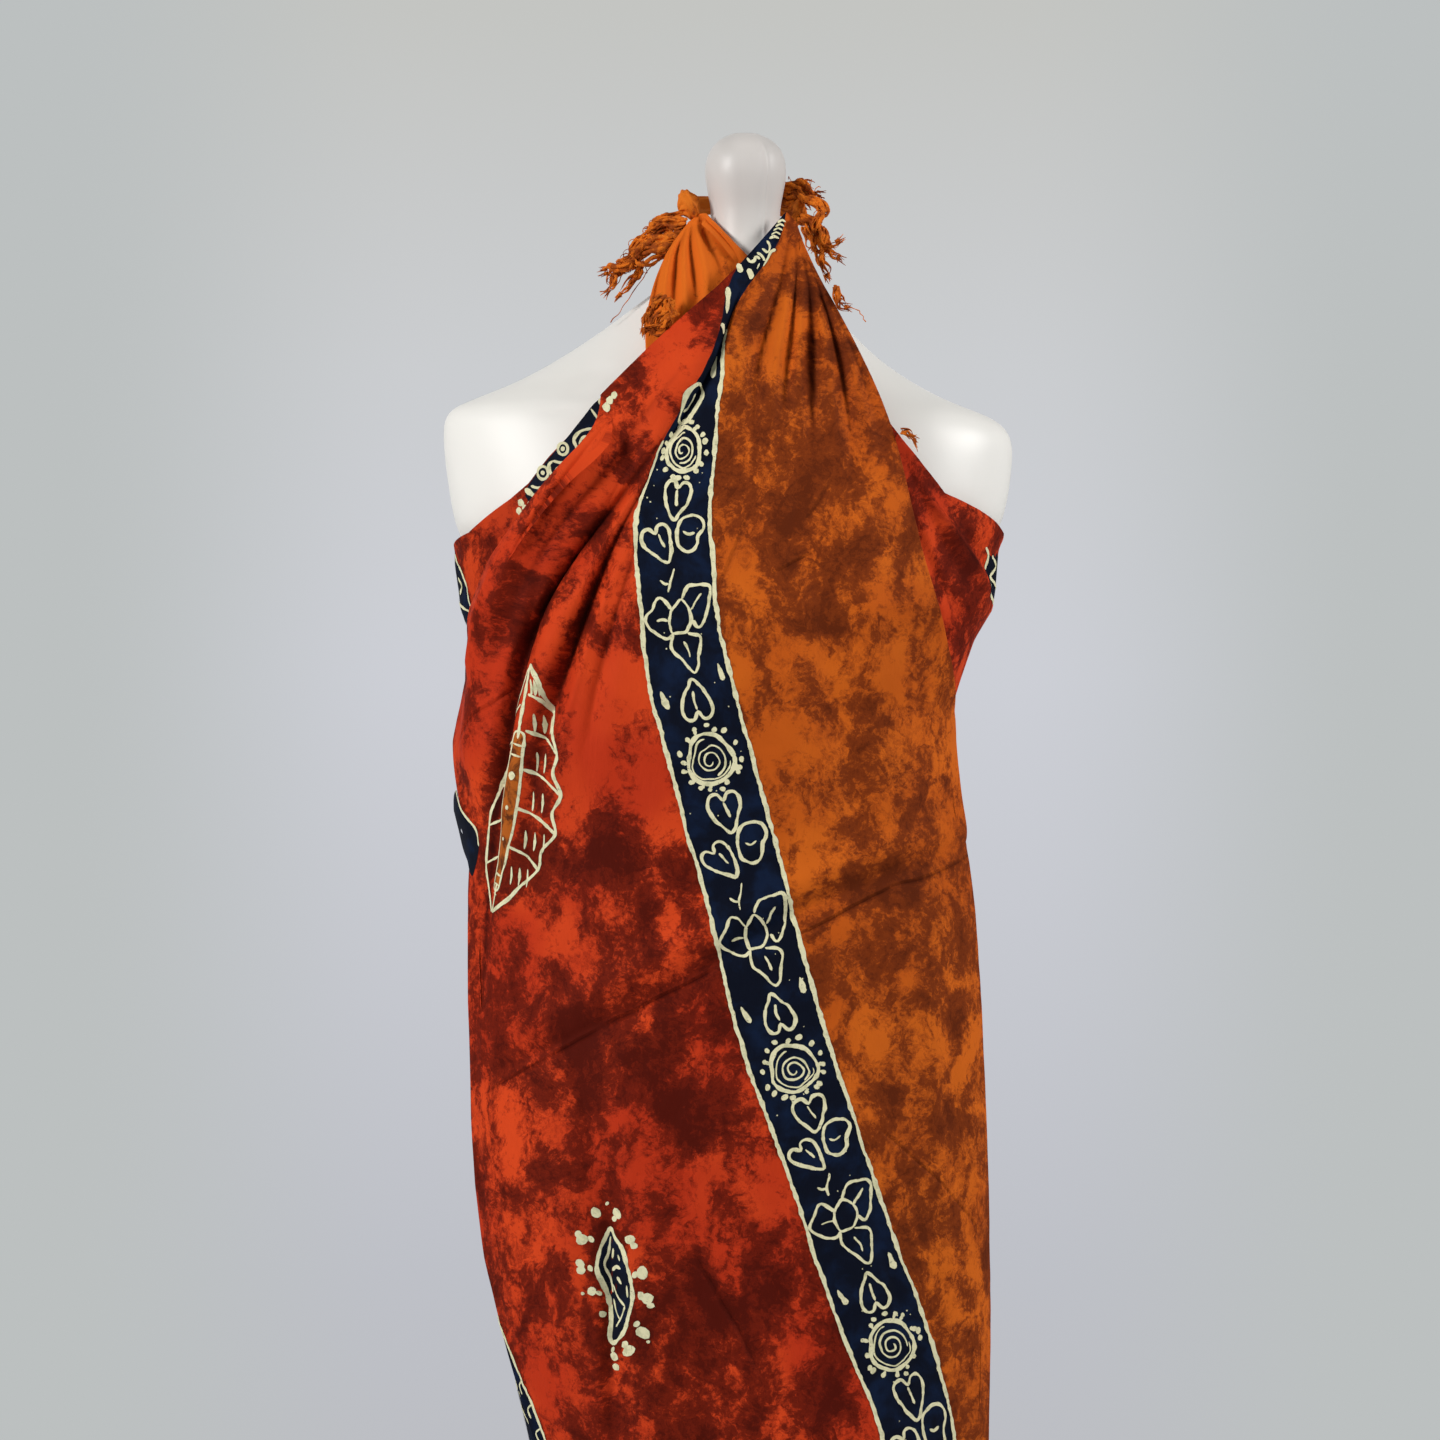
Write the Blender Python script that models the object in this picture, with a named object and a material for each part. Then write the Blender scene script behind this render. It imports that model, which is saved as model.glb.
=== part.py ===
"""A fringed batik sarong worn as a crossed halter dress on a limbless dress form.

Metres, +Z up, the wearer faces -Y, the origin is the centre of the foot plate's underside.
Outlines are read from the front as (x, y) picture stations of STATION metres each, then wrapped
round the sections of the body: q is the distance round a section from the front centre line.
"""
import math

import bpy
import numpy as np

for old in list(bpy.data.objects):
    bpy.data.objects.remove(old, do_unlink=True)

# ---------------------------------------------------------------- driving dimensions
STATION = 0.0007          # one picture station at the plane Y = 0
EYE_DISTANCE = 3.5        # distance of the viewpoint from that plane
EYE_X, EYE_Z = -0.0056, 1.071
CENTRE_STATION = (720.0, 720.0)
BODY_STATION_X = 728.0    # station of the plane X = 0
WALL = 0.0012             # cloth wall
HEM_FRONT, HEM_BACK = 0.262, 0.222
SECTION_POWER = 2.3       # super-ellipse of the dressed body
FORM_POWER = 2.05         # super-ellipse of the form
PLATE_R, PLATE_T = 0.155, 0.014
POLE_R = 0.0125
FORM_FOOT = 0.720
GAP = 0.0004


def height(y):
    """World height of a station row at the plane Y = 0."""
    return EYE_Z - (y - CENTRE_STATION[1]) * STATION


# ---------------------------------------------------------------- sections of the dressed body
# columns: station row y, left side x, right side x (picture stations)
SIDES = np.array([
    (100, 450, 1005), (535, 450, 1005), (550, 456, 998), (565, 456, 997), (590, 460, 995), (610, 462, 992),
    (640, 474, 974), (680, 474, 960), (711, 468, 950), (741, 462, 951), (765, 462, 954),
    (810, 463, 961), (830, 468, 964), (860, 475, 968), (920, 474, 973), (1000, 473, 979),
    (1100, 476, 983), (1180, 479, 985), (1250, 488, 986), (1300, 498, 987), (1361, 512, 987),
    (1440, 531, 988), (1600, 545, 986), (1950, 548, 980)], float)
# columns: height, depth in front of the axis, depth behind it
DEPTHS = np.array([
    (0.18, 0.112, 0.120), (0.40, 0.114, 0.123), (0.57, 0.118, 0.128), (0.70, 0.122, 0.133),
    (0.80, 0.124, 0.132), (0.90, 0.125, 0.120), (0.97, 0.126, 0.110), (1.05, 0.129, 0.107),
    (1.10, 0.130, 0.110), (1.15, 0.127, 0.113), (1.20, 0.117, 0.114), (1.25, 0.104, 0.112),
    (1.30, 0.090, 0.104), (1.34, 0.077, 0.090), (1.365, 0.064, 0.075), (1.385, 0.049, 0.060),
    (1.40, 0.035, 0.045), (1.42, 0.018, 0.030), (1.45, 0.006, 0.020)], float)
# columns: height, left half width, right half width, front depth, back depth, axis x, axis y
FORM = np.array([
    (0.7200, 0.085, 0.085, 0.058, 0.060, 0.0, 0.0), (0.7230, 0.112, 0.112, 0.078, 0.084, 0.0, 0.0),
    (0.7320, 0.134, 0.134, 0.092, 0.100, 0.0, 0.0), (0.7600, 0.148, 0.148, 0.101, 0.112, 0.0, 0.0),
    (0.8200, 0.149, 0.149, 0.102, 0.112, 0.0, 0.0), (0.9000, 0.136, 0.136, 0.096, 0.096, 0.0, 0.0),
    (0.9700, 0.121, 0.121, 0.091, 0.082, 0.0, 0.0), (1.0300, 0.124, 0.123, 0.096, 0.083, 0.0, 0.0),
    (1.0900, 0.139, 0.138, 0.107, 0.092, 0.0, 0.0), (1.1200, 0.150, 0.148, 0.111, 0.095, 0.0, 0.0),
    (1.1400, 0.160, 0.158, 0.111, 0.097, 0.0, 0.0), (1.1550, 0.171, 0.169, 0.110, 0.098, 0.0, 0.0),
    (1.1700, 0.179, 0.178, 0.108, 0.098, 0.0, 0.0), (1.1870, 0.183, 0.183, 0.103, 0.098, 0.0, 0.0), (1.1980, 0.1865, 0.1862, 0.101, 0.0975, 0.0, 0.0),
    (1.2100, 0.191, 0.1915, 0.0985, 0.097, 0.0, 0.0), (1.2350, 0.1955, 0.197, 0.092, 0.094, 0.0, 0.0),
    (1.2600, 0.1985, 0.1990, 0.085, 0.090, 0.0, 0.0), (1.2720, 0.1990, 0.1960, 0.081, 0.087, 0.0, 0.0),
    (1.2815, 0.1980, 0.1860, 0.078, 0.084, 0.0, 0.0), (1.2880, 0.1930, 0.1690, 0.0755, 0.082, 0.0, 0.0),
    (1.2950, 0.1780, 0.1520, 0.0725, 0.079, 0.0, 0.0), (1.3060, 0.1510, 0.1310, 0.068, 0.075, 0.0, 0.0),
    (1.3200, 0.1240, 0.1100, 0.0625, 0.069, 0.0, 0.0), (1.3370, 0.0980, 0.0900, 0.0555, 0.061, 0.001, 0.0),
    (1.3550, 0.0740, 0.0720, 0.0470, 0.052, 0.002, 0.001), (1.3700, 0.0570, 0.0540, 0.0400, 0.045, 0.005, 0.002),
    (1.3830, 0.0420, 0.0400, 0.0335, 0.037, 0.009, 0.003), (1.3960, 0.0305, 0.0290, 0.0285, 0.030, 0.0118, 0.004),
    (1.4100, 0.0250, 0.0235, 0.0250, 0.026, 0.0128, 0.005), (1.4260, 0.0248, 0.0236, 0.0250, 0.026, 0.0128, 0.005),
    (1.4420, 0.0270, 0.0265, 0.0272, 0.028, 0.0126, 0.005), (1.4540, 0.0285, 0.0287, 0.0286, 0.029, 0.0122, 0.005),
    (1.4640, 0.0272, 0.0280, 0.0276, 0.0278, 0.0120, 0.005), (1.4720, 0.0232, 0.0246, 0.0240, 0.024, 0.0118, 0.005),
    (1.4780, 0.0170, 0.0182, 0.0176, 0.0176, 0.0116, 0.005), (1.4815, 0.0092, 0.0098, 0.0095, 0.0095, 0.0115, 0.005)],
    float)

# ---------------------------------------------------------------- outlines of the stretches, in stations
# Guide lines of the over wrap, from the free edge (first) to the fold at the wearer's right side (last).
# Each runs from the top edge down; below the last station it goes on straight to the hem.
# columns: flat distance u from the short edge, then the stations (x, y)
OVER_GUIDES = [
    (0.000, [(802, 240), (811, 267), (830, 301), (851, 340), (876, 393), (889, 430), (897, 460), (911, 522),
             (920, 560), (935, 620), (944, 670), (947, 714), (949, 760), (957, 830), (966, 900), (974, 1000),
             (979, 1100), (982, 1200), (983, 1300), (981, 1440), (975, 1600), (968, 1900)]),
    (0.080, [(795, 222), (796, 260), (803, 301), (812, 340), (822, 393), (829, 460), (834, 560), (843, 660),
             (855, 760), (868, 860), (890, 1000), (915, 1180), (942, 1324), (964, 1440), (961, 1600), (954, 1900)]),
    (0.160, [(786, 213), (783, 239), (768, 263), (753, 282), (736, 308), (727, 328), (726, 350), (721, 382),
             (716, 425), (714, 477), (708, 505), (711, 540), (715, 588), (717, 620), (730, 675), (737, 703),
             (755, 768), (770, 825), (787, 894), (800, 946), (814, 1000), (842, 1090), (871, 1180), (896, 1255),
             (922, 1324), (938, 1387), (950, 1440), (944, 1600), (938, 1900)]),
    (0.215, [(738, 268), (725, 289), (719, 325), (702, 364), (687, 388), (672, 414), (658, 440), (652, 472),
             (643, 492), (637, 525), (636, 549), (640, 577), (643, 615), (646, 660), (652, 700), (661, 725),
             (672, 773), (681, 805), (688, 840), (699, 868), (712, 920), (729, 1000), (752, 1080), (772, 1130),
             (790, 1180), (815, 1260), (840, 1334), (862, 1385), (882, 1440), (891, 1600), (893, 1913)]),
    (0.250, [(715, 290), (695, 345), (668, 395), (645, 440), (630, 480), (620, 530), (616, 600), (617, 700),
             (636, 850), (668, 1000), (704, 1180), (745, 1334), (782, 1440), (808, 1600), (822, 1922)]),
    (0.285, [(690, 312), (668, 365), (646, 410), (628, 450), (607, 500), (592, 550), (575, 620), (562, 700),
             (560, 850), (572, 1000), (600, 1180), (650, 1334), (690, 1440)]),
    (0.330, [(653, 346), (634, 395), (610, 440), (584, 500), (560, 550), (532, 620), (510, 700), (499, 800),
             (500, 900), (506, 1000), (522, 1180), (564, 1334), (600, 1440)]),
    (0.360, [(630, 369), (618, 400), (595, 450), (563, 500), (537, 550), (506, 610), (490, 680), (480, 760),
             (482, 850), (484, 950), (487, 1050), (495, 1180), (528, 1334), (562, 1440)]),
    (0.390, [(604, 396), (606, 419), (595, 438), (561, 474), (540, 502), (529, 520), (511, 546), (499, 564),
             (491, 582), (486, 601), (480, 626), (478, 644), (477, 680), (470, 711), (463, 741), (463, 765),
             (469, 810), (479, 830), (478, 860), (477, 960), (479, 1050), (480, 1120), (484, 1180), (492, 1250),
             (504, 1300), (520, 1361), (543, 1440)]),
]
# Guide lines of the under wrap, from its own free edge at the wearer's right to the wearer's left side.
UNDER_GUIDES = [
    (0.000, [(688, 222), (670, 243), (657, 271), (652, 295), (643, 328), (648, 352), (642, 400), (625, 450),
             (597, 520), (566, 600), (538, 700), (520, 850), (516, 1000), (524, 1180), (556, 1334), (584, 1440)]),
    (0.060, [(698, 215), (690, 243), (682, 271), (676, 310), (672, 360), (662, 440), (645, 520), (622, 620),
             (600, 740), (588, 860), (586, 1000), (592, 1180), (612, 1334), (632, 1440)]),
    (0.110, [(706, 213), (712, 250), (712, 300), (710, 360), (706, 440), (698, 540), (686, 640), (672, 760),
             (664, 880), (662, 1000), (664, 1180), (672, 1334), (684, 1440)]),
    (0.150, [(746, 254), (748, 300), (746, 360), (742, 440), (738, 540), (732, 640), (726, 760), (722, 880),
             (722, 1000), (722, 1180), (726, 1334), (732, 1440)]),
    (0.215, [(790, 303), (790, 350), (788, 400), (786, 460), (784, 540), (782, 640), (780, 760), (780, 880),
             (780, 1000), (780, 1180), (782, 1334), (786, 1440)]),
    (0.290, [(850, 372), (848, 420), (844, 480), (840, 560), (838, 660), (836, 780), (838, 900), (840, 1000),
             (842, 1180), (844, 1334), (846, 1440)]),
    (0.350, [(905, 440), (902, 500), (898, 570), (893, 660), (890, 780), (892, 900), (895, 1000), (898, 1180),
             (900, 1334), (902, 1440)]),
    (0.405, [(948, 494), (950, 560), (936, 640), (926, 710), (928, 780), (936, 880), (942, 1000), (946, 1180),
             (948, 1334), (950, 1440)]),
]
# Top edge round the back and sides. columns: angle from the front centre line in degrees, height
BACK_TOP = np.array([(-270, 1.189), (-262, 1.189), (-250, 1.186), (-225, 1.180), (-200, 1.176), (-180, 1.175),
                     (-160, 1.176), (-135, 1.180), (-110, 1.187), (-90, 1.190)], float)
# Upper edge of the back wrap where it comes forward at the wearer's right, as stations (x, y)
BACK_FORWARD_TOP = [(616, 392), (604, 399), (575, 431), (549, 458), (529, 484), (510, 500), (492, 513), (469, 534)]

# ---------------------------------------------------------------- folds, in stations
# columns: depth (+ ridge, - trough) at the start, in the middle, at the end, half width, stations (x, y)
OVER_FOLDS = [
    # the broad swathe from the neck to the wearer's right hip
    (0.004, 0.009, 0.004, 0.022, [(705, 318), (655, 385), (600, 455), (545, 540), (500, 640), (480, 740), (478, 830)]),
    # the deep trough beside it, and the ridge and trough after that
    (-0.004, -0.011, -0.006, 0.0075, [(690, 388), (653, 442), (620, 491), (595, 525), (570, 560), (538, 605),
                                      (519, 650), (511, 700), (507, 760), (499, 800), (493, 880), (487, 1000)]),
    (0.003, 0.008, 0.002, 0.013, [(668, 440), (640, 500), (606, 560), (570, 620), (545, 680), (530, 750), (520, 830)]),
    (-0.003, -0.008, -0.002, 0.0070, [(660, 452), (630, 500), (607, 541), (590, 587), (578, 625), (562, 672),
                                      (549, 718), (540, 760)]),
    (0.002, 0.004, 0.001, 0.012, [(652, 500), (632, 560), (612, 620), (590, 690), (575, 760)]),
    # the edge of the swathe over the dark band
    (0.003, 0.006, 0.004, 0.010, [(736, 272), (715, 315), (694, 360), (668, 402), (648, 440), (632, 490)]),
    (-0.003, -0.006, -0.002, 0.0060, [(742, 286), (727, 326), (712, 362), (692, 398), (668, 440), (655, 470)]),
    # pleats gathered at the neck
    (-0.004, -0.005, -0.0005, 0.0045, [(791, 238), (788, 262), (786, 292), (774, 330), (760, 362), (748, 390)]),
    (0.004, 0.004, 0.001, 0.0060, [(795, 238), (797, 270), (797, 310), (791, 350), (780, 392)]),
    (-0.004, -0.006, -0.0005, 0.0045, [(799, 240), (806, 276), (808, 328), (811, 372), (812, 410), (810, 455)]),
    (0.003, 0.004, 0.001, 0.0055, [(801, 246), (814, 285), (822, 330), (832, 385), (838, 440)]),
    (-0.002, -0.004, -0.0005, 0.0045, [(803, 250), (823, 300), (842, 352), (852, 400), (858, 450)]),
    # slack at the wearer's left hip and the long soft draws across the skirt
    (0.001, 0.003, 0.001, 0.030, [(840, 430), (860, 560), (880, 700), (900, 860), (930, 1050)]),
    (-0.001, -0.003, -0.001, 0.016, [(965, 842), (900, 868), (800, 910), (720, 962), (600, 1025), (485, 1088)]),
    (0.001, 0.003, 0.001, 0.018, [(965, 818), (880, 850), (800, 884), (715, 930), (600, 990), (490, 1050)]),
    (-0.001, -0.003, -0.001, 0.014, [(700, 1170), (740, 1235), (800, 1330), (830, 1400)]),
    (0.001, 0.003, 0.001, 0.022, [(520, 1060), (560, 1160), (580, 1280), (600, 1420)]),
    (-0.001, -0.004, -0.002, 0.016, [(560, 1000), (585, 1100), (606, 1200), (612, 1330), (625, 1440)]),
]
UNDER_FOLDS = [
    (0.002, 0.005, 0.003, 0.0075, [(925, 492), (945, 520), (966, 552), (988, 588)]),
    (-0.001, -0.004, -0.003, 0.0060, [(938, 496), (958, 522), (976, 548), (992, 576)]),
    (-0.001, -0.003, -0.001, 0.0100, [(922, 545), (945, 585), (962, 612), (975, 628)]),
    (0.003, 0.004, 0.001, 0.0060, [(694, 222), (698, 250), (697, 290), (690, 330)]),
    (-0.003, -0.004, -0.001, 0.0045, [(690, 224), (684, 252), (681, 290), (676, 330)]),
    (-0.002, -0.003, -0.001, 0.0045, [(702, 220), (714, 250), (718, 290), (716, 320)]),
]
# columns: depths, half width, then (angle, height) points round the back
BACK_FOLDS = [
    (0.002, 0.006, 0.004, 0.016, [(-112, 1.17), (-118, 1.08), (-122, 0.95), (-124, 0.75), (-126, 0.50), (-126, 0.22)]),
    (-0.002, -0.006, -0.004, 0.014, [(-128, 1.15), (-134, 1.05), (-138, 0.90), (-140, 0.70), (-140, 0.45), (-141, 0.22)]),
    (0.001, 0.005, 0.006, 0.017, [(-152, 1.12), (-155, 1.00), (-157, 0.80), (-158, 0.55), (-158, 0.22)]),
    (-0.001, -0.006, -0.006, 0.015, [(-170, 1.10), (-172, 0.95), (-174, 0.75), (-175, 0.50), (-175, 0.22)]),
    (0.001, 0.004, 0.006, 0.017, [(-190, 1.12), (-191, 0.95), (-192, 0.75), (-192, 0.50), (-192, 0.22)]),
    (-0.001, -0.005, -0.005, 0.015, [(-212, 1.12), (-210, 1.00), (-208, 0.80), (-207, 0.55), (-207, 0.22)]),
    (0.001, 0.004, 0.004, 0.016, [(-232, 1.14), (-228, 1.00), (-225, 0.80), (-224, 0.50), (-223, 0.22)]),
    (-0.002, -0.005, -0.004, 0.013, [(-250, 1.15), (-246, 1.02), (-242, 0.85), (-240, 0.60), (-240, 0.22)]),
]


# ---------------------------------------------------------------- the wrapped sheet
def sides(z):
    y = CENTRE_STATION[1] + (EYE_Z - z) / STATION
    left = (BODY_STATION_X - np.interp(y, SIDES[:, 0], SIDES[:, 1])) * STATION
    right = (np.interp(y, SIDES[:, 0], SIDES[:, 2]) - BODY_STATION_X) * STATION
    return left, right


def depths(z):
    return np.interp(z, DEPTHS[:, 0], DEPTHS[:, 1]), np.interp(z, DEPTHS[:, 0], DEPTHS[:, 2])


def signed_power(value, power):
    return np.sign(value) * np.abs(value) ** power


def ring(angle, z):
    """A point of the dressed body's section and its outward normal. angle 0 is the front, + is the wearer's left."""
    left, right = sides(z)
    front, back = depths(z)
    a = np.radians(angle)
    s, c = signed_power(np.sin(a), 2 / SECTION_POWER), signed_power(np.cos(a), 2 / SECTION_POWER)
    w, d = np.where(s < 0, left, right), np.where(c > 0, front, back)
    x, y = w * s, -d * c
    nx = signed_power(s, SECTION_POWER - 1) / np.maximum(w, 1e-6)
    ny = -signed_power(c, SECTION_POWER - 1) / np.maximum(d, 1e-6)
    n = np.hypot(nx, ny) + 1e-12
    return x, y, nx / n, ny / n


# q over angle, tabulated by height
TABLE_Z = np.linspace(0.18, 1.45, 320)
TABLE_A = np.linspace(-290, 130, 1261)
_zz, _aa = np.meshgrid(TABLE_Z, TABLE_A, indexing="ij")
_x, _y, _, _ = ring(_aa, _zz)
_step = np.hypot(np.diff(_x, axis=1), np.diff(_y, axis=1))
_q = np.concatenate([np.zeros((len(TABLE_Z), 1)), np.cumsum(_step, axis=1)], axis=1)
_zero = np.array([np.interp(0.0, TABLE_A, row) for row in _q])
TABLE_Q = _q - _zero[:, None]


def row_mix(z):
    f = np.clip((z - TABLE_Z[0]) / (TABLE_Z[-1] - TABLE_Z[0]) * (len(TABLE_Z) - 1), 0, len(TABLE_Z) - 1.001)
    i = f.astype(int)
    return i, f - i


def angle_to_q(angle, z):
    angle, z = np.broadcast_arrays(np.asarray(angle, float), np.asarray(z, float))
    i, f = row_mix(z)
    g = np.clip((angle - TABLE_A[0]) / (TABLE_A[-1] - TABLE_A[0]) * (len(TABLE_A) - 1), 0, len(TABLE_A) - 1.001)
    j = g.astype(int)
    g = g - j
    low = TABLE_Q[i, j] * (1 - g) + TABLE_Q[i, j + 1] * g
    high = TABLE_Q[i + 1, j] * (1 - g) + TABLE_Q[i + 1, j + 1] * g
    return low * (1 - f) + high * f


def q_to_angle(q, z):
    q, z = np.broadcast_arrays(np.asarray(q, float), np.asarray(z, float))
    low, high = np.full(q.shape, TABLE_A[0]), np.full(q.shape, TABLE_A[-1])
    for _ in range(34):
        middle = (low + high) / 2
        under = angle_to_q(middle, z) < q
        low, high = np.where(under, middle, low), np.where(under, high, middle)
    return (low + high) / 2


def wrapped(q, z, offset):
    """The 3-D point at distance q round the section at height z, offset outward."""
    x, y, nx, ny = ring(q_to_angle(q, z), z)
    return np.stack([x + nx * offset, y + ny * offset, np.broadcast_to(z, x.shape)], axis=-1)


def from_station(x, y):
    """(q, z) on the front of the dressed body seen at that station."""
    x, y = np.asarray(x, float), np.asarray(y, float)
    depth = np.zeros_like(x)
    for _ in range(8):
        scale = STATION * (EYE_DISTANCE + depth) / EYE_DISTANCE
        px, z = EYE_X + (x - CENTRE_STATION[0]) * scale, EYE_Z - (y - CENTRE_STATION[1]) * scale
        left, right = sides(z)
        share = np.clip(px / np.where(px < 0, left, right), -0.9995, 0.9995)
        front, _ = depths(z)
        new = -front * (1 - np.abs(share) ** SECTION_POWER) ** (1 / SECTION_POWER)
        depth = 0.5 * depth + 0.5 * new
    angle = np.degrees(np.arcsin(np.clip(signed_power(share, SECTION_POWER / 2), -1, 1)))
    return angle_to_q(angle, z), z


def resampled(line, count):
    """count points evenly along a (q, z) line, and its length."""
    line = np.asarray(line, float)
    run = np.concatenate([[0], np.cumsum(np.hypot(*np.diff(line, axis=0).T))])
    at = np.linspace(0, run[-1], count)
    return np.stack([np.interp(at, run, line[:, 0]), np.interp(at, run, line[:, 1])], axis=1), run[-1]


def smoothed(line, passes):
    line = np.array(line, float)
    for _ in range(passes):
        line[1:-1] = 0.25 * line[:-2] + 0.5 * line[1:-1] + 0.25 * line[2:]
    return line


def hem_height(q):
    """The hem dips from the front to the back."""
    share = 0.5 - 0.5 * np.cos(np.clip(np.abs(q) / 0.45, 0, 1) * math.pi)
    return HEM_FRONT + (HEM_BACK - HEM_FRONT) * share


def guide(stations, samples=160, soften=2):
    """A guide line in (q, z), carried on straight below its last station to the hem."""
    x, y = np.array(stations, float).T
    q, z = from_station(x, y)
    line = np.stack([q, z], axis=1)
    slope = (line[-1, 0] - line[-3, 0]) / (line[-1, 1] - line[-3, 1])
    if line[-1, 1] > HEM_FRONT + 0.02:
        foot = hem_height(line[-1, 0] + slope * 0.5 * (HEM_FRONT - line[-1, 1]))
        run = (foot - line[-1, 1])
        line = np.vstack([line, [line[-1, 0] + 0.62 * slope * run * 0.5, line[-1, 1] + run * 0.5],
                          [line[-1, 0] + 0.55 * slope * run, foot]])
    dense, _ = resampled(line, 400)
    dense = smoothed(dense, soften * 12)
    return resampled(dense, samples)[0]


def between(guides, flat, s):
    """A line between guide lines at flat distance s."""
    k = int(np.clip(np.searchsorted(flat, s, side="right") - 1, 0, len(flat) - 2))
    f = (s - flat[k]) / (flat[k + 1] - flat[k])
    return guides[k] * (1 - f) + guides[k + 1] * f


def distance_to(line, q, z):
    """Distance of points to a line in (q, z), and how far along the line the nearest point is, 0 to 1."""
    best, along = np.full(q.shape, 1e9), np.zeros(q.shape)
    run = np.concatenate([[0], np.cumsum(np.hypot(*np.diff(line, axis=0).T))])
    for k in range(len(line) - 1):
        a, d = line[k], line[k + 1] - line[k]
        t = np.clip(((q - a[0]) * d[0] + (z - a[1]) * d[1]) / max(d @ d, 1e-12), 0, 1)
        far = np.hypot(q - a[0] - t * d[0], z - a[1] - t * d[1])
        near = far < best
        best, along = np.where(near, far, best), np.where(near, (run[k] + t * np.hypot(*d)) / run[-1], along)
    return best, along


def fold_sum(folds, q, z):
    """Ridges and troughs, each fading out past its two ends."""
    total = np.zeros(q.shape)
    for start, middle, end, half_width, line in folds:
        far, along = distance_to(line, q, z)
        size = np.where(along < 0.5, start + (middle - start) * np.sin(along * math.pi) ** 1.0,
                        end + (middle - end) * np.sin(along * math.pi) ** 1.0)
        total = total + size * np.exp(-(far / half_width) ** 2)
    return total


def folds_in_q(folds):
    out = []
    for start, middle, end, half_width, stations in folds:
        q, z = from_station(*np.array(stations, float).T)
        out.append((start, middle, end, half_width, smoothed(resampled(np.stack([q, z], 1), 40)[0], 6)))
    return out


def back_folds_in_q(folds):
    out = []
    for start, middle, end, half_width, points in folds:
        a, z = np.array(points, float).T
        fine = np.linspace(z[0], z[-1], 40)
        a = np.interp(-fine, -z, a)
        out.append((start, middle, end, half_width, np.stack([angle_to_q(a, fine), fine], 1)))
    return out


def soft_floor(value, least, softness=0.0015):
    """value, kept above least with a soft corner."""
    return least + softness * np.logaddexp(0, (value - least) / softness)


OVER_LINES = folds_in_q(OVER_FOLDS)
UNDER_LINES = folds_in_q(UNDER_FOLDS)
BACK_LINES = back_folds_in_q(BACK_FOLDS)
OVER_FLAT = np.array([u for u, _ in OVER_GUIDES])
OVER_Q = [guide(line) for _, line in OVER_GUIDES]
# Below the waist the free edge and the band beside it run round the wearer's left side.
UNDER_FLAT = np.array([u for u, _ in UNDER_GUIDES] + [0.465])
SEAM_ANGLE = 96.0


def seam_line(samples, top=1.1885):
    z = np.linspace(top, 0.0, samples)
    foot = hem_height(0.4)
    z = top + (foot - top) * np.linspace(0, 1, samples)
    return np.stack([angle_to_q(SEAM_ANGLE, z), z], axis=1)


UNDER_Q = [guide(line) for _, line in UNDER_GUIDES] + [seam_line(160)]


def over_offset(q, z):
    swathe, _ = distance_to(OVER_LINES[0][4], q, z)
    base = 0.0050 + 0.004 * np.exp(-(swathe / 0.05) ** 2)
    return soft_floor(base + fold_sum(OVER_LINES, q, z), 0.0032)


def under_offset(q, z):
    """Close under the over wrap in front, out to the full section at the wearer's left side."""
    angle = q_to_angle(q, z)
    out = np.clip((angle - 30) / 45, 0, 1)
    out = out * out * (3 - 2 * out)
    shown = np.clip((z - 1.06) / 0.06, 0, 1)
    out = np.where(angle > 84, 1.0, out * shown)
    out = np.maximum(out, np.clip((angle - 74) / 12, 0, 1))
    return -0.0055 * (1 - out) + np.clip(fold_sum(UNDER_LINES, q, z), -0.003, 0.0042) * np.clip((94 - angle) / 10, 0, 1)


def back_offset(q, z):
    angle = q_to_angle(q, z)
    tucked = np.clip((angle + 84) / 14, 0, 1) * np.clip((1.155 - z) / 0.05, 0, 1)
    return -0.0030 * tucked + fold_sum(BACK_LINES, q, z) * np.clip((angle + 262) / 10, 0, 1)


def over_grid(columns, rows):
    """(q, z) and flat (u, v) of the over wrap; first column is the free edge."""
    u = np.interp(np.linspace(0, 1, columns), np.linspace(0, 1, len(columns_of_over)), columns_of_over)
    lines = [resampled(between(OVER_Q, OVER_FLAT, s), rows)[0] for s in u]
    return np.array(lines), u


def under_grid(columns, rows):
    u = np.linspace(UNDER_FLAT[0], UNDER_FLAT[-1], columns)
    return np.array([resampled(between(UNDER_Q, UNDER_FLAT, s), rows)[0] for s in u]), u


columns_of_over = np.array([0, 0.04, 0.08, 0.12, 0.16, 0.19, 0.215, 0.235, 0.255, 0.275, 0.295, 0.315, 0.335, 0.355, 0.372, 0.390])


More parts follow.
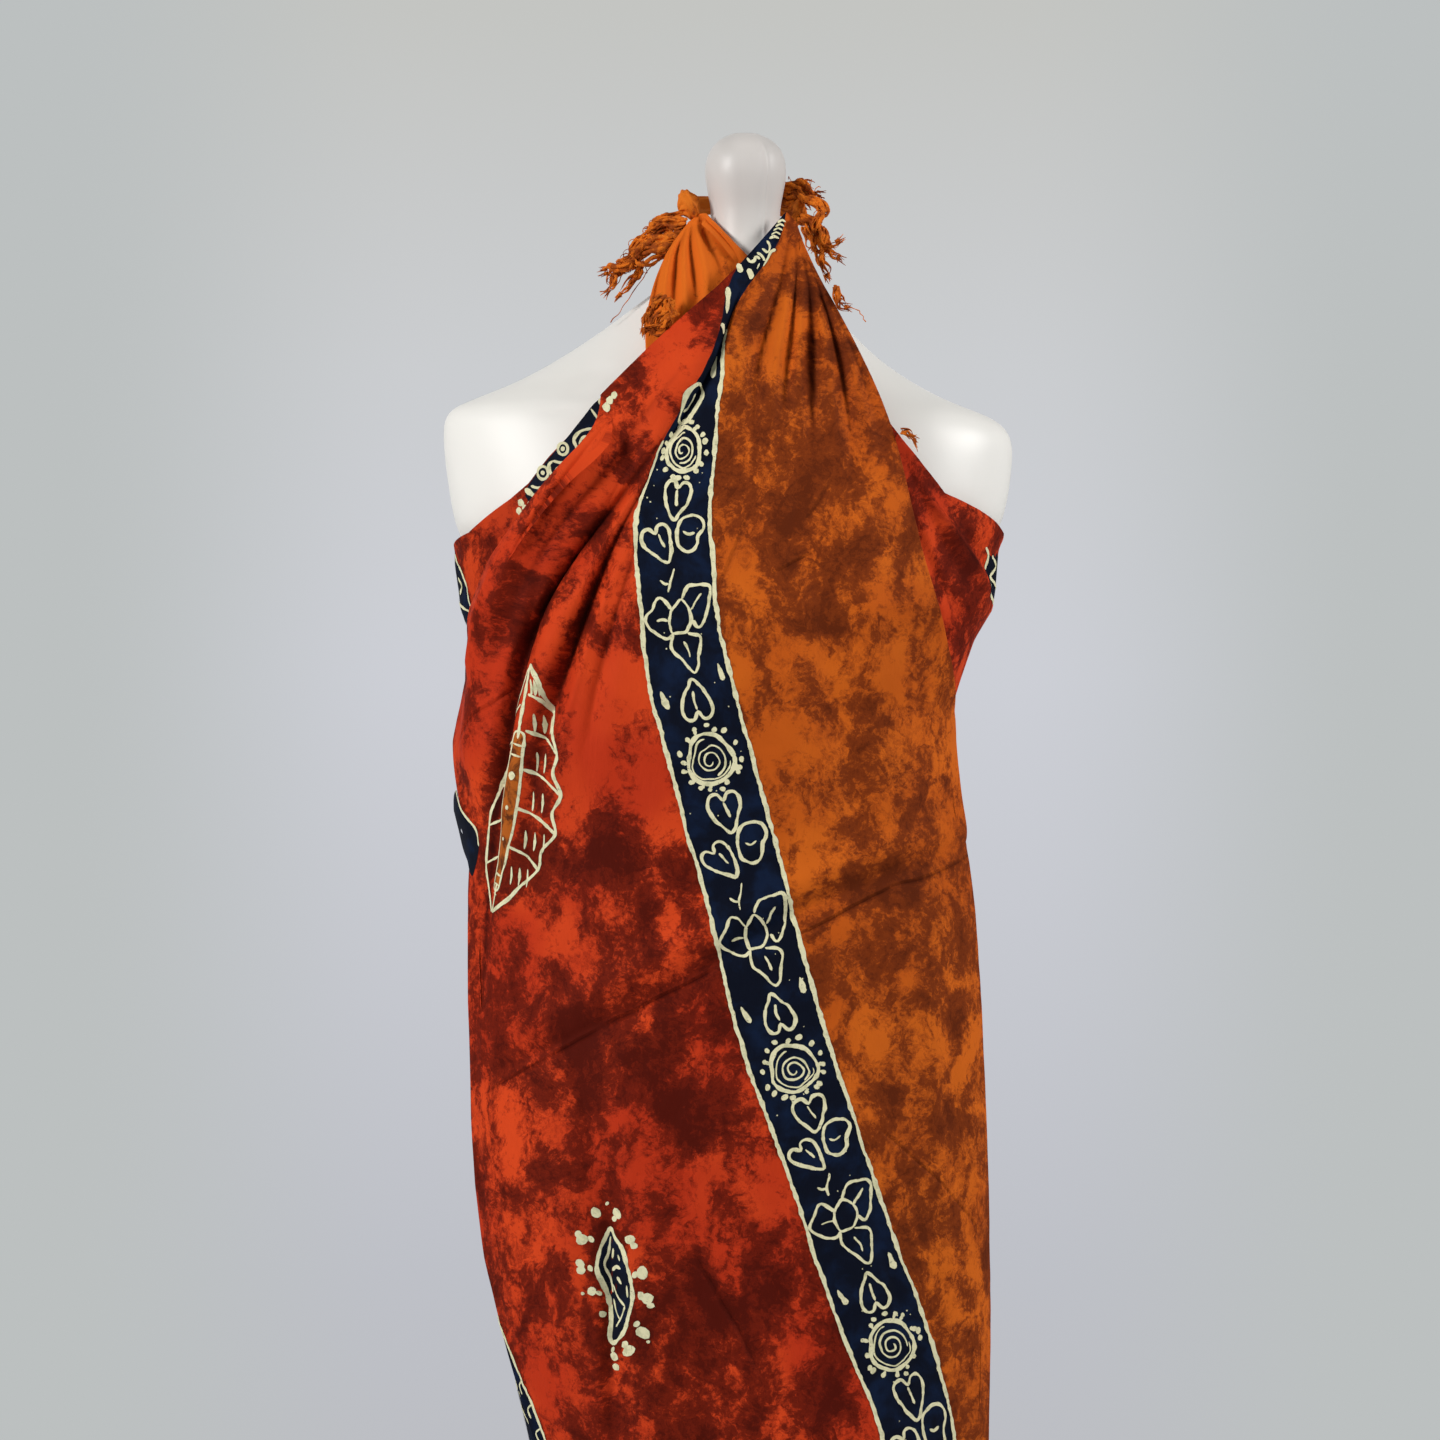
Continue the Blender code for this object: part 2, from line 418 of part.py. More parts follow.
def back_grid(columns, rows):
    """The back wrap from under the swathe at the wearer's right, round the back, to the wearer's left side."""
    lines = []
    edge = smoothed(resampled(OVER_Q[-1], 400)[0], 20)
    ox, oy = np.array(BACK_FORWARD_TOP, float).T
    fq, fz = from_station(ox, oy)
    side_q = angle_to_q(-90, 1.19)
    top = np.vstack([np.stack([fq, fz], 1),
                     np.stack([angle_to_q(BACK_TOP[::-1, 0], BACK_TOP[::-1, 1]), BACK_TOP[::-1, 1]], 1)])
    top = top[np.argsort(-top[:, 0])]
    start_q, end_q = top[0, 0], angle_to_q(SEAM_ANGLE - 360, 1.1885)
    top_at = np.linspace(0, 1, 400)
    # the run round the top, with more columns where it comes forward
    q_top = start_q + (end_q - start_q) * np.linspace(0, 1, columns) ** 1.0
    z_top = np.interp(-q_top, -top[:, 0], top[:, 1])
    z_low = np.linspace(0, 1, rows)
    for k in range(columns):
        f = k / (columns - 1)
        z = z_top[k] + (hem_height(q_top[k]) - z_top[k]) * z_low
        # the hidden edge stays a hand's breadth in from the swathe's fold; the far one is the side seam
        hidden = np.interp(-z, -edge[:, 1], edge[:, 0]) + 0.030
        seam = angle_to_q(SEAM_ANGLE - 360, z)
        q = hidden + (seam - hidden) * f
        mix = np.clip((z_top[k] - z) / 0.16, 0, 1)
        mix = mix * mix * (3 - 2 * mix)
        straight = angle_to_q(q_to_angle(q_top[k], z_top[k]), z)
        q = straight * (1 - mix) + q * mix
        lines.append(np.stack([q, z], 1))
    return np.array(lines), q_top


# ---------------------------------------------------------------- mesh helpers
def material(name, colour, roughness, metallic=0.0):
    m = bpy.data.materials.new(name)
    m.use_nodes = True
    shader = m.node_tree.nodes["Principled BSDF"]
    shader.inputs["Base Color"].default_value = (*colour, 1)
    shader.inputs["Roughness"].default_value = roughness
    shader.inputs["Metallic"].default_value = metallic
    return m


def facing_out(points, faces):
    """The faces, turned round if they enclose a negative volume."""
    p = np.array(points, float)
    volume = sum(p[f[0]] @ np.cross(p[f[i]], p[f[i + 1]]) for f in faces for i in range(1, len(f) - 1))
    return faces if volume > 0 else [f[::-1] for f in faces]


def add(name, points, faces, mat, smooth=True):
    mesh = bpy.data.meshes.new(name)
    mesh.from_pydata([tuple(float(c) for c in p) for p in points], [], facing_out(points, faces))
    mesh.validate()
    if smooth:
        mesh.shade_smooth()
    obj = bpy.data.objects.new(name, mesh)
    bpy.context.scene.collection.objects.link(obj)
    obj.data.materials.append(mat)
    return obj


def wall_mesh(name, grid, offsets, mat):
    """A closed wall from a grid of (q, z): outer skin, inner skin and the rim."""
    columns, rows = grid.shape[:2]
    outer = wrapped(grid[..., 0], grid[..., 1], offsets)
    inner = wrapped(grid[..., 0], grid[..., 1], offsets - WALL)
    points = np.concatenate([outer.reshape(-1, 3), inner.reshape(-1, 3)])
    n = columns * rows

    def at(i, j, skin):
        return skin * n + i * rows + j

    faces = []
    for i in range(columns - 1):
        for j in range(rows - 1):
            faces.append((at(i, j, 0), at(i, j + 1, 0), at(i + 1, j + 1, 0), at(i + 1, j, 0)))
            faces.append((at(i, j, 1), at(i + 1, j, 1), at(i + 1, j + 1, 1), at(i, j + 1, 1)))
    for i in range(columns - 1):
        faces.append((at(i, 0, 0), at(i + 1, 0, 0), at(i + 1, 0, 1), at(i, 0, 1)))
        faces.append((at(i, rows - 1, 0), at(i, rows - 1, 1), at(i + 1, rows - 1, 1), at(i + 1, rows - 1, 0)))
    for j in range(rows - 1):
        faces.append((at(0, j, 0), at(0, j, 1), at(0, j + 1, 1), at(0, j + 1, 0)))
        faces.append((at(columns - 1, j, 0), at(columns - 1, j + 1, 0), at(columns - 1, j + 1, 1), at(columns - 1, j, 1)))
    return add(name, points, faces, mat)


def tube_mesh(name, path, radii, mat, sides_count=8, flatten=1.0, up=(0, 0, 1)):
    """A closed tube along a path: radius at each point, flattened along up."""
    path = np.array(path, float)
    radii = np.interp(np.linspace(0, 1, len(path)), np.linspace(0, 1, len(radii)), radii)
    tangent = np.gradient(path, axis=0)
    tangent /= np.linalg.norm(tangent, axis=1)[:, None]
    side = np.cross(tangent, np.array(up, float))
    side /= np.linalg.norm(side, axis=1)[:, None]
    over = np.cross(side, tangent)
    points, faces = [], []
    for k, p in enumerate(path):
        for a in range(sides_count):
            t = 2 * math.pi * a / sides_count
            points.append(p + radii[k] * (math.cos(t) * side[k] + flatten * math.sin(t) * over[k]))
    m = sides_count
    for k in range(len(path) - 1):
        for a in range(m):
            b = (a + 1) % m
            faces.append((k * m + a, k * m + b, (k + 1) * m + b, (k + 1) * m + a))
    faces.append(tuple(range(m))[::-1])
    faces.append(tuple((len(path) - 1) * m + a for a in range(m)))
    obj = add(name, points, faces, mat)
    return obj


def curve_through(points, count):
    """Points evenly spaced on a Catmull-Rom line through the given points."""
    p = np.array(points, float)
    p = np.vstack([2 * p[0] - p[1], p, 2 * p[-1] - p[-2]])
    out = []
    for k in range(1, len(p) - 2):
        for t in np.linspace(0, 1, 20, endpoint=False):
            a, b, c, d = p[k - 1], p[k], p[k + 1], p[k + 2]
            out.append(0.5 * (2 * b + (c - a) * t + (2 * a - 5 * b + 4 * c - d) * t ** 2 + (3 * b - a - 3 * c + d) * t ** 3))
    out.append(p[-2])
    out = np.array(out)
    run = np.concatenate([[0], np.cumsum(np.linalg.norm(np.diff(out, axis=0), axis=1))])
    at = np.linspace(0, run[-1], count)
    return np.stack([np.interp(at, run, out[:, c]) for c in range(3)], axis=1)


def knot_mesh(name, centre, size, mat, turns=12, rings=8):
    points, faces = [], []
    c, s = np.array(centre), np.array(size)
    points.append(c + s * (0, 0, 1))
    for i in range(1, rings):
        t = math.pi * i / rings
        for j in range(turns):
            a = 2 * math.pi * j / turns
            lump = 1 + 0.07 * math.cos(3 * a + 2 * t)
            points.append(c + s * lump * (math.sin(t) * math.cos(a), math.sin(t) * math.sin(a), math.cos(t)))
    points.append(c - s * (0, 0, 1))
    for j in range(turns):
        faces.append((0, 1 + j, 1 + (j + 1) % turns))
        last = 1 + (rings - 2) * turns
        faces.append((last + j, len(points) - 1, last + (j + 1) % turns))
    for i in range(rings - 2):
        for j in range(turns):
            a, b = 1 + i * turns + j, 1 + i * turns + (j + 1) % turns
            faces.append((a, a + turns, b + turns, b))
    return add(name, points, faces, mat)


# ---------------------------------------------------------------- materials
RED = material("red_cloth", (0.48, 0.075, 0.030), 0.80)
ORANGE = material("orange_cloth", (0.50, 0.165, 0.028), 0.80)
NAVY = material("navy_cloth", (0.012, 0.020, 0.045), 0.80)
WHITE = material("white_form", (0.86, 0.85, 0.83), 0.38)
STEEL = material("stand_metal", (0.80, 0.80, 0.80), 0.35)

# ---------------------------------------------------------------- the form and its stand
FORM_TURNS = 30
form_points, form_faces = [], []
for z, wl, wr, front, back, ax, ay in FORM:
    for k in range(FORM_TURNS):
        a = 2 * math.pi * k / FORM_TURNS
        s, c = (float(signed_power(f(a), 2 / FORM_POWER)) for f in (math.sin, math.cos))
        form_points.append((ax + (wr if s > 0 else wl) * s, ay - (front if c > 0 else back) * c, z))
for i in range(len(FORM) - 1):
    for k in range(FORM_TURNS):
        a, b = i * FORM_TURNS + k, i * FORM_TURNS + (k + 1) % FORM_TURNS
        form_faces.append((a, b, b + FORM_TURNS, a + FORM_TURNS))
form_faces.append(tuple(range(FORM_TURNS))[::-1])
form_faces.append(tuple((len(FORM) - 1) * FORM_TURNS + k for k in range(FORM_TURNS)))
add("dress_form", form_points, form_faces, WHITE)


def turned(name, profile, mat, turns=40):
    """A turned solid from (radius, height) pairs, bottom first."""
    points, faces = [], []
    for r, z in profile:
        for k in range(turns):
            a = 2 * math.pi * k / turns
            points.append((r * math.cos(a), r * math.sin(a), z))
    for i in range(len(profile) - 1):
        for k in range(turns):
            a, b = i * turns + k, i * turns + (k + 1) % turns
            faces.append((a, b, b + turns, a + turns))
    faces.append(tuple(range(turns))[::-1])
    faces.append(tuple((len(profile) - 1) * turns + k for k in range(turns)))
    return add(name, points, faces, mat)


turned("stand_plate", [(PLATE_R, 0.0), (PLATE_R, PLATE_T - 0.004), (PLATE_R - 0.004, PLATE_T)], STEEL)
turned("stand_pole", [(0.022, PLATE_T + GAP), (0.022, PLATE_T + 0.016), (POLE_R, PLATE_T + 0.022),
                      (POLE_R, FORM_FOOT - GAP)], STEEL, 20)

# ---------------------------------------------------------------- the wrapped stretches
grid, _ = over_grid(38, 28)
wall_mesh("over_wrap", grid, over_offset(grid[..., 0], grid[..., 1]), RED)
grid, _ = under_grid(20, 22)
wall_mesh("under_wrap", grid, under_offset(grid[..., 0], grid[..., 1]), RED)
# the two stretches meet at the wearer's left side, a hair apart, with their rows at the same heights
meet = grid[-1]
grid, _ = back_grid(36, 22)
grid[-1, :, 1] = meet[:, 1]
grid[-1, :, 0] = angle_to_q(SEAM_ANGLE - 360, meet[:, 1]) + 0.0012
wall_mesh("back_wrap", grid, back_offset(grid[..., 0], grid[..., 1]), RED)


# ---------------------------------------------------------------- the tie behind the neck, knots and fringe
def at_station(x, y, depth):
    """World point seen at a station, at a given depth Y."""
    scale = STATION * (EYE_DISTANCE + depth) / EYE_DISTANCE
    return (EYE_X + (x - CENTRE_STATION[0]) * scale, depth, EYE_Z - (y - CENTRE_STATION[1]) * scale)


KNOT_LEFT = at_station(689, 205, -0.006)
KNOT_RIGHT = at_station(797, 213, 0.014)
knot_mesh("knot_right_side", KNOT_LEFT, (0.0092, 0.0090, 0.0105), ORANGE)
knot_mesh("knot_left_side", KNOT_RIGHT, (0.0085, 0.0092, 0.0100), ORANGE)
TIE = curve_through([(0.0505, 0.0262, 1.4318), (0.0400, 0.0385, 1.4340), (0.0240, 0.0465, 1.4355), (0.0050, 0.0470, 1.4355),
                     (-0.0120, 0.0395, 1.4350), (-0.0235, 0.0260, 1.4345), (-0.0290, 0.0125, 1.4338), (-0.0298, 0.0060, 1.4330)], 14)
tube_mesh("neck_tie", TIE, [0.0068, 0.0078, 0.0080, 0.0078, 0.0068], ORANGE, 8, flatten=0.9)

# fringe bunches: plain tapered solids along the reach of the twisted ends. columns: station x, station y, depth
FRINGE = {
    "fringe_right_side": ([(678, 214, -0.010), (662, 226, -0.016), (640, 246, -0.020), (618, 266, -0.022), (604, 288, -0.022)],
                          [0.0062, 0.0085, 0.0095, 0.0090, 0.0050]),
    "fringe_left_side": ([(813, 206, 0.004), (820, 214, 0.001), (825, 226, -0.002), (830, 244, -0.005), (833, 264, -0.007)],
                         [0.0040, 0.0070, 0.0090, 0.0088, 0.0045]),
    "fringe_left_top": ([(794, 191, 0.022), (806, 187, 0.021), (821, 190, 0.018)], [0.0035, 0.0045, 0.0030]),
    "fringe_under_edge": ([(648, 294, -0.078), (643, 308, -0.082), (645, 322, -0.087)],
                          [0.0030, 0.0044, 0.0030]),
    "fringe_over_edge": ([(836, 288, -0.070), (838, 300, -0.072), (848, 307, -0.070)], [0.0030, 0.0034, 0.0024]),
    "fringe_over_fold": ([(903, 432, -0.094), (909, 438, -0.093), (916, 446, -0.090)], [0.0030, 0.0032, 0.0022]),
}
for name, (stations, radii) in FRINGE.items():
    tube_mesh(name, curve_through([at_station(*p) for p in stations], 9), radii, ORANGE, 7)
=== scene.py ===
"""Looks of a fringed batik sarong worn as a crossed halter dress on a limbless dress form.

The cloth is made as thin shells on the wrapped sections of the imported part: q is the distance round
a section from the front centre line, z the height. Outlines are read from the front as (x, y)
stations of STATION metres each.
"""
import math

import bpy
import numpy as np
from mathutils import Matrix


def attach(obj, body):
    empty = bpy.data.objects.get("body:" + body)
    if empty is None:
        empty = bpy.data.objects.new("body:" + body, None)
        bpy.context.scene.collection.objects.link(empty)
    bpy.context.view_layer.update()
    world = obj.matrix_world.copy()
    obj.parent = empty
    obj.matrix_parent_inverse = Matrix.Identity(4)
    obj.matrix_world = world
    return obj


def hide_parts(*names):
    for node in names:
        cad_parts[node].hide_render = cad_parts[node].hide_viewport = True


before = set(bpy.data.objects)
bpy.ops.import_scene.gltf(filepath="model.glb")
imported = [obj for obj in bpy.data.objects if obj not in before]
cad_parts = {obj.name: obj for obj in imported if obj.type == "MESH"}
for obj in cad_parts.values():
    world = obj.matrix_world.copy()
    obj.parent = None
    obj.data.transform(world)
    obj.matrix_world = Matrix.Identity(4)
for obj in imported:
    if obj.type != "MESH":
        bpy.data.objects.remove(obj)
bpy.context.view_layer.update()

# ---------------------------------------------------------------- driving dimensions
STATION = 0.0007          # one picture station at the plane Y = 0
EYE_DISTANCE = 3.5        # distance of the viewpoint from that plane
EYE_X, EYE_Z = -0.0056, 1.071
CENTRE_STATION = (720.0, 720.0)
BODY_STATION_X = 728.0    # station of the plane X = 0
WALL = 0.0012             # cloth wall
HEM_FRONT, HEM_BACK = 0.262, 0.222
SECTION_POWER = 2.3       # super-ellipse of the dressed body
FORM_POWER = 2.05         # super-ellipse of the form
PLATE_R, PLATE_T = 0.155, 0.014
POLE_R = 0.0125
FORM_FOOT = 0.720
GAP = 0.0004


def height(y):
    """World height of a station row at the plane Y = 0."""
    return EYE_Z - (y - CENTRE_STATION[1]) * STATION


# ---------------------------------------------------------------- sections of the dressed body
# columns: station row y, left side x, right side x (picture stations)
SIDES = np.array([
    (100, 450, 1005), (535, 450, 1005), (550, 456, 998), (565, 456, 997), (590, 460, 995), (610, 462, 992),
    (640, 474, 974), (680, 474, 960), (711, 468, 950), (741, 462, 951), (765, 462, 954),
    (810, 463, 961), (830, 468, 964), (860, 475, 968), (920, 474, 973), (1000, 473, 979),
    (1100, 476, 983), (1180, 479, 985), (1250, 488, 986), (1300, 498, 987), (1361, 512, 987),
    (1440, 531, 988), (1600, 545, 986), (1950, 548, 980)], float)
# columns: height, depth in front of the axis, depth behind it
DEPTHS = np.array([
    (0.18, 0.112, 0.120), (0.40, 0.114, 0.123), (0.57, 0.118, 0.128), (0.70, 0.122, 0.133),
    (0.80, 0.124, 0.132), (0.90, 0.125, 0.120), (0.97, 0.126, 0.110), (1.05, 0.129, 0.107),
    (1.10, 0.130, 0.110), (1.15, 0.127, 0.113), (1.20, 0.117, 0.114), (1.25, 0.104, 0.112),
    (1.30, 0.090, 0.104), (1.34, 0.077, 0.090), (1.365, 0.064, 0.075), (1.385, 0.049, 0.060),
    (1.40, 0.035, 0.045), (1.42, 0.018, 0.030), (1.45, 0.006, 0.020)], float)
# columns: height, left half width, right half width, front depth, back depth, axis x, axis y
FORM = np.array([
    (0.7200, 0.085, 0.085, 0.058, 0.060, 0.0, 0.0), (0.7230, 0.112, 0.112, 0.078, 0.084, 0.0, 0.0),
    (0.7320, 0.134, 0.134, 0.092, 0.100, 0.0, 0.0), (0.7600, 0.148, 0.148, 0.101, 0.112, 0.0, 0.0),
    (0.8200, 0.149, 0.149, 0.102, 0.112, 0.0, 0.0), (0.9000, 0.136, 0.136, 0.096, 0.096, 0.0, 0.0),
    (0.9700, 0.121, 0.121, 0.091, 0.082, 0.0, 0.0), (1.0300, 0.124, 0.123, 0.096, 0.083, 0.0, 0.0),
    (1.0900, 0.139, 0.138, 0.107, 0.092, 0.0, 0.0), (1.1200, 0.150, 0.148, 0.111, 0.095, 0.0, 0.0),
    (1.1400, 0.160, 0.158, 0.111, 0.097, 0.0, 0.0), (1.1550, 0.171, 0.169, 0.110, 0.098, 0.0, 0.0),
    (1.1700, 0.179, 0.178, 0.108, 0.098, 0.0, 0.0), (1.1870, 0.183, 0.183, 0.103, 0.098, 0.0, 0.0), (1.1980, 0.1865, 0.1862, 0.101, 0.0975, 0.0, 0.0),
    (1.2100, 0.191, 0.1915, 0.0985, 0.097, 0.0, 0.0), (1.2350, 0.1955, 0.197, 0.092, 0.094, 0.0, 0.0),
    (1.2600, 0.1985, 0.1990, 0.085, 0.090, 0.0, 0.0), (1.2720, 0.1990, 0.1960, 0.081, 0.087, 0.0, 0.0),
    (1.2815, 0.1980, 0.1860, 0.078, 0.084, 0.0, 0.0), (1.2880, 0.1930, 0.1690, 0.0755, 0.082, 0.0, 0.0),
    (1.2950, 0.1780, 0.1520, 0.0725, 0.079, 0.0, 0.0), (1.3060, 0.1510, 0.1310, 0.068, 0.075, 0.0, 0.0),
    (1.3200, 0.1240, 0.1100, 0.0625, 0.069, 0.0, 0.0), (1.3370, 0.0980, 0.0900, 0.0555, 0.061, 0.001, 0.0),
    (1.3550, 0.0740, 0.0720, 0.0470, 0.052, 0.002, 0.001), (1.3700, 0.0570, 0.0540, 0.0400, 0.045, 0.005, 0.002),
    (1.3830, 0.0420, 0.0400, 0.0335, 0.037, 0.009, 0.003), (1.3960, 0.0305, 0.0290, 0.0285, 0.030, 0.0118, 0.004),
    (1.4100, 0.0250, 0.0235, 0.0250, 0.026, 0.0128, 0.005), (1.4260, 0.0248, 0.0236, 0.0250, 0.026, 0.0128, 0.005),
    (1.4420, 0.0270, 0.0265, 0.0272, 0.028, 0.0126, 0.005), (1.4540, 0.0285, 0.0287, 0.0286, 0.029, 0.0122, 0.005),
    (1.4640, 0.0272, 0.0280, 0.0276, 0.0278, 0.0120, 0.005), (1.4720, 0.0232, 0.0246, 0.0240, 0.024, 0.0118, 0.005),
    (1.4780, 0.0170, 0.0182, 0.0176, 0.0176, 0.0116, 0.005), (1.4815, 0.0092, 0.0098, 0.0095, 0.0095, 0.0115, 0.005)],
    float)

# ---------------------------------------------------------------- outlines of the stretches, in stations
# Guide lines of the over wrap, from the free edge (first) to the fold at the wearer's right side (last).
# Each runs from the top edge down; below the last station it goes on straight to the hem.
# columns: flat distance u from the short edge, then the stations (x, y)
OVER_GUIDES = [
    (0.000, [(802, 240), (811, 267), (830, 301), (851, 340), (876, 393), (889, 430), (897, 460), (911, 522),
             (920, 560), (935, 620), (944, 670), (947, 714), (949, 760), (957, 830), (966, 900), (974, 1000),
             (979, 1100), (982, 1200), (983, 1300), (981, 1440), (975, 1600), (968, 1900)]),
    (0.080, [(795, 222), (796, 260), (803, 301), (812, 340), (822, 393), (829, 460), (834, 560), (843, 660),
             (855, 760), (868, 860), (890, 1000), (915, 1180), (942, 1324), (964, 1440), (961, 1600), (954, 1900)]),
    (0.160, [(786, 213), (783, 239), (768, 263), (753, 282), (736, 308), (727, 328), (726, 350), (721, 382),
             (716, 425), (714, 477), (708, 505), (711, 540), (715, 588), (717, 620), (730, 675), (737, 703),
             (755, 768), (770, 825), (787, 894), (800, 946), (814, 1000), (842, 1090), (871, 1180), (896, 1255),
             (922, 1324), (938, 1387), (950, 1440), (944, 1600), (938, 1900)]),
    (0.215, [(738, 268), (725, 289), (719, 325), (702, 364), (687, 388), (672, 414), (658, 440), (652, 472),
             (643, 492), (637, 525), (636, 549), (640, 577), (643, 615), (646, 660), (652, 700), (661, 725),
             (672, 773), (681, 805), (688, 840), (699, 868), (712, 920), (729, 1000), (752, 1080), (772, 1130),
             (790, 1180), (815, 1260), (840, 1334), (862, 1385), (882, 1440), (891, 1600), (893, 1913)]),
    (0.250, [(715, 290), (695, 345), (668, 395), (645, 440), (630, 480), (620, 530), (616, 600), (617, 700),
             (636, 850), (668, 1000), (704, 1180), (745, 1334), (782, 1440), (808, 1600), (822, 1922)]),
    (0.285, [(690, 312), (668, 365), (646, 410), (628, 450), (607, 500), (592, 550), (575, 620), (562, 700),
             (560, 850), (572, 1000), (600, 1180), (650, 1334), (690, 1440)]),
    (0.330, [(653, 346), (634, 395), (610, 440), (584, 500), (560, 550), (532, 620), (510, 700), (499, 800),
             (500, 900), (506, 1000), (522, 1180), (564, 1334), (600, 1440)]),
    (0.360, [(630, 369), (618, 400), (595, 450), (563, 500), (537, 550), (506, 610), (490, 680), (480, 760),
             (482, 850), (484, 950), (487, 1050), (495, 1180), (528, 1334), (562, 1440)]),
    (0.390, [(604, 396), (606, 419), (595, 438), (561, 474), (540, 502), (529, 520), (511, 546), (499, 564),
             (491, 582), (486, 601), (480, 626), (478, 644), (477, 680), (470, 711), (463, 741), (463, 765),
             (469, 810), (479, 830), (478, 860), (477, 960), (479, 1050), (480, 1120), (484, 1180), (492, 1250),
             (504, 1300), (520, 1361), (543, 1440)]),
]
# Guide lines of the under wrap, from its own free edge at the wearer's right to the wearer's left side.
UNDER_GUIDES = [
    (0.000, [(688, 222), (670, 243), (657, 271), (652, 295), (643, 328), (648, 352), (642, 400), (625, 450),
             (597, 520), (566, 600), (538, 700), (520, 850), (516, 1000), (524, 1180), (556, 1334), (584, 1440)]),
    (0.060, [(698, 215), (690, 243), (682, 271), (676, 310), (672, 360), (662, 440), (645, 520), (622, 620),
             (600, 740), (588, 860), (586, 1000), (592, 1180), (612, 1334), (632, 1440)]),
    (0.110, [(706, 213), (712, 250), (712, 300), (710, 360), (706, 440), (698, 540), (686, 640), (672, 760),
             (664, 880), (662, 1000), (664, 1180), (672, 1334), (684, 1440)]),
    (0.150, [(746, 254), (748, 300), (746, 360), (742, 440), (738, 540), (732, 640), (726, 760), (722, 880),
             (722, 1000), (722, 1180), (726, 1334), (732, 1440)]),
    (0.215, [(790, 303), (790, 350), (788, 400), (786, 460), (784, 540), (782, 640), (780, 760), (780, 880),
             (780, 1000), (780, 1180), (782, 1334), (786, 1440)]),
    (0.290, [(850, 372), (848, 420), (844, 480), (840, 560), (838, 660), (836, 780), (838, 900), (840, 1000),
             (842, 1180), (844, 1334), (846, 1440)]),
    (0.350, [(905, 440), (902, 500), (898, 570), (893, 660), (890, 780), (892, 900), (895, 1000), (898, 1180),
             (900, 1334), (902, 1440)]),
    (0.405, [(948, 494), (950, 560), (936, 640), (926, 710), (928, 780), (936, 880), (942, 1000), (946, 1180),
             (948, 1334), (950, 1440)]),
]
# Top edge round the back and sides. columns: angle from the front centre line in degrees, height
BACK_TOP = np.array([(-270, 1.189), (-262, 1.189), (-250, 1.186), (-225, 1.180), (-200, 1.176), (-180, 1.175),
                     (-160, 1.176), (-135, 1.180), (-110, 1.187), (-90, 1.190)], float)
# Upper edge of the back wrap where it comes forward at the wearer's right, as stations (x, y)
BACK_FORWARD_TOP = [(616, 392), (604, 399), (575, 431), (549, 458), (529, 484), (510, 500), (492, 513), (469, 534)]

# ---------------------------------------------------------------- folds, in stations
# columns: depth (+ ridge, - trough) at the start, in the middle, at the end, half width, stations (x, y)
OVER_FOLDS = [
    # the broad swathe from the neck to the wearer's right hip
    (0.004, 0.009, 0.004, 0.022, [(705, 318), (655, 385), (600, 455), (545, 540), (500, 640), (480, 740), (478, 830)]),
    # the deep trough beside it, and the ridge and trough after that
    (-0.004, -0.011, -0.006, 0.0075, [(690, 388), (653, 442), (620, 491), (595, 525), (570, 560), (538, 605),
                                      (519, 650), (511, 700), (507, 760), (499, 800), (493, 880), (487, 1000)]),
    (0.003, 0.008, 0.002, 0.013, [(668, 440), (640, 500), (606, 560), (570, 620), (545, 680), (530, 750), (520, 830)]),
    (-0.003, -0.008, -0.002, 0.0070, [(660, 452), (630, 500), (607, 541), (590, 587), (578, 625), (562, 672),
                                      (549, 718), (540, 760)]),
    (0.002, 0.004, 0.001, 0.012, [(652, 500), (632, 560), (612, 620), (590, 690), (575, 760)]),
    # the edge of the swathe over the dark band
    (0.003, 0.006, 0.004, 0.010, [(736, 272), (715, 315), (694, 360), (668, 402), (648, 440), (632, 490)]),
    (-0.003, -0.006, -0.002, 0.0060, [(742, 286), (727, 326), (712, 362), (692, 398), (668, 440), (655, 470)]),
    # pleats gathered at the neck
    (-0.004, -0.005, -0.0005, 0.0045, [(791, 238), (788, 262), (786, 292), (774, 330), (760, 362), (748, 390)]),
    (0.004, 0.004, 0.001, 0.0060, [(795, 238), (797, 270), (797, 310), (791, 350), (780, 392)]),
    (-0.004, -0.006, -0.0005, 0.0045, [(799, 240), (806, 276), (808, 328), (811, 372), (812, 410), (810, 455)]),
    (0.003, 0.004, 0.001, 0.0055, [(801, 246), (814, 285), (822, 330), (832, 385), (838, 440)]),
    (-0.002, -0.004, -0.0005, 0.0045, [(803, 250), (823, 300), (842, 352), (852, 400), (858, 450)]),
    # slack at the wearer's left hip and the long soft draws across the skirt
    (0.001, 0.003, 0.001, 0.030, [(840, 430), (860, 560), (880, 700), (900, 860), (930, 1050)]),
    (-0.001, -0.003, -0.001, 0.016, [(965, 842), (900, 868), (800, 910), (720, 962), (600, 1025), (485, 1088)]),
    (0.001, 0.003, 0.001, 0.018, [(965, 818), (880, 850), (800, 884), (715, 930), (600, 990), (490, 1050)]),
    (-0.001, -0.003, -0.001, 0.014, [(700, 1170), (740, 1235), (800, 1330), (830, 1400)]),
    (0.001, 0.003, 0.001, 0.022, [(520, 1060), (560, 1160), (580, 1280), (600, 1420)]),
    (-0.001, -0.004, -0.002, 0.016, [(560, 1000), (585, 1100), (606, 1200), (612, 1330), (625, 1440)]),
]
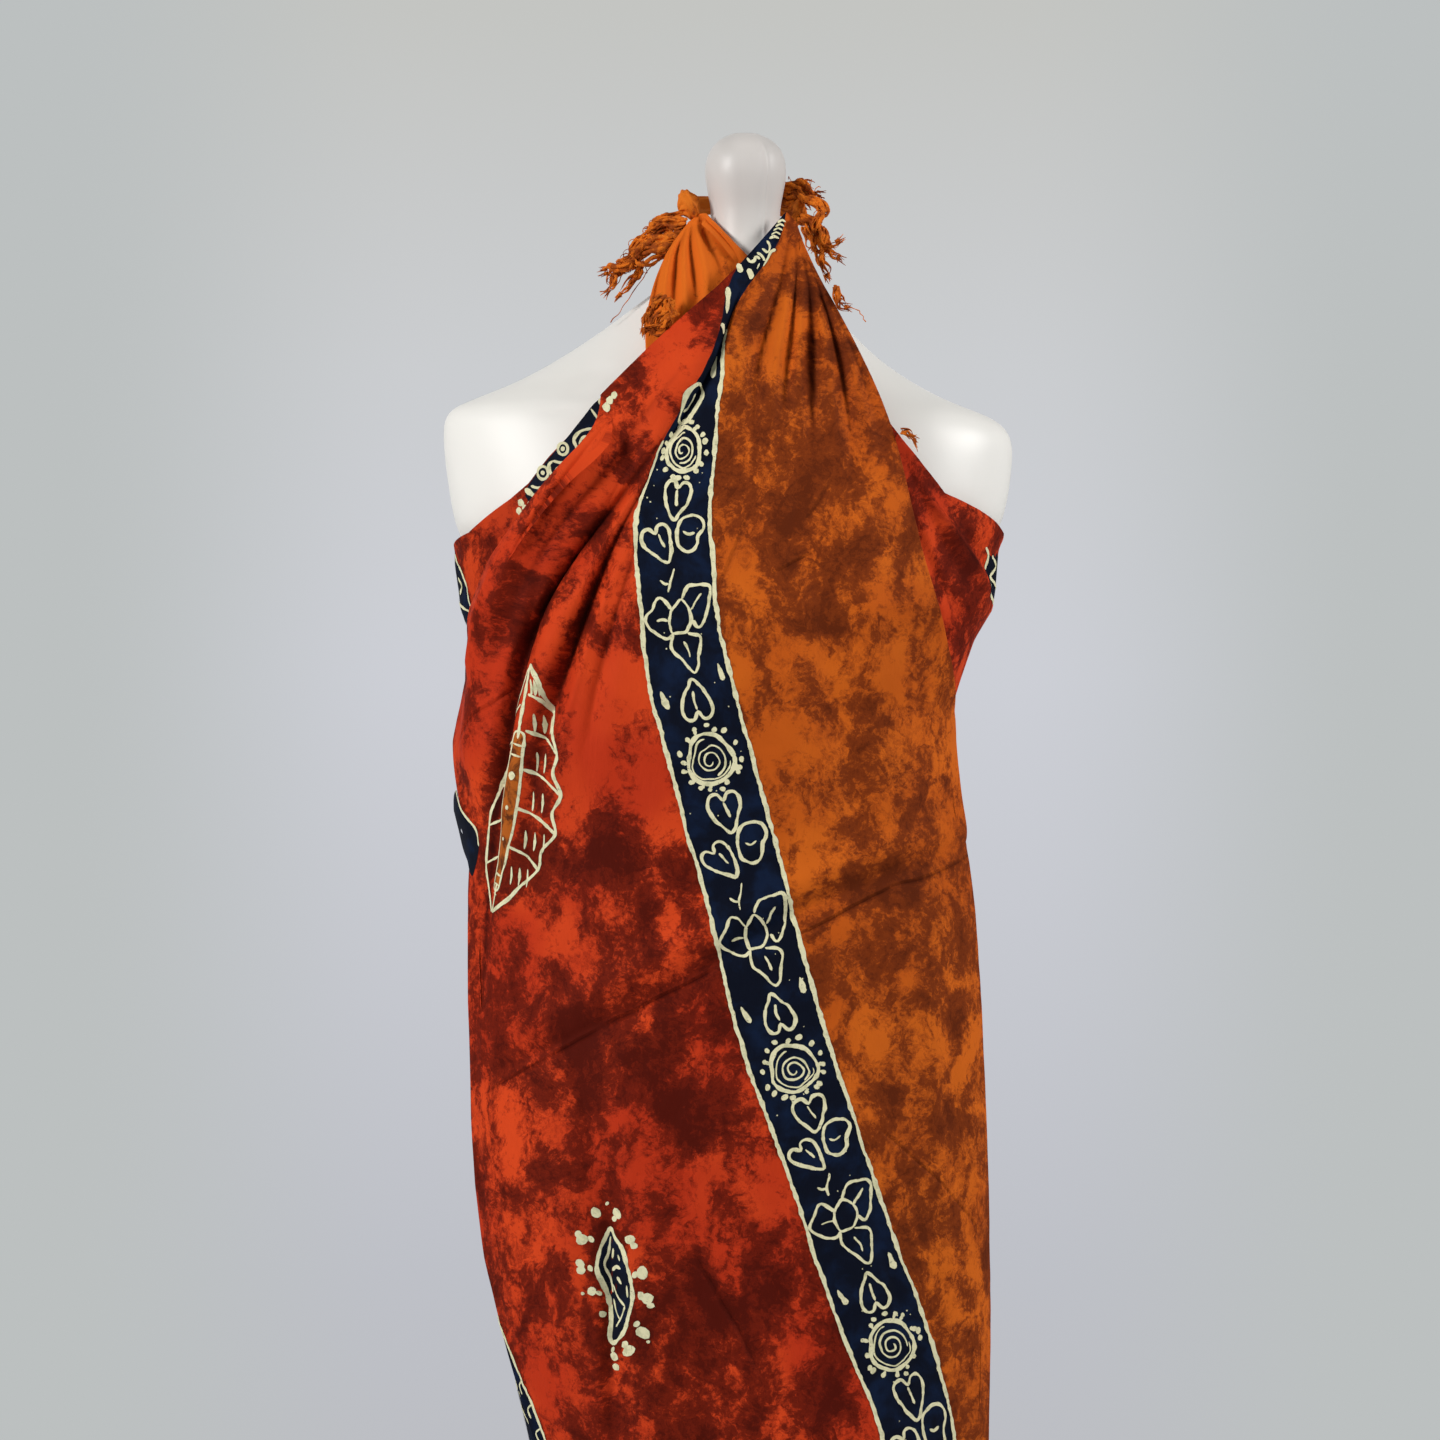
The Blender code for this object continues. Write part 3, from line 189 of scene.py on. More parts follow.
UNDER_FOLDS = [
    (0.002, 0.005, 0.003, 0.0075, [(925, 492), (945, 520), (966, 552), (988, 588)]),
    (-0.001, -0.004, -0.003, 0.0060, [(938, 496), (958, 522), (976, 548), (992, 576)]),
    (-0.001, -0.003, -0.001, 0.0100, [(922, 545), (945, 585), (962, 612), (975, 628)]),
    (0.003, 0.004, 0.001, 0.0060, [(694, 222), (698, 250), (697, 290), (690, 330)]),
    (-0.003, -0.004, -0.001, 0.0045, [(690, 224), (684, 252), (681, 290), (676, 330)]),
    (-0.002, -0.003, -0.001, 0.0045, [(702, 220), (714, 250), (718, 290), (716, 320)]),
]
# columns: depths, half width, then (angle, height) points round the back
BACK_FOLDS = [
    (0.002, 0.006, 0.004, 0.016, [(-112, 1.17), (-118, 1.08), (-122, 0.95), (-124, 0.75), (-126, 0.50), (-126, 0.22)]),
    (-0.002, -0.006, -0.004, 0.014, [(-128, 1.15), (-134, 1.05), (-138, 0.90), (-140, 0.70), (-140, 0.45), (-141, 0.22)]),
    (0.001, 0.005, 0.006, 0.017, [(-152, 1.12), (-155, 1.00), (-157, 0.80), (-158, 0.55), (-158, 0.22)]),
    (-0.001, -0.006, -0.006, 0.015, [(-170, 1.10), (-172, 0.95), (-174, 0.75), (-175, 0.50), (-175, 0.22)]),
    (0.001, 0.004, 0.006, 0.017, [(-190, 1.12), (-191, 0.95), (-192, 0.75), (-192, 0.50), (-192, 0.22)]),
    (-0.001, -0.005, -0.005, 0.015, [(-212, 1.12), (-210, 1.00), (-208, 0.80), (-207, 0.55), (-207, 0.22)]),
    (0.001, 0.004, 0.004, 0.016, [(-232, 1.14), (-228, 1.00), (-225, 0.80), (-224, 0.50), (-223, 0.22)]),
    (-0.002, -0.005, -0.004, 0.013, [(-250, 1.15), (-246, 1.02), (-242, 0.85), (-240, 0.60), (-240, 0.22)]),
]


# ---------------------------------------------------------------- the wrapped sheet
def sides(z):
    y = CENTRE_STATION[1] + (EYE_Z - z) / STATION
    left = (BODY_STATION_X - np.interp(y, SIDES[:, 0], SIDES[:, 1])) * STATION
    right = (np.interp(y, SIDES[:, 0], SIDES[:, 2]) - BODY_STATION_X) * STATION
    return left, right


def depths(z):
    return np.interp(z, DEPTHS[:, 0], DEPTHS[:, 1]), np.interp(z, DEPTHS[:, 0], DEPTHS[:, 2])


def signed_power(value, power):
    return np.sign(value) * np.abs(value) ** power


def ring(angle, z):
    """A point of the dressed body's section and its outward normal. angle 0 is the front, + is the wearer's left."""
    left, right = sides(z)
    front, back = depths(z)
    a = np.radians(angle)
    s, c = signed_power(np.sin(a), 2 / SECTION_POWER), signed_power(np.cos(a), 2 / SECTION_POWER)
    w, d = np.where(s < 0, left, right), np.where(c > 0, front, back)
    x, y = w * s, -d * c
    nx = signed_power(s, SECTION_POWER - 1) / np.maximum(w, 1e-6)
    ny = -signed_power(c, SECTION_POWER - 1) / np.maximum(d, 1e-6)
    n = np.hypot(nx, ny) + 1e-12
    return x, y, nx / n, ny / n


# q over angle, tabulated by height
TABLE_Z = np.linspace(0.18, 1.45, 320)
TABLE_A = np.linspace(-290, 130, 1261)
_zz, _aa = np.meshgrid(TABLE_Z, TABLE_A, indexing="ij")
_x, _y, _, _ = ring(_aa, _zz)
_step = np.hypot(np.diff(_x, axis=1), np.diff(_y, axis=1))
_q = np.concatenate([np.zeros((len(TABLE_Z), 1)), np.cumsum(_step, axis=1)], axis=1)
_zero = np.array([np.interp(0.0, TABLE_A, row) for row in _q])
TABLE_Q = _q - _zero[:, None]


def row_mix(z):
    f = np.clip((z - TABLE_Z[0]) / (TABLE_Z[-1] - TABLE_Z[0]) * (len(TABLE_Z) - 1), 0, len(TABLE_Z) - 1.001)
    i = f.astype(int)
    return i, f - i


def angle_to_q(angle, z):
    angle, z = np.broadcast_arrays(np.asarray(angle, float), np.asarray(z, float))
    i, f = row_mix(z)
    g = np.clip((angle - TABLE_A[0]) / (TABLE_A[-1] - TABLE_A[0]) * (len(TABLE_A) - 1), 0, len(TABLE_A) - 1.001)
    j = g.astype(int)
    g = g - j
    low = TABLE_Q[i, j] * (1 - g) + TABLE_Q[i, j + 1] * g
    high = TABLE_Q[i + 1, j] * (1 - g) + TABLE_Q[i + 1, j + 1] * g
    return low * (1 - f) + high * f


def q_to_angle(q, z):
    q, z = np.broadcast_arrays(np.asarray(q, float), np.asarray(z, float))
    low, high = np.full(q.shape, TABLE_A[0]), np.full(q.shape, TABLE_A[-1])
    for _ in range(34):
        middle = (low + high) / 2
        under = angle_to_q(middle, z) < q
        low, high = np.where(under, middle, low), np.where(under, high, middle)
    return (low + high) / 2


def wrapped(q, z, offset):
    """The 3-D point at distance q round the section at height z, offset outward."""
    x, y, nx, ny = ring(q_to_angle(q, z), z)
    return np.stack([x + nx * offset, y + ny * offset, np.broadcast_to(z, x.shape)], axis=-1)


def from_station(x, y):
    """(q, z) on the front of the dressed body seen at that station."""
    x, y = np.asarray(x, float), np.asarray(y, float)
    depth = np.zeros_like(x)
    for _ in range(8):
        scale = STATION * (EYE_DISTANCE + depth) / EYE_DISTANCE
        px, z = EYE_X + (x - CENTRE_STATION[0]) * scale, EYE_Z - (y - CENTRE_STATION[1]) * scale
        left, right = sides(z)
        share = np.clip(px / np.where(px < 0, left, right), -0.9995, 0.9995)
        front, _ = depths(z)
        new = -front * (1 - np.abs(share) ** SECTION_POWER) ** (1 / SECTION_POWER)
        depth = 0.5 * depth + 0.5 * new
    angle = np.degrees(np.arcsin(np.clip(signed_power(share, SECTION_POWER / 2), -1, 1)))
    return angle_to_q(angle, z), z


def resampled(line, count):
    """count points evenly along a (q, z) line, and its length."""
    line = np.asarray(line, float)
    run = np.concatenate([[0], np.cumsum(np.hypot(*np.diff(line, axis=0).T))])
    at = np.linspace(0, run[-1], count)
    return np.stack([np.interp(at, run, line[:, 0]), np.interp(at, run, line[:, 1])], axis=1), run[-1]


def smoothed(line, passes):
    line = np.array(line, float)
    for _ in range(passes):
        line[1:-1] = 0.25 * line[:-2] + 0.5 * line[1:-1] + 0.25 * line[2:]
    return line


def hem_height(q):
    """The hem dips from the front to the back."""
    share = 0.5 - 0.5 * np.cos(np.clip(np.abs(q) / 0.45, 0, 1) * math.pi)
    return HEM_FRONT + (HEM_BACK - HEM_FRONT) * share


def guide(stations, samples=160, soften=2):
    """A guide line in (q, z), carried on straight below its last station to the hem."""
    x, y = np.array(stations, float).T
    q, z = from_station(x, y)
    line = np.stack([q, z], axis=1)
    slope = (line[-1, 0] - line[-3, 0]) / (line[-1, 1] - line[-3, 1])
    if line[-1, 1] > HEM_FRONT + 0.02:
        foot = hem_height(line[-1, 0] + slope * 0.5 * (HEM_FRONT - line[-1, 1]))
        run = (foot - line[-1, 1])
        line = np.vstack([line, [line[-1, 0] + 0.62 * slope * run * 0.5, line[-1, 1] + run * 0.5],
                          [line[-1, 0] + 0.55 * slope * run, foot]])
    dense, _ = resampled(line, 400)
    dense = smoothed(dense, soften * 12)
    return resampled(dense, samples)[0]


def between(guides, flat, s):
    """A line between guide lines at flat distance s."""
    k = int(np.clip(np.searchsorted(flat, s, side="right") - 1, 0, len(flat) - 2))
    f = (s - flat[k]) / (flat[k + 1] - flat[k])
    return guides[k] * (1 - f) + guides[k + 1] * f


def distance_to(line, q, z):
    """Distance of points to a line in (q, z), and how far along the line the nearest point is, 0 to 1."""
    best, along = np.full(q.shape, 1e9), np.zeros(q.shape)
    run = np.concatenate([[0], np.cumsum(np.hypot(*np.diff(line, axis=0).T))])
    for k in range(len(line) - 1):
        a, d = line[k], line[k + 1] - line[k]
        t = np.clip(((q - a[0]) * d[0] + (z - a[1]) * d[1]) / max(d @ d, 1e-12), 0, 1)
        far = np.hypot(q - a[0] - t * d[0], z - a[1] - t * d[1])
        near = far < best
        best, along = np.where(near, far, best), np.where(near, (run[k] + t * np.hypot(*d)) / run[-1], along)
    return best, along


def fold_sum(folds, q, z):
    """Ridges and troughs, each fading out past its two ends."""
    total = np.zeros(q.shape)
    for start, middle, end, half_width, line in folds:
        far, along = distance_to(line, q, z)
        size = np.where(along < 0.5, start + (middle - start) * np.sin(along * math.pi) ** 1.0,
                        end + (middle - end) * np.sin(along * math.pi) ** 1.0)
        total = total + size * np.exp(-(far / half_width) ** 2)
    return total


def folds_in_q(folds):
    out = []
    for start, middle, end, half_width, stations in folds:
        q, z = from_station(*np.array(stations, float).T)
        out.append((start, middle, end, half_width, smoothed(resampled(np.stack([q, z], 1), 40)[0], 6)))
    return out


def back_folds_in_q(folds):
    out = []
    for start, middle, end, half_width, points in folds:
        a, z = np.array(points, float).T
        fine = np.linspace(z[0], z[-1], 40)
        a = np.interp(-fine, -z, a)
        out.append((start, middle, end, half_width, np.stack([angle_to_q(a, fine), fine], 1)))
    return out


def soft_floor(value, least, softness=0.0015):
    """value, kept above least with a soft corner."""
    return least + softness * np.logaddexp(0, (value - least) / softness)


OVER_LINES = folds_in_q(OVER_FOLDS)
UNDER_LINES = folds_in_q(UNDER_FOLDS)
BACK_LINES = back_folds_in_q(BACK_FOLDS)
OVER_FLAT = np.array([u for u, _ in OVER_GUIDES])
OVER_Q = [guide(line) for _, line in OVER_GUIDES]
# Below the waist the free edge and the band beside it run round the wearer's left side.
UNDER_FLAT = np.array([u for u, _ in UNDER_GUIDES] + [0.465])
SEAM_ANGLE = 96.0


def seam_line(samples, top=1.1885):
    z = np.linspace(top, 0.0, samples)
    foot = hem_height(0.4)
    z = top + (foot - top) * np.linspace(0, 1, samples)
    return np.stack([angle_to_q(SEAM_ANGLE, z), z], axis=1)


UNDER_Q = [guide(line) for _, line in UNDER_GUIDES] + [seam_line(160)]


def over_offset(q, z):
    swathe, _ = distance_to(OVER_LINES[0][4], q, z)
    base = 0.0050 + 0.004 * np.exp(-(swathe / 0.05) ** 2)
    return soft_floor(base + fold_sum(OVER_LINES, q, z), 0.0032)


def under_offset(q, z):
    """Close under the over wrap in front, out to the full section at the wearer's left side."""
    angle = q_to_angle(q, z)
    out = np.clip((angle - 30) / 45, 0, 1)
    out = out * out * (3 - 2 * out)
    shown = np.clip((z - 1.06) / 0.06, 0, 1)
    out = np.where(angle > 84, 1.0, out * shown)
    out = np.maximum(out, np.clip((angle - 74) / 12, 0, 1))
    return -0.0055 * (1 - out) + np.clip(fold_sum(UNDER_LINES, q, z), -0.003, 0.0042) * np.clip((94 - angle) / 10, 0, 1)


def back_offset(q, z):
    angle = q_to_angle(q, z)
    tucked = np.clip((angle + 84) / 14, 0, 1) * np.clip((1.155 - z) / 0.05, 0, 1)
    return -0.0030 * tucked + fold_sum(BACK_LINES, q, z) * np.clip((angle + 262) / 10, 0, 1)


# ---------------------------------------------------------------- noise on arrays
_rng = np.random.default_rng(11)
LATTICE = _rng.random((6, 128, 128))


def value_noise(x, y, layer=0):
    """Smooth noise, 0 to 1, with a cell of 1."""
    i, j = np.floor(x).astype(int), np.floor(y).astype(int)
    fx, fy = x - i, y - j
    fx, fy = fx * fx * (3 - 2 * fx), fy * fy * (3 - 2 * fy)
    t = LATTICE[layer]
    a, b = t[i % 128, j % 128], t[(i + 1) % 128, j % 128]
    c, d = t[i % 128, (j + 1) % 128], t[(i + 1) % 128, (j + 1) % 128]
    return (a * (1 - fx) + b * fx) * (1 - fy) + (c * (1 - fx) + d * fx) * fy


def rumple(u, v, across, along, layer):
    """Noise stretched along the cloth's length: cells of across by along metres, -1 to 1."""
    wx = u / across + 0.9 * (value_noise(u / (2.3 * across), v / (1.7 * across), (layer + 1) % 6) - 0.5)
    return 2 * value_noise(wx, v / along + 0.37 * layer, layer) - 1


# ---------------------------------------------------------------- more folds for the looks, in stations
MAIN_OVER_FOLDS = [
    # the broad swathe from the neck to the wearer's right hip, and its folded edge
    (0.004, 0.0100, 0.0004, 0.019, [(702, 322), (652, 388), (606, 448), (562, 508), (522, 576), (496, 650), (485, 740), (484, 830)]),
    (0.002, 0.0050, 0.003, 0.0090, [(622, 398), (604, 430), (575, 466), (552, 500), (530, 534), (510, 572), (498, 610), (488, 660)]),
    (-0.001, -0.0045, -0.001, 0.0060, [(681, 372), (644, 418), (615, 461), (583, 501), (554, 542), (528, 590), (508, 650)]),
    # the deep trough beside it, then ridge, trough, ridge, trough
    (-0.004, -0.0165, -0.007, 0.0062, [(672, 410), (654, 444), (624, 489), (603, 514), (583, 538), (562, 567), (546, 595), (528, 642),
                                      (514, 700), (506, 764), (499, 810), (494, 880), (487, 1000)]),
    (0.003, 0.0095, 0.002, 0.0100, [(660, 448), (634, 500), (602, 552), (570, 610), (546, 670), (529, 750), (519, 840)]),
    (-0.003, -0.0125, -0.002, 0.0056, [(655, 462), (640, 498), (622, 530), (607, 560), (593, 592), (578, 630), (564, 674), (552, 716), (542, 770)]),
    (0.002, 0.0060, 0.001, 0.0100, [(650, 496), (630, 556), (608, 620), (588, 690), (573, 770)]),
    (-0.002, -0.0060, -0.001, 0.0050, [(645, 522), (628, 580), (612, 634), (598, 690), (586, 756)]),
    (0.001, 0.0030, 0.001, 0.0110, [(642, 560), (632, 620), (618, 700), (606, 780)]),
    # the edge of the swathe over the dark band
    (0.003, 0.0068, 0.004, 0.0085, [(732, 276), (714, 318), (694, 358), (668, 400), (648, 436), (632, 480)]),
    (-0.003, -0.0068, -0.002, 0.0052, [(742, 290), (728, 326), (713, 362), (694, 398), (671, 438), (656, 470)]),
    # pleats gathered at the neck
    (0.003, 0.0052, 0.002, 0.0052, [(788, 236), (776, 262), (762, 286), (750, 312), (741, 344), (737, 384)]),
    (-0.004, -0.0060, -0.0010, 0.0040, [(791, 238), (786, 264), (778, 296), (766, 336), (756, 378), (750, 430)]),
    (0.004, 0.0046, 0.001, 0.0050, [(794, 238), (790, 272), (785, 312), (776, 360), (768, 420)]),
    (-0.004, -0.0056, -0.0010, 0.0038, [(796, 240), (797, 276), (793, 318), (787, 366), (782, 430)]),
    (0.004, 0.0048, 0.001, 0.0050, [(798, 240), (803, 280), (802, 326), (800, 380), (797, 440)]),
    (-0.005, -0.0078, -0.0012, 0.0042, [(799, 242), (806, 276), (810, 312), (811, 350), (812, 396), (811, 450)]),
    (0.004, 0.0054, 0.001, 0.0052, [(801, 246), (812, 282), (820, 322), (828, 370), (832, 430)]),
    (-0.004, -0.0060, -0.0010, 0.0040, [(802, 250), (817, 284), (829, 322), (840, 366), (848, 420), (852, 470)]),
    (0.003, 0.0034, 0.001, 0.0048, [(804, 252), (824, 290), (842, 340), (856, 386), (868, 440)]),
    (-0.002, -0.0030, -0.0005, 0.0036, [(806, 256), (830, 302), (852, 352), (868, 398), (880, 440)]),
    # slack at the wearer's left hip and the long soft draws across the skirt
    (0.001, 0.0040, 0.001, 0.028, [(840, 430), (858, 560), (876, 700), (900, 860), (930, 1050)]),
    (-0.001, -0.0035, -0.001, 0.014, [(800, 470), (812, 560), (826, 660), (846, 780), (866, 900)]),
    (-0.001, -0.0036, -0.001, 0.010, [(965, 840), (900, 868), (800, 908), (720, 960), (600, 1025), (485, 1088)]),
    (0.001, 0.0036, 0.001, 0.012, [(965, 818), (880, 850), (800, 884), (715, 930), (600, 994), (490, 1056)]),
    (-0.001, -0.0035, -0.001, 0.012, [(700, 1170), (740, 1235), (800, 1330), (830, 1400)]),
    (0.001, 0.0040, 0.002, 0.018, [(520, 1060), (555, 1160), (575, 1280), (590, 1420)]),
    (-0.001, -0.0050, -0.003, 0.011, [(560, 1000), (585, 1100), (606, 1200), (612, 1330), (620, 1440)]),
    (0.001, 0.0040, 0.003, 0.016, [(600, 1020), (628, 1120), (645, 1220), (652, 1330), (662, 1440)]),
    (-0.001, -0.0035, -0.003, 0.014, [(670, 1060), (684, 1180), (694, 1300), (706, 1440)]),
]
FINE_OVER_FOLDS = [
    # the swathe: long soft pleats between the big ridge and its edge
    (0.0005, -0.0030, -0.001, 0.0040, [(690, 330), (655, 372), (622, 412), (585, 462), (552, 515), (528, 570), (510, 640)]),
    (0.0005, 0.0020, 0.001, 0.0050, [(676, 352), (640, 398), (604, 448), (566, 508), (540, 566)]),
    (-0.0005, -0.0025, -0.001, 0.0035, [(660, 412), (628, 462), (600, 505), (578, 540)]),
    (0.0005, 0.0025, 0.001, 0.0045, [(640, 392), (600, 436), (570, 476), (545, 520), (520, 580), (505, 650)]),
    (-0.0005, -0.0022, -0.001, 0.0035, [(600, 470), (566, 520), (541, 572), (524, 630), (517, 690)]),
    (-0.0010, -0.0030, -0.001, 0.0045, [(560, 520), (530, 580), (505, 660), (492, 740)]),
    (0.0005, 0.0026, 0.001, 0.0050, [(640, 520), (616, 580), (592, 650), (570, 720), (556, 790)]),
    (-0.0005, -0.0024, -0.001, 0.0045, [(632, 560), (606, 620), (584, 690), (566, 760)]),
    (0.0005, 0.0018, 0.0005, 0.0060, [(530, 700), (520, 780), (512, 870), (508, 960)]),
    (-0.0005, -0.0022, -0.0005, 0.0050, [(548, 720), (536, 800), (530, 880), (528, 950)]),
    # small pleats at the neck, on the dark band
    (-0.0015, -0.0025, -0.0005, 0.0022, [(788, 224), (770, 250), (752, 278), (740, 300)]),
    (0.0015, 0.0022, 0.0005, 0.0022, [(786, 222), (766, 246), (746, 270)]),
    (-0.0006, -0.0015, -0.0004, 0.0030, [(800, 440), (796, 500), (792, 560), (790, 620)]),
    (-0.0006, -0.0015, -0.0004, 0.0030, [(742, 430), (738, 470), (730, 520), (722, 560), (715, 590)]),
    # pressed creases and the drag lines of the skirt
    (-0.0004, -0.0012, -0.0004, 0.0016, [(966, 834), (930, 850), (880, 870), (840, 885), (800, 905)]),
    (-0.0004, -0.0012, -0.0004, 0.0016, [(720, 960), (660, 996), (600, 1024), (540, 1052), (480, 1085)]),
    (-0.0004, -0.0011, -0.0004, 0.0016, [(903, 1256), (922, 1270), (940, 1284), (953, 1298)]),
    (-0.0004, -0.0011, -0.0004, 0.0015, [(958, 1336), (953, 1350), (948, 1374)]),
    (-0.0004, -0.0012, -0.0004, 0.0018, [(707, 1273), (722, 1300), (740, 1332), (757, 1359)]),
    (-0.0004, -0.0010, -0.0004, 0.0016, [(800, 566), (786, 571), (773, 577)]),
    (-0.0004, -0.0010, -0.0004, 0.0018, [(812, 470), (800, 510), (780, 545), (764, 556)]),
    (-0.0004, -0.0009, -0.0004, 0.0018, [(842, 548), (824, 562), (806, 572), (784, 580)]),
    (-0.0005, -0.0026, -0.0005, 0.0035, [(610, 1140), (611, 1190), (613, 1260), (611, 1340), (613, 1440)]),
    (0.0004, 0.0018, 0.0005, 0.0050, [(600, 1140), (602, 1200), (603, 1290), (602, 1380), (603, 1440)]),
    (0.0004, 0.0018, 0.0005, 0.0060, [(627, 1140), (632, 1200), (636, 1290), (636, 1380), (640, 1440)]),
    (-0.0004, -0.0012, -0.0004, 0.0030, [(500, 1090), (540, 1140), (560, 1190), (572, 1240)]),
    (-0.0004, -0.0012, -0.0004, 0.0030, [(700, 1180), (660, 1230), (640, 1260)]),
    (-0.0004, -0.0012, -0.0004, 0.0030, [(860, 1180), (880, 1250), (905, 1330), (925, 1420)]),
    (0.0003, 0.0014, 0.0004, 0.0080, [(930, 900), (925, 1000), (930, 1120), (940, 1240), (948, 1340)]),
    (-0.0003, -0.0014, -0.0004, 0.0060, [(950, 930), (946, 1020), (950, 1120), (956, 1220)]),
    # hidden below the view: the same kind of folds down to the hem
    (0.0010, 0.0050, 0.0050, 0.0200, [(640, 1400), (650, 1500), (655, 1650), (655, 1880)]),
    (-0.0010, -0.0050, -0.0050, 0.0150, [(700, 1400), (705, 1500), (708, 1650), (708, 1880)]),
    (0.0010, 0.0040, 0.0045, 0.0180, [(760, 1420), (764, 1520), (766, 1650), (766, 1880)]),
    (-0.0010, -0.0045, -0.0045, 0.0150, [(820, 1420), (824, 1520), (826, 1650), (826, 1880)]),
    (0.0010, 0.0040, 0.0040, 0.0180, [(880, 1440), (882, 1540), (884, 1680), (884, 1880)]),
]
FINE_UNDER_FOLDS = [
    (-0.0008, -0.0018, -0.0006, 0.0030, [(912, 470), (930, 510), (950, 548), (968, 580)]),
    (0.0006, 0.0016, 0.0006, 0.0036, [(915, 505), (934, 548), (952, 585)]),
    (-0.0006, -0.0016, -0.0006, 0.0032, [(922, 575), (936, 610), (948, 640)]),
    (-0.0030, -0.0058, -0.0010, 0.0030, [(691, 222), (690, 246), (694, 276), (698, 318)]),
    (0.0025, 0.0042, 0.0010, 0.0034, [(688, 222), (683, 250), (684, 286), (686, 326)]),
    (-0.0025, -0.0055, -0.0010, 0.0028, [(687, 222), (677, 250), (674, 286), (673, 326)]),
    (0.0020, 0.0036, 0.0010, 0.0030, [(686, 224), (670, 250), (664, 285), (662, 325)]),
    (-0.0020, -0.0040, -0.0010, 0.0022, [(684, 226), (664, 252), (656, 285), (652, 320)]),
    (0.0025, 0.0038, 0.0010, 0.0036, [(694, 220), (700, 246), (706, 276), (708, 312)]),
    (-0.0025, -0.0050, -0.0010, 0.0028, [(697, 218), (708, 240), (718, 262), (724, 284)]),
    (0.0025, 0.0042, 0.0012, 0.0032, [(702, 213), (716, 228), (730, 243), (743, 256)]),
    (-0.0020, -0.0050, -0.0015, 0.0022, [(699, 218), (712, 234), (726, 250), (737, 263)]),
]
OVER_LINES = folds_in_q(MAIN_OVER_FOLDS + FINE_OVER_FOLDS)
UNDER_LINES = UNDER_LINES[:3] + folds_in_q(FINE_UNDER_FOLDS)


def fold_sum(folds, q, z):
    """Ridges are round, troughs are pinched; each fades out past its two ends."""
    total = np.zeros(q.shape)
    flat_q, flat_z, out = q.ravel(), z.ravel(), total.ravel()
    for start, middle, end, half_width, line in folds:
        reach = 3.2 * half_width
        lo, hi = line.min(0) - reach, line.max(0) + reach
        near = np.nonzero((flat_q > lo[0]) & (flat_q < hi[0]) & (flat_z > lo[1]) & (flat_z < hi[1]))[0]
        if not len(near):
            continue
        far, along = distance_to(line, flat_q[near], flat_z[near])
        bow = np.sin(along * math.pi)
        size = np.where(along < 0.5, start + (middle - start) * bow, end + (middle - end) * bow)
        shape = np.exp(-(far / half_width) ** 2) if middle > 0 else np.exp(-(far / half_width) ** 1.22)
        out[near] += size * shape
    return out.reshape(q.shape)


def lip_shade(folds, q, z):
    """Shade in the troughs: crisp under the lip on the viewer's left, easing off on the slope to the right."""
    total = np.zeros(q.shape)
    flat_q, flat_z, out = q.ravel(), z.ravel(), total.ravel()
    for strength, crisp, ease, points in folds:
        line = folds_in_q([(0, 0, 0, 1, points)])[0][4]
        wide = 4 * max(crisp, ease)
        lo, hi = line.min(0) - wide, line.max(0) + wide
        near = np.nonzero((flat_q > lo[0]) & (flat_q < hi[0]) & (flat_z > lo[1]) & (flat_z < hi[1]))[0]
        if not len(near):
            continue
        far, along = distance_to(line, flat_q[near], flat_z[near])
        side = signed_side(line, flat_q[near], flat_z[near])
        shape = np.where(side < 0, np.exp(-(far / crisp) ** 2), 0.62 * np.exp(-(far / ease) ** 1.1) + 0.38 * np.exp(-(far / (1.4 * crisp)) ** 2))
        out[near] = np.maximum(out[near], strength * np.clip(np.sin(along * math.pi), 0, 1) ** 0.45 * shape)
    return out.reshape(q.shape)


def soft_step(value):
    t = np.clip(value, 0, 1)
    return t * t * (3 - 2 * t)


OVER_EDGE = smoothed(resampled(OVER_Q[-1], 400)[0], 20)


def over_edge_q(z):
    return np.interp(-z, -OVER_EDGE[:, 1], OVER_EDGE[:, 0])


def over_room(q, z):
    """The least offset the over wrap may sink to: lower where nothing but the close under wrap lies beneath."""
    angle = q_to_angle(q, z)
    least = np.full(np.shape(q), -0.0030)
    for mix, level in ((soft_step((angle - 16) / 16) * soft_step((z - 1.00) / 0.06), 0.0036),
                       (soft_step((angle - 58) / 12), 0.0036),
                       (soft_step((0.030 - q) / 0.02) * soft_step((z - 1.29) / 0.03), 0.0036),
                       (soft_step((over_edge_q(z) + 0.060 - q) / 0.025), 0.0036), (soft_step((over_edge_q(z) + 0.014 - q) / 0.014), 0.0060)):
        least = least * (1 - mix) + level * mix
    return least


def over_offset(q, z):
    swathe, _ = distance_to(OVER_LINES[0][4], q, z)
    base = 0.0052 + 0.004 * np.exp(-(swathe / 0.05) ** 2)
    slack = 0.0011 * rumple(q, z, 0.045, 0.16, 0) + 0.0005 * rumple(q, z, 0.016, 0.055, 1) + 0.00022 * rumple(q, z, 0.006, 0.012, 2)
    # drawn in at the wearer's right hip
    drawn_in = 0.0065 * np.exp(-((z - 1.004) / 0.034) ** 2) * soft_step((over_edge_q(z) + 0.060 - q) / 0.045)
    total = base + fold_sum(OVER_LINES, q, z) + slack - drawn_in
    least = over_room(q, z)
    return least + 0.0014 * np.logaddexp(0, (total - least) / 0.0014)


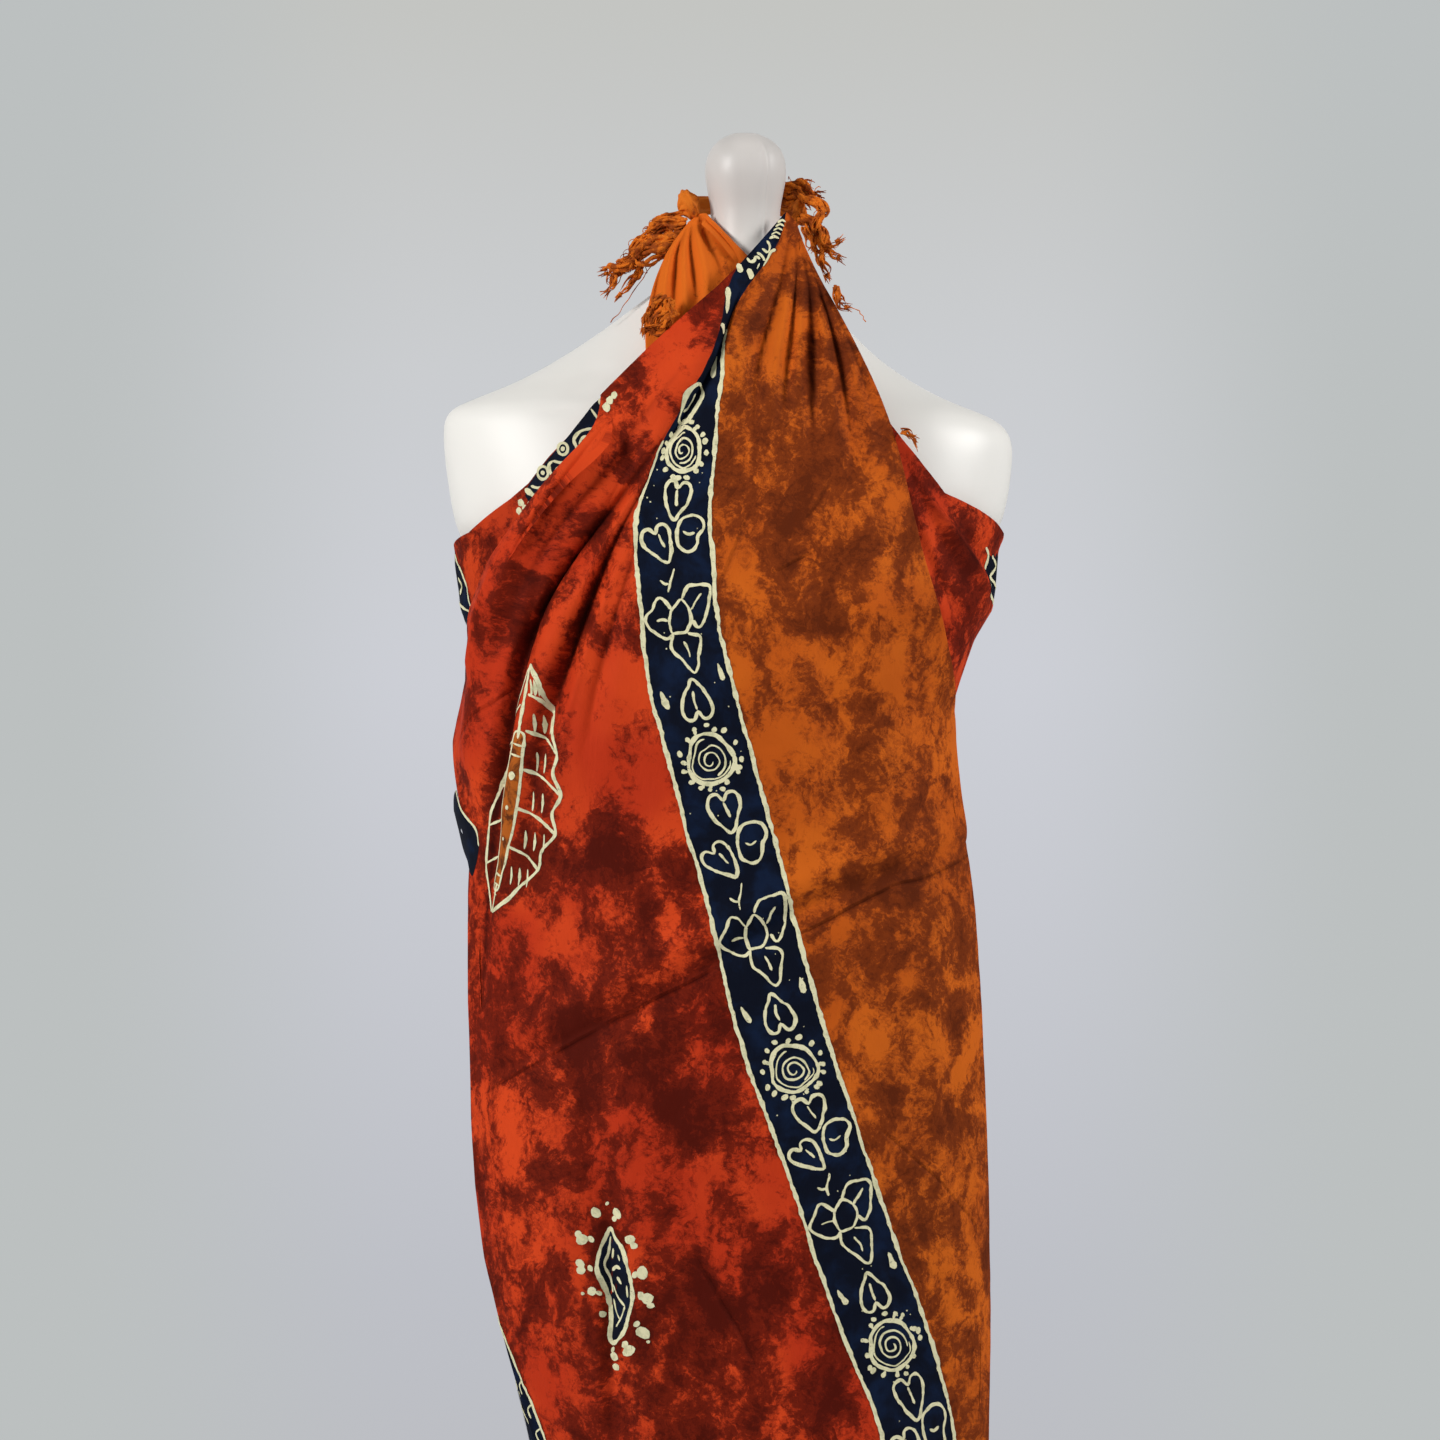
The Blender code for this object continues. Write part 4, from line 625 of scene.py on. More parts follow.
# sideways lean of fold crests (+ to the viewer's right), so that a crest hangs over the trough beside it
LEANING = [
    (0.001, 0.0050, 0.002, 0.0060, [(728, 296), (719, 326), (706, 356), (690, 384), (672, 410), (656, 434), (645, 462), (634, 492)]),
    (0.000, 0.0070, 0.001, 0.0070, [(676, 392), (644, 442), (612, 488), (586, 522), (558, 562), (530, 606), (511, 655), (502, 712), (498, 770)]),
    (0.000, 0.0055, 0.000, 0.0062, [(650, 452), (622, 498), (598, 540), (580, 585), (566, 628), (550, 676), (538, 720)]),
    (-0.001, -0.0045, -0.001, 0.0055, [(792, 240), (776, 266), (758, 290), (742, 314), (732, 340), (728, 372)]),
    (0.000, 0.0022, 0.000, 0.0040, [(801, 250), (809, 286), (814, 330), (817, 374), (817, 410)]),
    (0.000, -0.0020, 0.000, 0.0040, [(800, 256), (802, 292), (805, 330), (806, 372), (805, 420)]),
]
LEAN_LINES = folds_in_q(LEANING)
UNDER_LEAN_LINES = folds_in_q([(0.001, 0.0028, 0.001, 0.0035, [(698, 216), (709, 226), (724, 242), (738, 257)]),
                               (0.0, 0.0030, 0.0, 0.0045, [(920, 480), (934, 506), (954, 538), (972, 566), (988, 592)])])


def over_offset_and_lean(q, z):
    return over_offset(q, z), fold_sum(LEAN_LINES, q, z)


def under_offset_and_lean(q, z):
    return under_offset(q, z), fold_sum(UNDER_LEAN_LINES, q, z)


def back_offset_and_lean(q, z):
    return back_offset(q, z), np.zeros(np.shape(q))


def surface(how, q, z, lift=0.0):
    """Points of a stretch at (q, z), lifted along its own normal."""
    def bare(q, z):
        off, lean = how(q, z)
        return wrapped(q + lean, z, off)

    p = bare(q, z)
    if np.any(lift):
        e = 0.0005
        n = np.cross(bare(q + e, z) - bare(q - e, z), bare(q, z + e) - bare(q, z - e))
        n /= np.maximum(np.linalg.norm(n, axis=-1, keepdims=True), 1e-12)
        p = p + n * lift
    return p


def under_offset(q, z):
    angle = q_to_angle(q, z)
    out = np.clip((angle - 30) / 45, 0, 1)
    out = out * out * (3 - 2 * out)
    shown = np.clip((z - 1.06) / 0.06, 0, 1)
    out = np.where(angle > 84, 1.0, out * shown)
    out = np.maximum(out, np.clip((angle - 74) / 12, 0, 1))
    fade = np.clip((94 - angle) / 10, 0, 1)
    slack = 0.0006 * rumple(q, z, 0.030, 0.10, 3) + 0.0003 * rumple(q, z, 0.010, 0.03, 4)
    return -0.0055 * (1 - out) + (np.clip(fold_sum(UNDER_LINES, q, z), -0.0065, 0.0048) + slack) * fade


def back_offset(q, z):
    angle = q_to_angle(q, z)
    tucked = np.clip((angle + 84) / 14, 0, 1) * np.clip((1.155 - z) / 0.05, 0, 1)
    slack = 0.0010 * rumple(q, z, 0.05, 0.18, 2) + 0.0004 * rumple(q, z, 0.014, 0.05, 5)
    lap = -0.0014 * soft_step((-263.5 - angle) / 0.9)
    return -0.0030 * tucked + (fold_sum(BACK_LINES + FINE_BACK_LINES, q, z) + slack) * np.clip((angle + 262) / 10, 0, 1) + lap


FINE_BACK_LINES = back_folds_in_q([
    # long pressed draws across the back, and small ones below the top hem
    (-0.0006, -0.0030, -0.0006, 0.0038, [(-110, 0.940), (-150, 0.865), (-200, 0.800), (-250, 0.745)]),
    (0.0006, 0.0022, 0.0006, 0.0052, [(-108, 0.956), (-150, 0.881), (-200, 0.816), (-250, 0.760)]),
    (-0.0006, -0.0026, -0.0006, 0.0036, [(-115, 0.615), (-160, 0.560), (-205, 0.525), (-252, 0.500)]),
    (0.0006, 0.0018, 0.0006, 0.0050, [(-115, 0.630), (-160, 0.575), (-205, 0.540), (-252, 0.514)]),
    (-0.0005, -0.0026, -0.0005, 0.0034, [(-120, 1.170), (-128, 1.120), (-142, 1.060)]),
    (-0.0005, -0.0026, -0.0005, 0.0034, [(-168, 1.175), (-173, 1.120), (-176, 1.050)]),
    (-0.0005, -0.0024, -0.0005, 0.0032, [(-196, 1.175), (-193, 1.130), (-190, 1.070)]),
    (-0.0005, -0.0026, -0.0005, 0.0034, [(-238, 1.170), (-229, 1.110), (-221, 1.050)]),
])


# ---------------------------------------------------------------- grids of the stretches
def over_grid(columns, rows):
    knots = np.array([0, 0.04, 0.08, 0.12, 0.16, 0.19, 0.215, 0.235, 0.255, 0.275, 0.295, 0.315, 0.335, 0.355, 0.372, 0.390])
    u = np.interp(np.linspace(0, 1, columns), np.linspace(0, 1, len(knots)), knots)
    down = np.interp(np.linspace(0, 1, rows), [0, 0.62, 1], [0, 0.46, 1]) * 899
    down = np.convolve(np.pad(down, 12, mode="reflect", reflect_type="odd"), np.ones(25) / 25, mode="valid")
    grid = []
    for s in u:
        dense = resampled(between(OVER_Q, OVER_FLAT, s), 900)[0]
        grid.append(np.stack([np.interp(down, np.arange(900), dense[:, c]) for c in (0, 1)], 1))
    return np.array(grid), u


def under_grid(columns, rows):
    u = np.linspace(UNDER_FLAT[0], UNDER_FLAT[-1], columns)
    return np.array([resampled(between(UNDER_Q, UNDER_FLAT, s), rows)[0] for s in u]), u


def back_grid(columns, rows, meet):
    """From under the swathe at the wearer's right, round the back, to the wearer's left side."""
    ox, oy = np.array(BACK_FORWARD_TOP, float).T
    fq, fz = from_station(ox, oy)
    top = np.vstack([np.stack([fq, fz], 1),
                     np.stack([angle_to_q(BACK_TOP[::-1, 0], BACK_TOP[::-1, 1]), BACK_TOP[::-1, 1]], 1)])
    top = top[np.argsort(-top[:, 0])]
    start_q, end_q = top[0, 0], angle_to_q(SEAM_ANGLE - 360, 1.1885)
    q_top = start_q + (end_q - start_q) * np.linspace(0, 1, columns)
    z_top = np.interp(-q_top, -top[:, 0], top[:, 1])
    z_low = np.linspace(0, 1, rows)
    lines = []
    for k in range(columns):
        f = k / (columns - 1)
        z = z_top[k] + (hem_height(q_top[k]) - z_top[k]) * z_low
        hidden = over_edge_q(z) + 0.030
        seam = angle_to_q(SEAM_ANGLE - 360, z)
        q = hidden + (seam - hidden) * f
        mix = np.clip((z_top[k] - z) / 0.16, 0, 1)
        mix = mix * mix * (3 - 2 * mix)
        straight = angle_to_q(q_to_angle(q_top[k], z_top[k]), z)
        lines.append(np.stack([straight * (1 - mix) + q * mix, z], 1))
    lines = np.array(lines)
    meet_z = np.interp(np.linspace(0, 1, rows), np.linspace(0, 1, len(meet)), meet[:, 1])
    lines[-1, :, 1] = meet_z
    lines[-1, :, 0] = angle_to_q(SEAM_ANGLE - 360, meet_z) + 0.0006
    return lines


# ---------------------------------------------------------------- mesh helpers
def add(name, points, faces, mat, smooth=True, attributes=None, parent_scene=True):
    mesh = bpy.data.meshes.new(name)
    points = np.asarray(points, np.float32)
    mesh.vertices.add(len(points))
    mesh.vertices.foreach_set("co", points.ravel())
    faces = [np.asarray(f, np.int32) for f in faces] if not isinstance(faces, np.ndarray) else faces
    if isinstance(faces, np.ndarray):
        sizes = np.full(len(faces), faces.shape[1], np.int32)
        loops = faces.astype(np.int32).ravel()
    else:
        sizes = np.array([len(f) for f in faces], np.int32)
        loops = np.concatenate(faces).astype(np.int32)
    mesh.loops.add(len(loops))
    mesh.loops.foreach_set("vertex_index", loops)
    mesh.polygons.add(len(sizes))
    mesh.polygons.foreach_set("loop_start", np.concatenate([[0], np.cumsum(sizes)[:-1]]).astype(np.int32))
    mesh.update(calc_edges=True)
    if smooth:
        mesh.shade_smooth()
    for key, (kind, values) in (attributes or {}).items():
        layer = mesh.attributes.new(key, kind, "POINT")
        values = np.asarray(values, np.float32)
        layer.data.foreach_set("vector" if kind == "FLOAT_VECTOR" else "value", values.ravel())
    obj = bpy.data.objects.new(name, mesh)
    bpy.context.scene.collection.objects.link(obj)
    obj.data.materials.append(mat)
    return obj


def grid_faces(columns, rows, wrap=False, flip=False):
    i, j = np.meshgrid(np.arange(columns if wrap else columns - 1), np.arange(rows - 1), indexing="ij")
    a = i * rows + j
    b = ((i + 1) % columns) * rows + j
    quad = np.stack([a, a + 1, b + 1, b], -1).reshape(-1, 4)
    return quad[:, ::-1] if flip else quad


def eased_along(vectors, passes=6):
    v = vectors.copy()
    for _ in range(passes):
        v[1:-1] = 0.25 * v[:-2] + 0.5 * v[1:-1] + 0.25 * v[2:]
    return v / np.maximum(np.linalg.norm(v, axis=-1, keepdims=True), 1e-9)


def roll_under(points, extra, side, radius, steps, tail, how):
    """Turns one border of a grid of points under itself: side is 'first', 'last' (columns), 'top' or 'hem' (rows)."""
    p = points if side in ("first", "last") else np.swapaxes(points, 0, 1)
    e = [x if side in ("first", "last") else np.swapaxes(x, 0, 1) for x in extra]
    reverse = side in ("first", "top")
    if reverse:
        p, e = p[::-1], [x[::-1] for x in e]
    along = np.gradient(p[-1], axis=0)
    along = eased_along(along / np.maximum(np.linalg.norm(along, axis=-1, keepdims=True), 1e-9))
    q, z, d = e[0][-1][..., 0], e[0][-1][..., 1], 0.0012

    def at(q, z):
        off, lean = how(q, z)
        return wrapped(q + lean, z, off)

    inward = np.cross(at(q, z + d) - at(q, z - d), at(q + d, z) - at(q - d, z))
    inward = eased_along(inward / np.maximum(np.linalg.norm(inward, axis=-1, keepdims=True), 1e-12), 14)
    radial = p[-1] * np.array([1.0, 1.0, 0.0])
    inward = inward * (-1.0 if np.median(np.sum(inward * radial, axis=-1)) > 0 else 1.0)
    out = np.cross(along, inward)
    out = eased_along(out / np.maximum(np.linalg.norm(out, axis=-1, keepdims=True), 1e-9), 8)
    out = out * (1.0 if np.median(np.sum(out * (p[-1] - p[-4]), axis=-1)) > 0 else -1.0)
    count = p.shape[1]
    near_end = np.minimum(np.arange(count), count - 1 - np.arange(count)) / 14.0
    fade = np.clip(near_end, 0.12, 1)[:, None]
    rows = []
    for k in range(1, steps + 1):
        t = math.pi * k / steps
        rows.append(p[-1] + (out * math.sin(t) + inward * (1 - math.cos(t))) * radius * fade)
    for length in tail:
        rows.append(p[-1] - out * length * fade + inward * radius * 2 * fade)
    p = np.concatenate([p, np.array(rows)], 0)
    e = [np.concatenate([x, np.repeat(x[-1:], len(rows), 0)], 0) for x in e]
    if reverse:
        p, e = p[::-1], [x[::-1] for x in e]
    if side in ("top", "hem"):
        p, e = np.swapaxes(p, 0, 1), [np.swapaxes(x, 0, 1) for x in e]
    return p, e


SPOTS = [
    # light and dark areas of the dye: station x, y, reach in stations, amount (+ dark)
    (640, 700, 60, -0.10), (668, 790, 46, -0.09), (590, 755, 34, -0.06), (600, 850, 34, 0.07), (650, 885, 40, 0.07), (545, 930, 40, -0.05),
    (690, 925, 34, -0.05), (600, 1040, 60, 0.07), (700, 1080, 52, 0.08), (500, 1010, 34, 0.05), (520, 1150, 40, -0.08), (585, 1170, 32, -0.05),
    (640, 1160, 34, -0.06), (740, 1180, 52, -0.08), (690, 1225, 30, -0.05), (700, 1290, 46, 0.06), (660, 1390, 44, 0.04), (560, 1350, 38, -0.04),
    (790, 1280, 40, 0.05), (820, 1400, 44, 0.05), (500, 1250, 26, 0.04), (680, 620, 26, 0.02), (600, 610, 24, 0.05), (690, 330, 22, -0.07),
    (650, 365, 22, -0.06), (700, 345, 16, 0.05), (610, 440, 26, -0.05), (580, 470, 30, -0.04), (640, 560, 22, -0.07), (520, 600, 30, 0.03),
    (770, 450, 50, 0.06), (830, 480, 46, 0.05), (790, 560, 34, 0.03), (900, 620, 40, -0.05), (760, 700, 34, -0.06), (790, 810, 46, -0.07),
    (850, 760, 34, 0.03), (940, 790, 30, -0.05), (870, 880, 52, 0.06), (820, 900, 30, -0.04), (930, 960, 40, 0.04), (860, 1010, 34, -0.05),
    (900, 1090, 40, 0.05), (960, 1080, 30, -0.03), (930, 1200, 40, 0.04), (950, 1290, 34, -0.03), (880, 1180, 22, -0.04), (760, 300, 22, 0.05),
    (800, 330, 22, -0.05), (850, 400, 26, 0.03), (960, 620, 30, 0.05), (930, 520, 22, -0.03),
    (962, 556, 40, 0.060), (600, 1130, 110, 0.026), (640, 1350, 140, 0.036), (860, 760, 70, -0.016),
]


def dye_bias(q, z):
    total = np.zeros(np.shape(q))
    for x, y, reach, amount in SPOTS:
        cq, cz = from_station(np.array([float(x)]), np.array([float(y)]))
        r = reach * STATION
        total += amount * np.exp(-(((q - cq[0]) / r) ** 2 + ((z - cz[0]) / (1.15 * r)) ** 2))
    return total


def signed_side(line, q, z):
    """Distance to a line in (q, z), + on its viewer's right. The line runs downwards."""
    shape = q.shape
    q, z = q.ravel(), z.ravel()
    best, sign = np.full(q.shape, 1e9), np.ones(q.shape)
    for k in range(len(line) - 1):
        a, d = line[k], line[k + 1] - line[k]
        t = np.clip(((q - a[0]) * d[0] + (z - a[1]) * d[1]) / max(d @ d, 1e-12), 0, 1)
        far = np.hypot(q - a[0] - t * d[0], z - a[1] - t * d[1])
        side = np.where(d[0] * (z - a[1]) - d[1] * (q - a[0]) > 0, 1.0, -1.0)
        near = far < best - 1e-9
        best, sign = np.where(near, far, best), np.where(near, side, sign)
    return (best * sign).reshape(shape)


def shell(name, grid, how, navy, margin, dye_and_painted_shading, painted_shade, mat, rolls):
    """A sheet on a grid, with its turned edges. navy is a signed distance to the dark band. The value grid just before
    the material is painted shade: it darkens the colour where folds and laps would shade the cloth.
    """
    p = surface(how, grid[..., 0], grid[..., 1])
    extra = [grid, navy[..., None], margin[..., None], dye_and_painted_shading[..., None], painted_shade[..., None]]
    for side, radius, steps, tail in rolls:
        p, extra = roll_under(p, extra, side, radius, steps, tail, how=how)
    columns, rows = p.shape[:2]
    flat3 = np.concatenate([extra[0], np.zeros((columns, rows, 1))], -1)
    obj = add(name, p.reshape(-1, 3), grid_faces(columns, rows), mat, attributes={
        "flat": ("FLOAT_VECTOR", flat3.reshape(-1, 3)), "navy": ("FLOAT", extra[1].ravel()), "margin": ("FLOAT", extra[2].ravel()),
        "dye_and_painted_shading": ("FLOAT", extra[3].ravel()), "painted_shade": ("FLOAT", extra[4].ravel())})
    me = obj.data
    n = np.zeros(len(me.polygons) * 3); me.polygons.foreach_get("normal", n)
    c = np.zeros(len(me.polygons) * 3); me.polygons.foreach_get("center", c)
    n, c = n.reshape(-1, 3), c.reshape(-1, 3)
    if np.sum(n[:, :2] * c[:, :2]) < 0:
        me.flip_normals()
    return obj


# ---------------------------------------------------------------- materials
def st(*stations):
    """Stations (x, y) to (q, z)."""
    q, z = from_station(*np.array(stations, float).T)
    return np.stack([q, z], 1)


class Nodes:
    """Short calls for building a material's nodes."""

    def __init__(self, name):
        self.mat = bpy.data.materials.new(name)
        self.mat.use_nodes = True
        self.tree = self.mat.node_tree
        self.shader = self.tree.nodes["Principled BSDF"]

    def node(self, kind, **settings):
        n = self.tree.nodes.new(kind)
        for key, value in settings.items():
            setattr(n, key, value)
        return n

    def put(self, socket, value):
        if hasattr(value, "is_output") or isinstance(value, bpy.types.NodeSocket):
            self.tree.links.new(value, socket)
        else:
            socket.default_value = value

    def math(self, op, a, b=0.0, c=None, clamp=False):
        n = self.node("ShaderNodeMath", operation=op, use_clamp=clamp)
        self.put(n.inputs[0], a)
        self.put(n.inputs[1], b)
        if c is not None:
            self.put(n.inputs[2], c)
        return n.outputs[0]

    def step(self, value, low, high):
        n = self.node("ShaderNodeMapRange", interpolation_type="SMOOTHSTEP")
        self.put(n.inputs["Value"], value)
        n.inputs["From Min"].default_value, n.inputs["From Max"].default_value = low, high
        return n.outputs["Result"]

    def attribute(self, name):
        return self.node("ShaderNodeAttribute", attribute_name=name)

    def scaled(self, vector, scale, shift=(0, 0, 0)):
        n = self.node("ShaderNodeMapping")
        self.put(n.inputs["Vector"], vector)
        n.inputs["Scale"].default_value = scale
        n.inputs["Location"].default_value = shift
        return n.outputs[0]

    def noise(self, vector, scale, detail=4.0, rough=0.55, distortion=0.0, colour=False):
        n = self.node("ShaderNodeTexNoise")
        self.put(n.inputs["Vector"], vector)
        n.inputs["Scale"].default_value, n.inputs["Detail"].default_value = scale, detail
        n.inputs["Roughness"].default_value, n.inputs["Distortion"].default_value = rough, distortion
        return n.outputs["Color"] if colour else n.outputs["Fac"]

    def cracks(self, vector, scale, randomness=1.0):
        n = self.node("ShaderNodeTexVoronoi", feature="DISTANCE_TO_EDGE")
        self.put(n.inputs["Vector"], vector)
        n.inputs["Scale"].default_value = scale
        n.inputs["Randomness"].default_value = randomness
        return n.outputs["Distance"]

    def mix(self, factor, a, b, kind="MIX"):
        n = self.node("ShaderNodeMix", data_type="RGBA", blend_type=kind)
        self.put(n.inputs[0], factor)
        for socket, value in ((n.inputs[6], a), (n.inputs[7], b)):
            self.put(socket, (*value, 1) if isinstance(value, tuple) else value)
        return n.outputs[2]

    def warp(self, vector, by, amount):
        n = self.node("ShaderNodeVectorMath", operation="SUBTRACT")
        self.put(n.inputs[0], by)
        n.inputs[1].default_value = (0.5, 0.5, 0.5)
        m = self.node("ShaderNodeVectorMath", operation="SCALE")
        self.put(m.inputs[0], n.outputs[0])
        m.inputs["Scale"].default_value = amount
        a = self.node("ShaderNodeVectorMath", operation="ADD")
        self.put(a.inputs[0], vector)
        self.put(a.inputs[1], m.outputs[0])
        return a.outputs[0]

    def bump(self, height, strength, distance, normal=None):
        n = self.node("ShaderNodeBump")
        self.put(n.inputs["Height"], height)
        n.inputs["Strength"].default_value, n.inputs["Distance"].default_value = strength, distance
        if normal is not None:
            self.put(n.inputs["Normal"], normal)
        return n.outputs[0]


def dyed(n, where, dye_and_painted_shading):
    """Masks of the crumpled dye: clouds with broken edges, short smears that turn from facet to facet, and fine veins,
    shifted by per-point values that hold placed dye areas together with painted shade and painted light.
    """
    wander = n.noise(where, 26.0, 3.0, 0.6, colour=True)
    bent = n.warp(where, wander, 0.030)
    facet = n.node("ShaderNodeTexVoronoi", feature="F1")
    n.put(facet.inputs["Vector"], bent)
    facet.inputs["Scale"].default_value = 46.0
    pick = n.node("ShaderNodeSeparateColor")
    n.put(pick.inputs[0], facet.outputs["Color"])
    turn = n.node("ShaderNodeVectorRotate", rotation_type="Z_AXIS")
    n.put(turn.inputs["Vector"], n.warp(where, n.noise(where, 95.0, 4.0, 0.65, colour=True), 0.0105))
    n.put(turn.inputs["Angle"], n.math("MULTIPLY", pick.outputs[0], 6.0))
    strokes = n.noise(n.scaled(turn.outputs[0], (250.0, 118.0, 1.0)), 1.0, 4.0, 0.66, 1.1)
    torn = n.warp(where, n.noise(where, 75.0, 6.0, 0.72, colour=True), 0.020)
    clouds = n.noise(n.scaled(torn, (1.30, 0.86, 1.0)), 27.0, 7.0, 0.64, 0.5)
    fine = n.noise(torn, 260.0, 5.0, 0.70, 0.8)
    veins = n.math("SUBTRACT", 1.0, n.step(n.cracks(n.warp(where, n.noise(where, 48.0, 5.0, 0.68, colour=True), 0.024), 74.0), 0.0, 0.16))
    mixed = n.math("ADD", n.math("MULTIPLY", clouds, 0.66), n.math("MULTIPLY", strokes, 0.24))
    mixed = n.math("ADD", mixed, n.math("MULTIPLY", fine, 0.16))
    mixed = n.math("ADD", mixed, n.math("MULTIPLY", n.math("SUBTRACT", pick.outputs[1], 0.5), 0.045))
    mixed = n.math("ADD", mixed, n.math("MULTIPLY", veins, n.math("MULTIPLY", n.step(n.noise(where, 20.0, 2.0, 0.5), 0.48, 0.62), 0.040)))
    # the per-point shift adds the placed dye areas and, as painted shade and painted light, darker fold troughs,
    # lighter fold ridges and a lighter tie end
    mixed = n.math("ADD", mixed, dye_and_painted_shading)
    return mixed, strokes, clouds, bent


def crease(n, where, start, end, wide):
    """A pressed crease between two stations, as a narrow tent across the line."""
    a, b = st(start, end)
    d = (b - a) / np.hypot(*(b - a))
    length = float(np.hypot(*(b - a)))

    def along(direction):
        dot = n.node("ShaderNodeVectorMath", operation="DOT_PRODUCT")
        n.put(dot.inputs[0], where)
        dot.inputs[1].default_value = (direction[0], direction[1], 0.0)
        return n.math("SUBTRACT", dot.outputs["Value"], float(a @ np.array(direction)))

    run = along((float(d[0]), float(d[1])))
    off = n.math("ABSOLUTE", along((float(-d[1]), float(d[0]))))
    tent = n.math("SUBTRACT", 1.0, n.math("DIVIDE", off, wide), clamp=True)
    held = n.math("MULTIPLY", n.step(run, -0.004, 0.012), n.step(run, length + 0.004, length - 0.012))
    return n.math("MULTIPLY", tent, held)


def cloth_material(name):
    n = Nodes(name)
    where = n.attribute("flat").outputs["Vector"]
    navy_d, margin, dye_and_painted_shading = (n.attribute(key).outputs["Fac"] for key in ("navy", "margin", "dye_and_painted_shading"))
    mixed, strokes, clouds, bent = dyed(n, where, dye_and_painted_shading)
    hue = n.noise(where, 9.0, 3.0, 0.5)
    half = n.step(mixed, 0.486, 0.540)
    dark = n.step(mixed, 0.526, 0.592)
    deep = n.step(mixed, 0.590, 0.690)
    # red field
    red = n.mix(n.step(hue, 0.38, 0.62), (0.650, 0.0600, 0.0120), (0.490, 0.0340, 0.0086))
    red = n.mix(n.math("MULTIPLY", half, 0.55), red, (0.285, 0.0190, 0.0060))
    red = n.mix(n.math("MULTIPLY", dark, 0.88), red, (0.122, 0.0090, 0.0032))
    red = n.mix(n.math("MULTIPLY", deep, 0.72), red, (0.055, 0.0045, 0.0022))
    # mottled margin
    orange = n.mix(n.step(hue, 0.38, 0.62), (0.600, 0.1220, 0.0100), (0.500, 0.0900, 0.0078))
    # lighter orange where the per-point shift runs low: on light dye areas, and as painted light on the tie end at the
    # top of the under wrap
    orange = n.mix(n.step(dye_and_painted_shading, -0.06, -0.14), orange, (0.700, 0.1420, 0.0128))
    orange = n.mix(n.math("MULTIPLY", half, 0.60), orange, (0.330, 0.0570, 0.0072))
    orange = n.mix(n.math("MULTIPLY", dark, 0.88), orange, (0.165, 0.0270, 0.0048))
    orange = n.mix(n.math("MULTIPLY", deep, 0.72), orange, (0.080, 0.0130, 0.0032))
    ink = n.noise(bent, 34.0, 4.0, 0.6)
    navy = n.mix(n.step(ink, 0.42, 0.68), (0.0034, 0.0052, 0.0130), (0.0052, 0.0125, 0.0380))
    edge = n.noise(where, 160.0, 2.0, 0.5)
    wobble = n.math("ADD", navy_d, n.math("MULTIPLY", n.math("SUBTRACT", edge, 0.5), 0.0012))
    ground = n.mix(n.step(margin, 0.499, 0.501), red, orange)
    colour = n.mix(n.step(wobble, 0.0002, -0.0002), ground, navy)
    # painted shade: the colour is multiplied towards dark red-brown in fold troughs, under fold lips, where the back
    # wrap sinks and beside the swathe's edge
    painted_shade = n.attribute("painted_shade").outputs["Fac"]
    colour = n.mix(n.math("MULTIPLY", painted_shade, 0.90), colour, (0.20, 0.13, 0.13), "MULTIPLY")
    n.put(n.shader.inputs["Roughness"], n.math("ADD", 0.62, n.math("MULTIPLY", clouds, 0.20)))
    n.shader.inputs["Specular IOR Level"].default_value = 0.05
    # crumples, pressed creases and the weave
    crumple = n.cracks(n.warp(n.scaled(where, (1.0, 0.6, 1.0)), n.noise(where, 30.0, 3.0, 0.6, colour=True), 0.03), 21.0)
    soft = n.noise(n.scaled(where, (1.0, 0.40, 1.0)), 62.0, 4.0, 0.55, 0.8)
    height = n.math("ADD", n.math("MULTIPLY", n.step(crumple, 0.0, 0.20), 0.30), soft)
    wavy = n.warp(where, n.noise(where, 22.0, 3.0, 0.6, colour=True), 0.0050)
    pressed = 0.0
    for start, end, wide, deep_ in PRESSED:
        line = n.math("MULTIPLY", crease(n, wavy, start, end, wide), deep_)
        pressed = line if pressed == 0.0 else n.math("ADD", pressed, line)
    height = n.math("SUBTRACT", height, pressed)
    # painted shade: the colour is darkened along the pressed creases
    colour = n.mix(n.math("MULTIPLY", n.math("POWER", n.math("MULTIPLY", pressed, 0.5, clamp=True), 2.0), 0.75), colour, (0.30, 0.22, 0.22), "MULTIPLY")
    n.put(n.shader.inputs["Base Color"], colour)
    normal = n.bump(height, 0.70, 0.0015)
    warp_threads = n.node("ShaderNodeTexWave", wave_type="BANDS", bands_direction="X")
    n.put(warp_threads.inputs["Vector"], where)
    warp_threads.inputs["Scale"].default_value, warp_threads.inputs["Distortion"].default_value = 260.0, 0.6
    weft_threads = n.node("ShaderNodeTexWave", wave_type="BANDS", bands_direction="Y")
    n.put(weft_threads.inputs["Vector"], where)
    weft_threads.inputs["Scale"].default_value, weft_threads.inputs["Distortion"].default_value = 240.0, 0.6
    weave = n.math("MULTIPLY", warp_threads.outputs["Fac"], weft_threads.outputs["Fac"])
    n.put(n.shader.inputs["Normal"], n.bump(weave, 0.12, 0.0002, normal))
    return n.mat


PRESSED = [
    # pressed creases and small wrinkles: start, end (stations), half width (m), depth
    ((496, 1091), (550, 1058), 0.0022, 1.5), ((548, 1058), (606, 1027), 0.0024, 1.8), ((603, 1028), (716, 968), 0.0024, 1.9),
    ((797, 935), (890, 886), 0.0022, 1.8), ((888, 887), (966, 841), 0.0022, 1.8),
    ((696, 1252), (762, 1374), 0.0028, 1.6), ((470, 748), (514, 690), 0.0024, 1.3), ((830, 482), (804, 524), 0.0022, 1.5),
    ((813, 554), (774, 574), 0.0022, 1.4), ((718, 592), (750, 512), 0.0022, 1.4), ((876, 1128), (972, 1230), 0.0022, 1.0),
]


